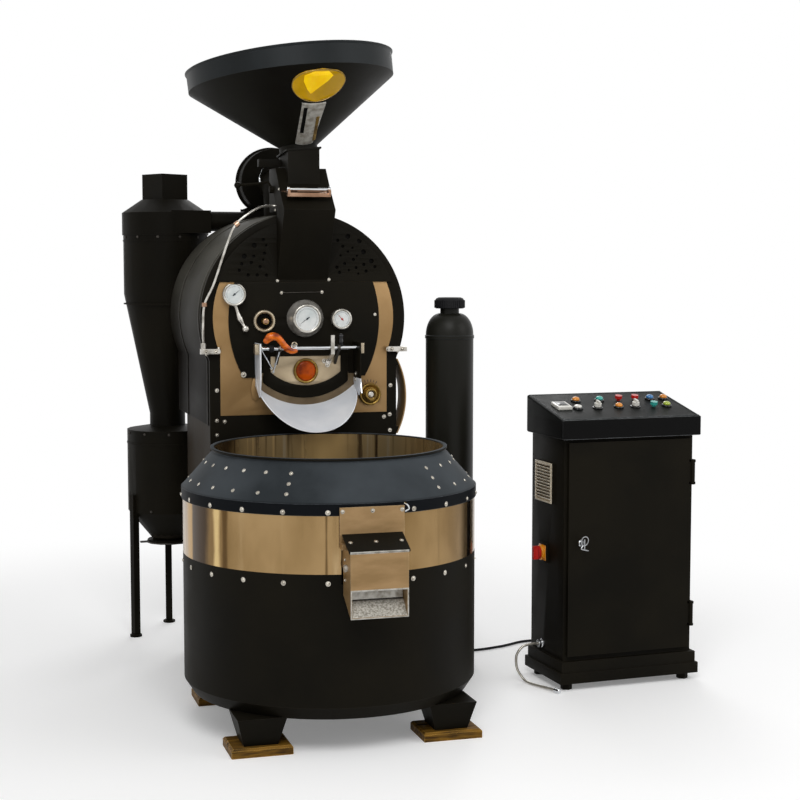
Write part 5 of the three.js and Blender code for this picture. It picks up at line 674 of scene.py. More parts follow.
def round_over(profile, radius, steps=4):
    """The profile with each corner that carries a radius rounded; other corners stay."""
    made = []
    count = len(profile)
    for i, (x, y) in enumerate(profile):
        before, after = Vector(profile[i - 1]), Vector(profile[(i + 1) % count])
        here = Vector((x, y))
        a, b = before - here, after - here
        limit = min(a.length, b.length) * 0.45
        if x < 1e-6 or limit < 1e-4 or a.angle(b, 0) > 2.9:
            made.append((x, y))
            continue
        r = min(radius, limit)
        start, end = here + a.normalized() * r, here + b.normalized() * r
        for k in range(steps + 1):
            t = k / steps
            p = start * (1 - t) ** 2 + here * 2 * t * (1 - t) + end * t * t
            made.append((p.x, p.y))
    return made


def swept(points, radius, sides=16, steps=40, tension=0.5):
    """A round bar along a smooth route; the radius may be a list, one for each given point."""
    given = [Vector(p) for p in points]
    route = eased(given, tension, steps)
    radii = radius if isinstance(radius, (list, tuple)) else [radius] * len(given)
    bm = bmesh.new()
    rings = []
    up = None
    for i, place in enumerate(route):
        ahead = (route[min(i + 1, steps - 1)] - route[max(i - 1, 0)]).normalized()
        if up is None:
            up = ahead.orthogonal().normalized()
        up = (up - ahead * up.dot(ahead)).normalized()
        across = ahead.cross(up)
        share = i / (steps - 1) * (len(radii) - 1)
        k = min(int(share), len(radii) - 2)
        r = radii[k] + (radii[k + 1] - radii[k]) * (share - k)
        rings.append([bm.verts.new(place + across * (r * math.cos(a)) + up * (r * math.sin(a)))
                      for a in round_angles(sides)])
    for low, high in zip(rings, rings[1:]):
        for i in range(sides):
            j = (i + 1) % sides
            bm.faces.new((low[i], low[j], high[j], high[i]))
    bm.faces.new(rings[0])
    bm.faces.new(rings[-1])
    return outward(bm)


def closed_sheet(bm, layers):
    """Faces over two layers of equal rows of points, and round their rim."""
    count, width = len(layers[0]), len(layers[0][0])
    for rows in layers:
        for a, b in zip(rows, rows[1:]):
            for i in range(width - 1):
                bm.faces.new((a[i], a[i + 1], b[i + 1], b[i]))
    rim = [(0, i) for i in range(width)] + [(j, width - 1) for j in range(1, count)]
    rim += [(count - 1, i) for i in range(width - 2, -1, -1)] + [(j, 0) for j in range(count - 2, 0, -1)]
    for (j, i), (k, m) in zip(rim, rim[1:] + rim[:1]):
        bm.faces.new((layers[0][j][i], layers[0][k][m], layers[1][k][m], layers[1][j][i]))
    return outward(bm)


def outline_plate(loops, thickness, soften=0.4, steps=1):
    """A flat plate from its outline and holes, with softened edges, lying in XY and centred in Z."""
    curve = bpy.data.curves.new("outline", "CURVE")
    curve.dimensions, curve.fill_mode = "2D", "BOTH"
    curve.extrude = (thickness / 2 - soften) * MM
    curve.bevel_depth, curve.bevel_resolution, curve.offset = soften * MM, steps, -soften * MM
    for loop in loops:
        line = curve.splines.new("POLY")
        line.points.add(len(loop) - 1)
        for point, (x, y) in zip(line.points, loop):
            point.co = (x * MM, y * MM, 0, 1)
        line.use_cyclic_u = True
    obj = held("outline", curve)
    form = form_of(modified(obj))
    bmesh.ops.scale(form, vec=(1 / MM,) * 3, verts=form.verts)
    bmesh.ops.remove_doubles(form, verts=form.verts, dist=1e-3)
    bpy.data.objects.remove(obj)
    bpy.data.curves.remove(curve)
    return outward(form)


def front_plate(loops, front, back, soften=0.4):
    """A plate that stands in the XZ plane between two depths."""
    return moved(outline_plate(loops, back - front, soften), FRONT, at(0, (front + back) / 2, 0))


def rectangle(x0, x1, z0, z1):
    return [(x0, z0), (x1, z0), (x1, z1), (x0, z1)]


def bar_box(x0, x1, y0, y1, z0, z1, soften=0.6):
    return front_plate([rectangle(x0, x1, z0, z1)], y0, y1, soften)


def arc(cx, cz, radius, start, end, steps=FINE):
    return [(cx + radius * math.cos(start + (end - start) * i / steps),
             cz + radius * math.sin(start + (end - start) * i / steps)) for i in range(steps + 1)]


def circle(cx, cz, radius, steps=SMALL):
    return arc(cx, cz, radius, 0, 2 * math.pi * (steps - 1) / steps, steps - 1)


def arch(radius, half, bottom):
    drop = math.sqrt(radius * radius - half * half)
    lean = math.atan2(drop, half)
    return [(-half, bottom), *arc(0, AXIS_Z, radius, math.pi + lean, -lean, ROUND), (half, bottom)]


def mouth(half, top, bottom):
    radius = ARC_Z - bottom
    lean = math.atan2(math.sqrt(radius * radius - half * half), half)
    return [(-half, top), (half, top), *arc(0, ARC_Z, radius, -lean, lean - math.pi, FINE)]


def rounded_copy(name, width, material):
    """A solid's own shape with its edges rounded over, which stands for the solid."""
    form = bmesh.new()
    form.from_mesh(nodes[name].data)
    bmesh.ops.remove_doubles(form, verts=form.verts, dist=1e-6)
    bmesh.ops.dissolve_limit(form, angle_limit=math.radians(1), verts=form.verts, edges=form.edges)
    mesh = mesh_of(form, name + "_rounded")
    source = held(name + "_source", mesh)
    over = source.modifiers.new("rounded edges", "BEVEL")
    over.width, over.segments, over.limit_method, over.angle_limit = width * MM, 3, "ANGLE", math.radians(40)
    made = modified(source)
    bpy.data.objects.remove(source)
    bpy.data.meshes.remove(mesh)
    made.materials.clear()
    made.materials.append(material)
    settle(made, math.radians(38))
    return ready(held(name + "_shell", made), HOUSING, [name])


def facing_front(profile, place, y, sides=FINE, soften=0):
    """A profile turned about an axis towards the front, at a place in the XZ plane and a depth."""
    profile = round_over(profile, soften) if soften else profile
    return moved(turned(profile, sides), FRONT, at(place[0], y, place[1]))


def along_x(profile, x, y, z, soften=0):
    """A profile turned about an axis that lies across the machine, its corners softened if asked."""
    profile = round_over(profile, soften) if soften else profile
    return moved(turned(profile, SMALL), ALONG_X, at(x, y, z))


def upright(profile, soften, *places, sides=SMALL, closed=True):
    """A profile with softened corners, turned and then moved to its places in order."""
    return moved(turned(round_over(profile, soften), sides, closed), *places)


def carved(form, tool):
    """The form less the tool."""
    pair = [held(label, mesh_of(part, label)) for label, part in (("body", form), ("tool", tool))]
    cut = pair[0].modifiers.new("cut", "BOOLEAN")
    cut.operation, cut.solver, cut.object = "DIFFERENCE", "EXACT", pair[1]
    made = form_of(modified(pair[0]))
    for data in [obj.data for obj in pair]:
        bpy.data.objects.remove(pair.pop(0))
        bpy.data.meshes.remove(data)
    return made


# --- Geometry Nodes: screws, slats and scale marks ---------------------------------------------

def geometry_group(name, sockets):
    return group_tree("GeometryNodeTree", name, [("Geometry", "Geometry"), *sockets],
                      [("Geometry", "Geometry")])


def stored(tree, name):
    return node(tree, "GeometryNodeInputNamedAttribute", {"Name": name}, data_type="FLOAT_VECTOR").outputs[0]


def scattered(tree, given, out, shape, rotation):
    """The shape at each point with the rotation, made real and given its finish."""
    place = node(tree, "GeometryNodeInstanceOnPoints",
                 {"Points": given["Geometry"], "Instance": shape, "Rotation": rotation})
    real = node(tree, "GeometryNodeRealizeInstances", {0: place.outputs[0]})
    paint = node(tree, "GeometryNodeSetMaterial", {"Geometry": real.outputs[0], "Material": given["Finish"]})
    return put_out(tree, out, Geometry=paint.outputs[0])


def make_fastener_tree():
    """A domed head on a washer at each point, turned to the point's facing direction."""
    tree, given, out = geometry_group("washered screws", [
        ("Head radius", "Float", 0.005), ("Head height", "Float", 0.004), ("Washer radius", "Float", 0.007),
        ("Washer height", "Float", 0.0012), ("Head sides", "Int", 12), ("Finish", "Material")])
    size = node(tree, "ShaderNodeCombineXYZ", {"X": given["Head radius"], "Y": given["Head radius"],
                                               "Z": given["Head height"]}).outputs[0]
    head = node(tree, "GeometryNodeMeshUVSphere",
                {"Rings": 6, "Radius": 1.0, "Segments": given["Head sides"]})
    dome = node(tree, "GeometryNodeTransform", {"Geometry": head.outputs["Mesh"], "Scale": size})
    washer = node(tree, "GeometryNodeMeshCylinder", {"Vertices": 16, "Radius": given["Washer radius"],
                                                     "Depth": given["Washer height"]})
    both = node(tree, "GeometryNodeJoinGeometry")
    for part in (dome.outputs[0], washer.outputs["Mesh"]):
        tree.links.new(part, both.inputs[0])
    turn = node(tree, "FunctionNodeAlignRotationToVector", {"Vector": stored(tree, "facing")}, axis="Z")
    return scattered(tree, given, out, both.outputs[0], turn.outputs[0])


def make_block_row_tree():
    """Equal small blocks at each point, turned so that their length faces outward."""
    tree, given, out = geometry_group("row of blocks", [
        ("Width", "Float", 0.001), ("Depth", "Float", 0.001), ("Length", "Float", 0.01),
        ("Finish", "Material")])
    size = node(tree, "ShaderNodeCombineXYZ",
                {"X": given["Width"], "Y": given["Depth"], "Z": given["Length"]})
    cube = node(tree, "GeometryNodeMeshCube", {"Size": size.outputs[0]}).outputs["Mesh"]
    turn = node(tree, "FunctionNodeAlignRotationToVector", {"Vector": stored(tree, "facing")}, axis="Z")
    level = node(tree, "FunctionNodeAlignRotationToVector",
                 {"Rotation": turn.outputs[0], "Vector": stored(tree, "across")}, axis="X", pivot_axis="Z")
    return scattered(tree, given, out, cube, level.outputs[0])


SCREWS = make_fastener_tree()
BLOCKS = make_block_row_tree()


def repeated(name, tree, rows, body, values, material, crease=40):
    """One mesh of everything that the tree sets at the rows' places; a row is place, facing and across."""
    seed = bpy.data.meshes.new(name)
    seed.from_pydata([Vector(row[0]) * MM for row in rows], [], [])
    for index, label in ((1, "facing"), (2, "across")):
        if len(rows[0]) > index:
            marks = seed.attributes.new(label, "FLOAT_VECTOR", "POINT")
            for i, row in enumerate(rows):
                marks.data[i].vector = row[index]
    source = held(name + "_points", seed)
    rows_of = source.modifiers.new("rows", "NODES")
    rows_of.node_group = tree
    named = {item.name: item.identifier for item in tree.interface.items_tree if item.in_out == "INPUT"}
    for label, value in {**values, "Finish": material}.items():
        rows_of[named[label]] = value
    mesh = modified(source)
    bpy.data.objects.remove(source)
    bpy.data.meshes.remove(seed)
    settle(mesh, math.radians(crease))
    if not mesh.materials:
        mesh.materials.append(material)
    return ready(held(name, mesh), body)


def screws(name, rows, body=HOUSING, head=4.5, height=3.4, washer=6.5, thick=2.0, sides=12,
           material=SCREW_STEEL):
    """Screws on washers; a row is a place and the way it faces, or a place alone for one facing us."""
    rows = [row if isinstance(row[0], (tuple, Vector)) else (row, TOWARD_US) for row in rows]
    values = {"Head radius": head * MM, "Head height": height * MM, "Washer radius": washer * MM,
              "Washer height": thick * MM, "Head sides": sides}
    return repeated(name, SCREWS, rows, body, values, material)


def block_row(name, rows, width, depth, length, material):
    values = {"Width": width * MM, "Depth": depth * MM, "Length": length * MM}
    return repeated(name, BLOCKS, rows, HOUSING, values, material)


def fan_of_marks(centre, y, radius, angles):
    """Rows for marks that point outward round a centre in the XZ plane."""
    return [((centre[0] + radius * math.cos(a), y, centre[1] + radius * math.sin(a)),
             (math.cos(a), 0, math.sin(a)), (-math.sin(a), 0, math.cos(a))) for a in angles]


# --- Body of the roaster -----------------------------------------------------------------------

def make_soft_edge_tree():
    """Joins a solid's loose faces and shades it smooth, except across edges over the given angle."""
    tree, given, out = geometry_group("smooth rounds", [("Crease angle", "Float", CREASE)])
    merge = node(tree, "GeometryNodeMergeByDistance", {0: given["Geometry"], "Distance": 1e-6})
    faces = node(tree, "GeometryNodeSetShadeSmooth", {"Geometry": merge.outputs[0]}, domain="FACE")
    angle = node(tree, "GeometryNodeInputMeshEdgeAngle").outputs["Unsigned Angle"]
    over = node(tree, "FunctionNodeCompare", {0: angle, 1: given["Crease angle"]}, operation="GREATER_THAN")
    edges = node(tree, "GeometryNodeSetShadeSmooth",
                 {"Geometry": faces.outputs[0], "Selection": over.outputs[0], "Shade Smooth": False},
                 domain="EDGE")
    return put_out(tree, out, Geometry=edges.outputs[0])


def dress_solids():
    """Gives each solid that stays its finish and smooth rounds."""
    tree = make_soft_edge_tree()
    angle = [item.identifier for item in tree.interface.items_tree if item.name == "Crease angle"][0]
    for material, names in NODE_FINISH.items():
        for name in names:
            obj = nodes[name]
            for place in obj.material_slots:
                place.link = "OBJECT"
                place.material = material
            smooth = obj.modifiers.new("smooth rounds", "NODES")
            smooth.node_group = tree
            smooth[angle] = CREASE
    for rounded in ROUNDED:
        rounded_copy(*rounded)


HOLES = [(-176, 1519, 8.8), (-144, 1538, 6), (-134, 1519, 4.4), (-211, 1482, 8.8), (-178, 1482, 6),
         (-140, 1492, 6), (-145, 1470, 4.4), (-187, 1460, 6), (-220, 1456, 6), (-228, 1434, 6),
         (-156, 1446, 6), (-198, 1418, 6), (-166, 1418, 6), (-134, 1417, 6),
         (154, 1551, 8.8), (118, 1537, 6), (196, 1536, 8.8), (136, 1517, 6), (171, 1512, 4.4),
         (154, 1499, 4.4), (211, 1498, 8.8), (128, 1485, 4.4), (187, 1484, 4.4), (174, 1471, 6),
         (143, 1457, 6), (239, 1466, 8.8), (212, 1454, 6), (115, 1444, 6), (184, 1443, 6), (252, 1446, 6),
         (124, 1426, 6), (158, 1434, 4.4), (220, 1431, 6), (192, 1422, 4.4)]
MOUTH_HOLE = mouth(112, 1130, 1042)
FEED_HOLE = rectangle(-86, 70, 1412, 1528)
TRIER_HOLE = circle(*TRIER, 11.8)


def dress_barrel():
    outer, inner = arch(362.4, 332.4, 900.3), arch(358, 328, 904)
    add("jacket_skin", front_plate([outer, inner], -247.7, 427.7), JACKET_BLACK)
    band = [arch(365.6, 335.6, 900.3), arch(360, 330, 904)]
    add("jacket_bands", gather(*[front_plate(band, y, y + 24, 0.8) for y in (-233.7, 196.3)]), JACKET_BLACK)
    front = [arch(362.4, 332.4, 843), arch(316, 292, 940)]
    add("front_skin", front_plate(front, PLATE_Y - 0.6, -248.2, 0.8), BLACK)
    add("rear_skin", front_plate([outer, arch(340, 310, 920)], 428.2, 440.6, 0.8), BLACK)
    sheet = [arch(320, 296, 936), MOUTH_HOLE, FEED_HOLE, TRIER_HOLE, circle(*AIR_DIAL, 10)]
    add("bronze_sheet", front_plate(sheet, BRONZE_Y, PLATE_Y - GAP), BRONZE, instead_of=["bronze_panel"])
    side, half, waist = 400.0, 267.0, 1262.0
    high, low = math.asin((1394 - waist) / side), math.asin((1065 - waist) / side)
    tongue_r = ARC_Z - 988
    tongue = math.acos(164 / tongue_r)
    outline = [*arc(half - side, waist, side, low, high),
               *arc(side - half, waist, side, math.pi - high, math.pi - low), (-164, 1065),
               *arc(0, ARC_Z, tongue_r, math.pi + tongue, 2 * math.pi - tongue), (164, 1065)]
    add("face_sheet", front_plate([outline, MOUTH_HOLE, TRIER_HOLE], FACE_Y, BRONZE_Y - GAP, 0.8), BLACK,
        instead_of=["face_plate"])
    rise = math.asin((1394.3 - AXIS_Z) / 338)
    cover = arc(0, AXIS_Z, 338, rise, math.pi - rise, ROUND)
    holes = [circle(x, z, r, 16) for x, z, r in HOLES]
    add("vented_cover", front_plate([cover, FEED_HOLE, *holes], FACE_Y, BRONZE_Y - GAP, 0.5), BLACK,
        instead_of=["perforated_cover"])
    # A near-black sheet behind the vent holes: painted shade seen through them.
    dark = arc(0, AXIS_Z, 334, rise + 0.02, math.pi - rise - 0.02, ROUND)
    add("painted_shade_behind_vents", front_plate([dark, FEED_HOLE], BRONZE_Y - 0.25, BRONZE_Y - 0.05, 0.05),
        PAINTED_SHADE)


HOPPER_LEAN = math.radians(5)
HOPPER = (at(-8, -225, 1838) @ Matrix.Rotation(-HOPPER_LEAN, 4, "X")
          @ Matrix.Rotation(-HOPPER_LEAN, 4, "Y"))
SLOPE = math.tan(math.radians(36.7))
NECK_R, NECK_TOP, CONE_R = 66, 22, 355
WINDOW_TURN = Matrix.Rotation(HOPPER_LEAN, 4, "Z")
WINDOW_HALF, WINDOW_RISE, WINDOW_Y = 92, 56, -281


def cone_z(radius):
    return NECK_TOP + (radius - NECK_R) * SLOPE


def cone_patch(outline_rows, rise, thickness):
    """A sheet laid on the outside of the hopper's cone from rows of points in plan."""
    bm = bmesh.new()
    slant = math.cos(math.atan(SLOPE))
    return closed_sheet(bm, [
        [[bm.verts.new((x, y, cone_z(math.hypot(x, y)) - lift / slant)) for x, y in row]
         for row in outline_rows] for lift in (rise, rise + thickness)])


def window_rows(rings=10, sides=48):
    rows = []
    for k in range(rings + 1):
        v = -1 + 2 * k / rings
        half = math.sqrt(max(0.0, 1 - v * v))
        rows.append([(WINDOW_HALF * half * (-1 + 2 * i / sides) + (i - sides / 2) * 1e-3,
                      WINDOW_Y + WINDOW_RISE * v) for i in range(sides + 1)])
    return rows


def tapered_rows(x0, x1, lean, y0, y1, steps, sides):
    """Rows of a strip from y0 to y1 in plan; lean is how far its left and right edges move by y1."""
    left, right = lean
    return [[(x0 + left * k / steps + (x1 - x0 + (right - left) * k / steps) * i / sides,
              y0 + (y1 - y0) * k / steps) for i in range(sides + 1)] for k in range(steps + 1)]


def dress_hopper():
    low, top = cone_z(CONE_R) - 0.4, cone_z(CONE_R) + 78
    wall = [NECK_R + 289 * k / 6 for k in range(1, 7)]
    shell = turned([(NECK_R, 0), (NECK_R, NECK_TOP), *[(r, cone_z(r)) for r in wall],
                    (351, cone_z(351) + 4), (62, 24), (62, 0)], ROUND)
    prism = moved(turned(sleeve(0, 1, 0, 1), FINE), Matrix.Diagonal((83, 47, 320, 1)), at(0, WINDOW_Y, 20),
                  WINDOW_TURN)
    seat = moved(outline_plate([rectangle(-62, 62, -78, 78), circle(0, 0, 54, FINE)], 6), at(0, 0, 3))
    add("hopper_shell", moved(gather(carved(shell, prism), seat), HOPPER), HOPPER_BLACK,
        instead_of=["hopper"])
    band = turned([(354.5, low), (355.6, top - 10), (360, top - 4), (360.4, top - 1.4), (358, top),
                   (353, top - 1), (351, top - 6), (351, low)], ROUND)
    for corner in band.verts:
        if corner.co.z > top - 20:
            corner.co.z += -6 + 6 * corner.co.x / CONE_R
    add("hopper_band", moved(band, HOPPER), BAND_BLACK)
    on_window = (WINDOW_TURN, HOPPER)
    add("hopper_glass", moved(cone_patch(window_rows(), 0.6, 4), *on_window), YELLOW_GLASS,
        instead_of=["hopper_window"], crease=60)
    # A glowing yellow shape in the window: a painted reflection.
    spread = [(-0.9, -28, 22), (-0.6, -58, 42), (-0.25, -56, 26), (0.0, -46, 8), (0.22, -38, -6),
              (0.36, -30, -14)]
    reflection_rows = [[(x0 + (x1 - x0) * i / 12,
                WINDOW_Y + WINDOW_RISE * v + 5 * math.sin(math.pi * i / 12) * (v + 0.9)) for i in range(13)]
              for v, x0, x1 in spread]
    add("window_painted_reflection", moved(cone_patch(reflection_rows, 4.4, 0.5), *on_window), BRIGHT_YELLOW, crease=60)
    oval = [(WINDOW_HALF * math.cos(a), WINDOW_Y + WINDOW_RISE * math.sin(a))
            for a in round_angles(40, ends=True)]
    rim = swept([(x, y, cone_z(math.hypot(x, y)) - 5) for x, y in oval], 1.4, 8, 160)
    add("hopper_glass_rim", moved(rim, *on_window), BRASS)
    strip = tapered_rows(-42, 42, (11, -11), -214, -66, 12, 8)
    add("hopper_strip", moved(cone_patch(strip, 0.2, 3.4), *on_window), SPECKLED_STEEL)
    # The left slot's near-black sheet is painted shade.
    for label, x0, x1, first, last, material in (("left", -33, -20, -202, -110, PAINTED_SHADE),
                                                 ("right", 19, 31, -168, -76, BRASS)):
        rows = tapered_rows(x0, x1, (7, 7), first, last, 8, 2)
        add("hopper_strip_slot_" + label, moved(cone_patch(rows, 3.4, 0.5), *on_window), material, slot=None)


def dress_front_gauges():
    case = [(0, 0.3), (65, 0.3), (65, 5), (64, 9), (60.5, 18), (56, 26), (52, 33), (50, 38), (47.6, 41),
            (44, 41), (42, 37), (0, 37)]
    add("centre_gauge_case", facing_front(case, CENTRE_GAUGE, FACE_Y, ROUND, 1.6), SATIN_CHROME,
        instead_of=["centre_gauge"])
    dial("centre_gauge", CENTRE_GAUGE, FACE_Y - 37, 41, 36, 215, DIAL_INK)
    case = [(0, 0.3), (36, 0.3), (36, 20), (34, 23), (30, 23), (28.5, 19), (0, 19)]
    add("small_gauge_case", facing_front(case, SMALL_GAUGE, FACE_Y, soften=1.2), SATIN_CHROME,
        instead_of=["small_gauge"])
    dial("small_gauge", SMALL_GAUGE, FACE_Y - 19, 28, 30, 132, NEEDLE_RED)
    case = [(0, 0), (39, 0), (40, 4), (40, 22), (38, 26), (34, 26), (32.5, 23), (0, 23)]
    cut = carved(facing_front(case, (0, 0), 0, soften=1.4), bar_box(-60, 60, -40, 10, 34, 60))
    stem_y = FACE_Y - 23
    bends = ((-249, 1322), (-240, 1292), (-232, 1270), (-222, 1252), (-214, 1236))
    stem = swept([(x, stem_y, z) for x, z in bends], [5, 5, 9.5, 5, 4], 14, 26)
    foot_place = (-213, 1235)
    ball = facing_front([(0, -10), (9, -9), (12, 0), (9, 9), (0, 11)], foot_place, stem_y, SMALL, 3)
    foot = facing_front(sleeve(0, 5, 0, 15), foot_place, FACE_Y, SMALL)
    x, z = PRESSURE_GAUGE
    add("pressure_gauge_case", gather(moved(cut, at(x, FACE_Y - 10, z)), stem, ball, foot), SATIN_CHROME,
        instead_of=["pressure_gauge"])
    dial("pressure_gauge", PRESSURE_GAUGE, FACE_Y - 33.2, 32, 24, 40, DIAL_INK, sweep=(200, -20))
    ring = [(26, 0), (39, 0), (39, 8), (36, 12.5), (31, 12.5), (27, 9), (26, 4)]
    add("trier_ring", facing_front(ring, TRIER, FACE_Y, soften=1.6), NICKEL)
    # A near-black ring in the trier's hollow: painted shade.
    add("trier_hollow_painted_shade", facing_front(sleeve(12, 26.4, -5.9, 1.2), TRIER, FACE_Y), PAINTED_SHADE)
    knob = [(0, 24), (8, 24), (10.6, 26), (10.6, 33), (8, 34.6), (0, 35)]
    add("trier_knob", facing_front(knob, TRIER, FACE_Y, SMALL), COPPER, body="trier")
    wheel = [(0, 0.3), (30, 0.3), (36, 3), (39, 7), (39, 14), (36.5, 17), (32, 16), (26, 11), (12, 10),
             (0, 10)]
    add("air_dial", facing_front(wheel, AIR_DIAL, BRONZE_Y, soften=1.2), BRASS, body="air_knob",
        instead_of=["air_knob"])
    hub = [(12, 10.3), (21.5, 10.3), (21.5, 26), (20, 28.5), (15.5, 28.5), (13.5, 24), (12, 22)]
    add("air_dial_hub", facing_front(hub, AIR_DIAL, BRONZE_Y, soften=1), BRASS, body="air_knob")
    pin = [(0, 10.3), (11.7, 10.3), (11.7, 20), (9, 23), (0, 24)]
    add("air_dial_pin", facing_front(pin, AIR_DIAL, BRONZE_Y, SMALL, 1), SATIN_CHROME, body="air_knob",
        slot="stainless")
    angles = [math.radians(58 + 13 * i) for i in range(6)]
    block_row("air_dial_marks", fan_of_marks(AIR_DIAL, BRONZE_Y - 0.1, 47, angles), 2, 0.5, 9, DIAL_INK)


def dial(name, place, y, radius, ticks, needle_angle, needle_finish, sweep=(225, -45)):
    """A face with a printed scale, a needle and its pin."""
    x, z = place
    add(name + "_face", facing_front(sleeve(0, radius, 0, 0.6), place, y), DIAL_WHITE)
    angles = [math.radians(sweep[0] + (sweep[1] - sweep[0]) * i / ticks) for i in range(ticks + 1)]
    marks = fan_of_marks(place, y - 0.7, radius * 0.84, angles)
    block_row(name + "_scale", marks, 0.8, 0.3, radius * 0.13, DIAL_INK)
    c, s = math.cos(math.radians(needle_angle)), math.sin(math.radians(needle_angle))
    r = radius * 0.78
    blade = [(x + c * r, z + s * r), (x - s * 1.8 - c * r * 0.3, z + c * 1.8 - s * r * 0.3),
             (x + s * 1.8 - c * r * 0.3, z - c * 1.8 - s * r * 0.3)]
    pin = facing_front(sleeve(0, 3.4, 0.5, 3), place, y, SMALL, 0.8)
    add(name + "_needle", gather(front_plate([blade], y - 2.2, y - 1.4, 0.2), pin), needle_finish,
        slot="bright_chrome")


def dress_door():
    panel = [mouth(137, 1143, 1032), circle(*DOOR_GLASS, 35.4, FINE), circle(80, 1118, 5)]
    add("door_panel", front_plate(panel, DOOR_Y, FACE_Y - GAP, 1.0), DOOR_BRONZE, body="door",
        instead_of=["discharge_door"])
    border = [mouth(150, 1144, 995), mouth(124, 1138, 1037)]
    add("door_frame", front_plate(border, DOOR_Y - 3, DOOR_Y - 0.2, 0.8), BLACK, body="door")
    arm = [(DOOR_Y - 3, 1143), (BAR_Y, 1174), (BAR_Y - 6, 1162), (DOOR_Y - 3, 1109)]
    arms = []
    for x in (-104, 104):
        arms.append(moved(outline_plate([arm], 9, 0.8), SIDEWAYS, at(x, 0, 0)))
        arms.append(along_x(sleeve(6.6, 12, -4.5, 4.5), x, BAR_Y, BAR_Z))
    add("door_arms", gather(*arms), DARK_STEEL, body="door")
    ring = [(35, 0), (44, 0), (44, 4), (41, 7.4), (37, 7.4), (35, 5)]
    add("window_ring", facing_front(ring, DOOR_GLASS, DOOR_Y, soften=1.4), BRASS, body="door")
    lens = [(0, -5), (34.8, -5), (34.8, 2), (30, 4.6), (20, 6.4), (8, 7.2), (0, 7.4)]
    add("window_lens", facing_front(lens, DOOR_GLASS, DOOR_Y, soften=1.5), AMBER_GLASS, body="door",
        instead_of=["door_window"], crease=60)
    grip = swept([(-52, -352, 1160), (-66, -353, 1160), (-84, -354, 1171), (-98, -355, 1187),
                  (-112, -355, 1204), (-128, -354, 1211), (-142, -353, 1207), (-152, -352, 1197)],
                 [7, 10, 11.5, 11, 11.5, 14, 14.5, 11], 20, 60)
    ends = []
    for x, z, r in ((-153, 1196, 11), (-51, 1160, 7)):
        half = [(r * math.cos(a), r * math.sin(a)) for a in [math.radians(-75 + 15 * i) for i in range(11)]]
        ends.append(moved(turned([(0, -r), *half, (0, r)], SMALL, closed=False), at(x, -352, z)))
    add("handle_hub", along_x(sleeve(6.7, 15, -11, 11), -56, BAR_Y, BAR_Z, 2), CHROME, body="door")
    add("handle_grip", gather(grip, *ends), AMBER_GRIP, body="door", instead_of=["door_handle"], crease=60)
    spiral = swept([(-58 + r * math.cos(a), -353 - a * 0.5, 1180 + r * math.sin(a))
                    for a, r in [(0.45 * i, 11 - 0.5 * i) for i in range(18)]], 1.8, 8, 70)
    add("handle_spiral", spiral, NICKEL, body="door", slot="bright_chrome")
    screws("latch_nuts", [(66, DOOR_Y, 1120), (84, DOOR_Y, 1126), (77, DOOR_Y, 1106)], "door", head=6,
           height=6, washer=8.5, thick=5, sides=6)
    links = gather(swept([(-171, -344, 1172), (-151, -322, 1141), (-121, -286, 1098)], 2.6, 10, 12),
                   swept([(-103, -344, 1171), (-109, -318, 1130), (-116, -286, 1085)], 2.6, 10, 12))
    add("chrome_links", links, CHROME, body="door")
    pins = [(-121, -283, 1098), (-108, -281.6, 1111), (-116, -283, 1085), (-171, -345.6, 1172),
            (-103, -345.6, 1171)]
    screws("link_pins", pins, "door", head=4.6, height=4.4, washer=5.6, thick=3)


def scoop_sheet():
    """The scoop's apron: its outline sheared downwards and cut to half an ellipse in plan."""
    bm = bmesh.new()
    half, top, low, reach, drop = 177.0, 1075.0, 968.0, 182.0, 79.0
    radius, bend = ARC_Z - low, 1038.7
    lean = math.atan2(math.sqrt(radius * radius - half * half), half)
    edge = [(-half, top - (top - bend) * k / 3) for k in range(3)]
    edge += arc(0, ARC_Z, radius, math.pi + lean, 2 * math.pi - lean, FINE)
    edge += [(half, bend + (top - bend) * k / 3) for k in range(1, 4)]
    steps = 14
    layers = []
    for inset in (0.0, 3.0):
        rows = []
        for x, z in edge:
            straight = abs(z - 1056) < 18 and abs(x) > 176.9
            toward = Vector((-x, 0)) if straight else Vector((-x, ARC_Z - z))
            shift = toward.normalized() * inset if toward.length else Vector((0, inset))
            out = reach * max(0.0, 1 - abs(x / half) ** 2.5) ** 0.44 + 0.4
            rows.append([bm.verts.new((x + shift.x, FACE_Y - GAP - out * k / steps,
                                       z + shift.y - drop / reach * out * k / steps))
                         for k in range(steps + 1)])
        layers.append(rows)
    return closed_sheet(bm, layers)


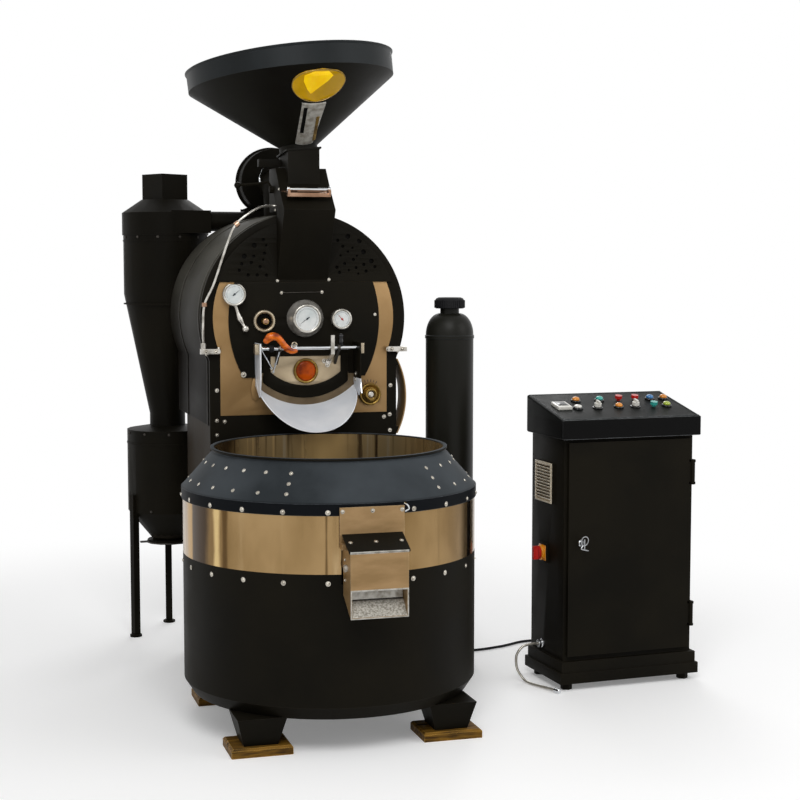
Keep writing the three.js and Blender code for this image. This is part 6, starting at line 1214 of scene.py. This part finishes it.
def dress_scoop():
    add("scoop_apron", scoop_sheet(), SCOOP_STEEL, instead_of=["discharge_scoop"], crease=50)
    lip = front_plate([mouth(177, 1075, 968), mouth(153, 1081, 992)], FACE_Y - 5.3, FACE_Y - GAP, 0.5)
    add("scoop_lip", lip, LIP_BRONZE)
    low = [(FACE_Y - GAP, 1040), (FACE_Y - GAP, 1062), (FACE_Y - 93, 1062), (FACE_Y - 90, 1046),
           (FACE_Y - 82, 1020), (FACE_Y - 70, 1003), (FACE_Y - 34, 1022)]
    high = [(FACE_Y - GAP, 1062), (FACE_Y - GAP, 1186), (FACE_Y - 92, 1186), (FACE_Y - 93, 1062)]
    for x, label, part, material in ((-175, "left_low", low, SCOOP_STEEL),
                                     (-175, "left_high", high, SCOOP_STEEL),
                                     (175, "right_low", low, SCOOP_STEEL), (175, "right_high", high, BLACK)):
        add("scoop_cheek_" + label, moved(outline_plate([part], 4, 0.4), SIDEWAYS, at(x, 0, 0)), material,
            slot="stainless")
    add("hinge_bar", along_x(sleeve(0, 6, -177, 177), 0, BAR_Y, BAR_Z, 1), CHROME)
    blocks = [bar_box(x - 8, x + 8, BAR_Y - 13, BAR_Y + 13, BAR_Z - 20, BAR_Z + 16, 2) for x in (-184, 184)]
    add("bar_blocks", gather(*blocks), NICKEL)
    right = swept([(177, -276, 1150), (177, -300, 1082), (182, -330, 1060), (181, -352, 1010)], 3, 10, 24)
    left = swept([(-177, -276, 1075), (-177, -300, 1050), (-176, -322, 1020)], 2.4, 10, 16)
    add("scoop_edge_rods", gather(right, left), CHROME)
    bolts = [((x, y, z), (way, 0, 0)) for x, way in ((173, -1), (177, 1))
             for y, z in ((-306, 1076), (-300, 1056))]
    screws("scoop_bolts", bolts, head=5.5, height=5, washer=7.5, thick=4, sides=6)
    knob = [(0, -16), (7, -15), (10, -4), (8, 8), (10, 18), (6, 24), (0, 25)]
    add("black_stop_knob", upright(knob, 3, at(112, BAR_Y, BAR_Z + 24)), GLOSS_BLACK, crease=60)
    collar = [(6, -9), (11, -8), (12, 0), (11, 8), (6, 9)]
    add("bar_collar", along_x(collar, -133, BAR_Y, BAR_Z, 2), RUBBER, crease=60)


# --- Cooling bin -------------------------------------------------------------------------------

OUTLET_X = -23


def round_bin(profile):
    return moved(turned(profile, ROUND), at(BIN_X, BIN_Y, 0))


def bin_box(half, front, back, low, high):
    return bar_box(OUTLET_X - half, OUTLET_X + half, BIN_Y + front, BIN_Y + back, low, high, 0.01)


def on_bin(radius, angle, z, out, up):
    c, s = math.cos(math.radians(angle)), math.sin(math.radians(angle))
    return ((BIN_X + radius * c, BIN_Y + radius * s, z), (out * c, out * s, up))


def dress_bin():
    skirt = round_bin([(465.3, 152), (465.3, 550.5), (463, 550.5), (463, 152)])
    add("skirt_skin", carved(skirt, bin_box(90, -480, -380, 519, 560)), BLACK)
    add("skirt_hem", round_bin([(439, 112.2), (465.3, 152), (463, 152), (437, 113)]), BLACK)
    band = round_bin([(465, 551), (465, 723.7), (461, 723.7), (461, 551)])
    add("band_sheet", carved(band, bin_box(90, -480, -380, 540, 646)), BAND_BRONZE, instead_of=["bin_band"])
    cone = [(469, 724), (469, 759), (465, 761), (370, 868), (369, 876), (373, 879), (376, 880.5),
            (366, 880.5), (366, 869), (461, 757), (461, 724)]
    add("bin_top", round_bin(cone), BLUE_BLACK, instead_of=["bin_cone"])
    roll = [(370 + 7 * math.cos(a), 876 + 3.9 * math.sin(a)) for a in round_angles(10)]
    add("bin_rim", round_bin(roll), BLACK, slot="blue_black_paint")
    liner = round_bin([(365.7, 616), (365.7, 877), (362.7, 877), (362.7, 640), (348.7, 640), (348.7, 636),
                       (362.7, 636), (362.7, 616)])
    add("bin_inside", carved(liner, bin_box(76, -372, -356, 645, 698)), LINER_BRONZE,
        instead_of=["bin_liner"])
    around = [-104.4 + k * (360 / 22) for k in range(22) if k != 1]
    ring = [on_bin(radius, angle, z, 1, 0) for radius, z in ((469, 734), (465.3, 524)) for angle in around]
    screws("bin_ring_screws", ring, head=5.2, height=4, washer=7.6, thick=2)
    first, last, step = -56.0, -120.3, (360 - 64.3) / 25
    places = [(first + k * step, z) for k in range(26) for z in (838, 783)] + [(first, 810), (last, 810)]
    cone = [on_bin(465 - (z - 760) * 95 / 108, angle, z, 0.752, 0.659) for angle, z in places]
    screws("bin_cone_screws", cone, head=4.2, height=3.2, washer=6.2, thick=1.8)
    plate = [((x, -1223.5, 738), TOWARD_US) for x in (-113, -22, 68)]
    sides = [((-110.3, -1240, z), (-1, 0, 0)) for z in (600, 540)]
    screws("outlet_screws", plate + sides, head=4.4, height=3.6, washer=6.4, thick=2)
    hood = [(-1223.6, 668), (-1223.6, 672), (-1304, 634.6), (-1305.6, 628), (-1304.6, 627), (-1302.4, 631.5)]
    across = (SIDEWAYS, at(OUTLET_X, 0, 0))
    add("outlet_hood", moved(outline_plate([hood], 184, 0.3), *across), BLACK, slot="dark_steel")
    tilt = (0, -0.42, 0.907)
    screws("hood_screws", [((x, -1264, 653.4), tilt) for x in (-100, -23, 54)], head=4.4, height=3.6,
           washer=6.4)
    tray = [(-1303, 440.4), (-1303, 442), (-1264, 481), (-1224, 484), (-1224, 482)]
    add("outlet_tray", moved(outline_plate([tray], 165, 0.2), *across), PALE_STEEL)
    rim = [rectangle(-110.2, 64.2, 436, 521), rectangle(-106.6, 60.6, 439.6, 517)]
    add("outlet_bright_edge", front_plate(rim, -1304.9, -1304.1, 0.2), SPECKLED_STEEL)
    add("outlet_top_edge", bar_box(-111, 65, -1305.4, -1304.2, 626, 633, 0.4), SPECKLED_STEEL)
    hook = swept([(74, -1226, 757), (80, -1240, 752), (83, -1243, 742), (74, -1236, 734)], 2.2, 8, 20)
    add("outlet_hook", hook, CHROME)


# --- Feed gate, damper bracket, gauge tube ends --------------------------------------------------

def dress_feed():
    y, z = -372, 1707
    bar = along_x(sleeve(0, 4.8, -68, 68), -8, y, z, 1)
    ends = [along_x(sleeve(0, 9, -4.5, 4.5), x, y - 1, z, 1.6) for x in (-79, 63)]
    add("gate_thin_bar", gather(bar, *ends), CHROME, body="feed_gate")
    rod = swept([(-126, -188, 1786), (-134, -196, 1770), (-143, -208, 1752), (-142, -212, 1736)], 2.8, 10, 20)
    add("damper_rod", rod, CHROME)
    sides = [((x, y, z), (way, 0, 0)) for x, way in ((-97.2, -1), (81.2, 1))
             for y, z in ((-309, 1709), (-250, 1640))]
    screws("chute_screws", sides, head=4.4, washer=6.4)
    collar = upright(sleeve(6, 10, -8, 8), 1.5, Matrix.Rotation(math.radians(52), 4, "Y"),
                     at(-239, -287, 1590))
    low = upright(sleeve(6, 9, -7, 7), 1.5, at(-352, -285, 1318))
    add("tube_fittings", gather(collar, low), COPPER, slot="bright_chrome")
    screws("clamp_bolts", [(x, -276.4, 1158) for x in (-348, -306, 300, 334)], head=7.5, height=7, washer=9.5,
           thick=4, sides=6)
    tips = [((-303, -270, 1165.4), (0, 0, 1)), ((-343, -270, 1150.6), (0, 0, -1)),
            ((334, -270, 1150.6), (0, 0, -1))]
    screws("clamp_tips", tips, head=6, height=9, washer=7.5, thick=5, sides=6)
    face = [(x, FACE_Y, z) for x, z in ((252, 1280), (-82, 1357), (61, 1359), (-96, 1399), (86, 1402))]
    screws("face_screws", face, head=4, height=3.2, washer=5.4)
    screws("face_big_screw", [(-217, FACE_Y, 1077), (112, DOOR_Y + 9, 1050)], head=7, height=5, washer=9.5,
           thick=2.4)
    line = [(-78, FACE_Y - 1.5, 1357), (-10, FACE_Y - 1.6, 1358), (57, FACE_Y - 1.5, 1359)]
    add("face_line", swept(line, 1.4, 8, 8), DARK_STEEL, slot=None)
    columns = [(-308, 1024), (-309, 920), (-282, 916), (311, 1029), (308, 926), (287, 918), (-309, 870),
               (309, 870)]
    screws("column_screws", [(x, PLATE_Y - 0.6, z) for x, z in columns], head=4.6, height=3.6, washer=6.8)
    lean = math.asin(132.5 / 290.3)
    skin = [*arc(80.9, 989.5, 290.4, -lean, lean, SMALL), *arc(76.7, 989.5, 290.2, lean, -lean, SMALL)]
    add("side_guard_skin", front_plate([skin], -254.8, -163.4, 0.3), BRONZE)
    blocks = [bar_box(x0, x1, -283.2, -259.4, 1149, 1167, 2) for x0, x1 in ((-366.2, -300), (296, 366.2))]
    add("clamp_blocks", gather(*blocks), SATIN_CHROME)
    screws("clamp_nuts", [(x, -283.2, 1158) for x in (-348, -314, 310, 348)], head=6, height=5.5, washer=8,
           sides=6)
    route = [(-97.3, -250, 1655), (-113.3, -250, 1655), (-150, -268, 1650), (-196, -287, 1628),
             (-243, -287, 1588), (-272, -287, 1525), (-319, -287, 1390), (-352, -287, 1318),
             (-358, -287, 1240), (-354.7, -271, 1186), (-354.7, -271, 1166)]
    nut = upright(sleeve(0, 9, 0, 20), 1.5, at(-354.7, -271, 1167), sides=6)
    add("gauge_tube_run", gather(swept(route, 4.0, 16, 140), nut), SATIN_CHROME, instead_of=["gauge_tube"])
    leaf = [(-184, 1062), (-160, 1062), (-152, 1030), (-160, 996), (-176, 984), (-188, 998), (-191, 1028)]
    add("side_leaf", front_plate([leaf], -272.6, FACE_Y - 0.5, 0.6), BRONZE)


# --- Stack and cyclone -------------------------------------------------------------------------

def scroll(inset, reach, turns=90):
    """The fan housing's outline, which widens round its wheel and leaves to the left."""
    points = []
    for i in range(turns + 1):
        share = i / turns
        a = -math.pi / 2 - share * 2 * math.pi
        r = 100 + 80 * share - inset
        points.append((FAN_X + r * math.cos(a), FAN_Z + r * math.sin(a)))
    points += [(FAN_X - reach, FAN_Z - 180 + inset), (FAN_X - reach, FAN_Z - 100 - inset)]
    return points + ([(FAN_X + inset, FAN_Z - 100 - inset)] if inset > 0 else [])


def dress_fan():
    wall = front_plate([scroll(-0.7, 110.4), scroll(2.6, 107)], FAN_FRONT - 0.4, FAN_BACK - 6.2, 1.2)
    rim = front_plate([scroll(-9.6, 110.6)], FAN_BACK - 6.4, FAN_BACK + 0.4, 0.8)
    add("fan_scroll", gather(wall, rim), BLACK)
    heads = []
    for i in range(14):
        a = -math.pi / 2 - (i + 0.5) / 14 * 2 * math.pi
        r = 104 + 80 * (i + 0.5) / 14
        heads.append(((FAN_X + r * math.cos(a), FAN_BACK + 0.6, FAN_Z + r * math.sin(a)), (0, 1, 0)))
    screws("fan_rim_screws", heads, head=3.6, height=2.8, washer=5, thick=1.6)


def dress_stack():
    stack = at(STACK_X, STACK_Y, 0)
    dome = [(34 + 52 * math.cos(a), 1202 + 78 * math.sin(a))
            for a in [math.pi / 2 * i / 12 for i in range(13)]]
    pipe = [(0, 0), (78, 0), (78, 12), (84, 12), (86, 14), (86, 1189), (88.6, 1190), (88.6, 1200), (86, 1202),
            *dome[1:], (34, 1297), (0, 1297)]
    add("stack_pipe", moved(turned(pipe, FINE, closed=False), stack), STACK_BLACK,
        instead_of=["exhaust_stack"])
    cap = [(0, 1297), (50, 1297), (53, 1300), (53, 1326), (48, 1333), (40, 1336.5), (0, 1336.5)]
    add("stack_cap", moved(turned(cap, FINE, closed=False), stack), RUBBER, slot="black_powder_coat")
    ribs = [((STACK_X + 53 * math.cos(a), STACK_Y + 53 * math.sin(a), 1313), (0, 0, 1),
             (math.cos(a), math.sin(a), 0)) for a in round_angles(44)]
    block_row("stack_cap_ribs", ribs, 4.4, 4.4, 27, RUBBER)
    heads = []
    for radius, z, count in ((163, 1560, 12), (158, 800, 10), (158, 500, 8)):
        for a in round_angles(count):
            c, s = math.cos(a + 0.2), math.sin(a + 0.2)
            heads.append(((CYCLONE_X + radius * c, CYCLONE_Y + radius * s, z), (c, s, 0)))
    screws("cyclone_screws", heads, head=3.6, height=2.8, washer=5, thick=1.6, material=DARK_STEEL)
    rings = [turned(sleeve(158, 159.4, 757, 763), FINE)]
    rings += [turned(sleeve(163, 164.6, z, z + 5), FINE) for z in (1544, 1300)]
    add("chaff_bin_seam", moved(gather(*rings), at(CYCLONE_X, CYCLONE_Y, 0)), BLACK)


# --- Control cabinet ---------------------------------------------------------------------------

CABINET = at(CABINET_X, CABINET_Y, 0) @ Matrix.Rotation(CABINET_TURN, 4, "Z")
DESK = CABINET @ at(0, 0, DESK_FRONT) @ Matrix.Rotation(DESK_RISE, 4, "X")
CABINET_MIDDLE = 185
TOP_ROW, LOW_ROW = 0.33, 0.6


def on_desk(across, row):
    """The middle of a control on the sloped desk, in the desk's own plane."""
    return DESK_WIDTH * across, DESK_DEPTH * (1 - row) / math.cos(DESK_RISE)


def on_side(plate, x):
    """A plate set on the cabinet's side, which faces the roaster."""
    return moved(plate, SIDEWAYS, at(x, CABINET_MIDDLE, 0), CABINET)


def dress_desk():
    side = round_over([(0, 864.6), (0, 931), (300, 997), (300, 864.6)], 9, 6)
    shell = moved(outline_plate([side], DESK_WIDTH, 7, 3), SIDEWAYS, at(DESK_WIDTH / 2, 0, 0), CABINET)
    add("desk_shell", shell, DESK_BLACK, instead_of=["cabinet_desk"])
    loop = [(x, y, 0.2) for x, y in round_over([(9, 10), (521, 10), (521, 297), (9, 297)], 12, 5)]
    add("desk_bead", moved(swept(loop + loop[:1], 1.5, 6, 150, 0.2), DESK), DESK_BLACK)

    def control(name, profile, soften, across, row, material, **look):
        add(name, upright(profile, soften, at(*on_desk(across, row), 0), DESK), material, **look)

    lamps = [(0.27, TOP_ROW, ORANGE), (0.443, TOP_ROW, TEAL), (0.818, TOP_ROW, BLUE), (0.92, TOP_ROW, ORANGE),
             (0.51, LOW_ROW, ORANGE), (0.864, LOW_ROW, GREEN)]
    lens = [(0, 3), (13.2, 3), (13.2, 11), (10, 15), (5, 17), (0, 17.6)]
    for i, (across, row, material) in enumerate(lamps, 1):
        control("lamp_lens_%d" % i, lens, 1.5, across, row, material, slot="teal_plastic", crease=60)
    ring = [(13, 0), (18, 0), (18, 4), (15, 7.4), (13, 7.4)]
    white_lamp = (0.213, LOW_ROW)
    for i, place in enumerate([lamp[:2] for lamp in lamps[:5]] + [white_lamp, lamps[5][:2]], 1):
        control("lamp_ring_%d" % i, ring, 1, *place, GLOSS_BLACK)
    control("white_lamp", [(0, 3), (13.2, 3), (13.2, 12), (0, 16)], 1.5, *white_lamp, WHITE, crease=60)
    (x0, y1), (x1, y0) = on_desk(0.07, 0.42), on_desk(0.165, 0.62)
    meter = moved(outline_plate([rectangle(x0 - 1, x1 + 1, y0 - 1, y1 + 1)], 12, 1.5), at(0, 0, 5), DESK)
    add("meter_case", meter, WHITE)
    glass = moved(outline_plate([rectangle(x0 + 6, x1 - 6, y0 + 14, y1 - 6)], 1.2, 0.3), at(0, 0, 11.2), DESK)
    add("meter_window", glass, GLOSS_BLACK)
    for body, across in (("selector_left", 0.356), ("selector_right", 0.633)):
        control(body + "_ring", [(14, 0), (18, 0), (18, 4), (14, 5)], 1, across, LOW_ROW, GLOSS_BLACK)


def dress_cabinet():
    turn = CABINET.to_3x3()
    facing, across = turn @ Vector((0, 1, 0)), turn @ Vector((0.58, 0, -0.81))
    slats = [(CABINET @ Vector((14.5, CABINET_MIDDLE, 701 - 59 + 118 * i / 11)), facing, across)
             for i in range(12)]
    block_row("vent_slats", slats, 11.6, 1.6, 121, VENT_METAL)
    edge = [rectangle(-65, 65, 631, 771), rectangle(-59.5, 59.5, 636.5, 765.5)]
    add("vent_frame", on_side(outline_plate(edge, 6, 1), 14.5), VENT_METAL)
    # A near-black plate behind the slats: painted shade between them.
    add("painted_shade_behind_slats", on_side(outline_plate([rectangle(-59, 59, 637, 765)], 1, 0.2), 19.4), PAINTED_SHADE)
    add("switch_plate", on_side(outline_plate([rectangle(-27, 27, 425, 479)], 8.4, 2.5), 15.2), ORANGE)
    collar = upright([(12, 0), (27, 0), (27, 9), (24, 12), (12, 12)], 1.5, ALONG_MINUS_X,
                     at(12, CABINET_MIDDLE, 452), CABINET)
    add("switch_collar", collar, ORANGE)
    for name, z in (("upper", 735), ("lower", 236)):
        add("hinge_" + name, upright(sleeve(0, 7.6, -44, 44), 1.2, at(504, 10, z), CABINET), BLACK)
    rose = upright([(5, 0), (13, 0), (13, 5), (10, 8), (5, 8)], 1, FRONT, at(76, 10, 509), CABINET)
    add("lock_rose", rose, CHROME, body="cabinet_door")
    loop = swept([(76 + 13 * math.cos(a), -20 - 4 * math.sin(a), 520 + 16 * math.sin(a))
                  for a in round_angles(20, ends=True)], 1.8, 8, 60)
    add("key_ring", moved(loop, CABINET), STEEL, body="door_key")
    second = swept([(72, -16, 505), (64, -18, 494), (84, -20, 488), (90, -18, 486)], 2.2, 8, 20)
    add("second_key", moved(second, CABINET), STEEL, body="door_key")
    nut = upright([(8, 0), (15.5, 0), (15.5, 9), (13, 11), (13, 22), (8, 22)], 1.2, ALONG_MINUS_X,
                  at(20, CABINET_MIDDLE, GLAND_Z), CABINET, sides=18)
    add("gland_nut", nut, CHROME)


def lay_cords():
    route = [Vector((346.6, 40, 100)), *[Vector(p) for p in CABLE_ROUTE], cabinet_point(265, 326.3, GLAND_Z),
             cabinet_point(265, 310.3, GLAND_Z)]
    line = eased(route, 0.4, 38)
    cable = cord_curve("power_cable_lead", line, 5)
    cable.data.materials.append(RUBBER)
    relief = along_x([(5.05, 0), (9, 0), (8.6, 8), (6.2, 30), (5.05, 31)], 346.8, 40, 100, 0.8)
    add("cable_relief", relief, RUBBER)
    ready(cable, HOUSING, ["power_cable"])
    near = [cabinet_point(x, y, z) for x, y, z in [(-0.3, CABINET_MIDDLE, GLAND_Z), *CONDUIT_ROUTE]]
    line = eased(near, 0.4, 30)
    hose = cord_curve("conduit_hose", line, 4.5)
    hose.data.materials.append(CONDUIT_METAL)
    ready(hose, HOUSING, ["conduit"])
    ahead = (line[-1] - line[-3]).normalized()
    tip = upright([(4.6, 0), (8, 0), (8, 24), (6.5, 26), (0, 26)], 0.8,
                  ahead.to_track_quat("Z", "Y").to_matrix().to_4x4(),
                  Matrix.Translation(line[-1] - ahead * 24), closed=False)
    ferrule = add("conduit_ferrule", tip, CHROME)


set_camera()
set_studio()
make_floor()
lay_cords()
dress_solids()
dress_barrel()
dress_hopper()
dress_feed()
dress_front_gauges()
dress_scoop()
dress_door()
dress_bin()
dress_fan()
dress_stack()
dress_desk()
dress_cabinet()
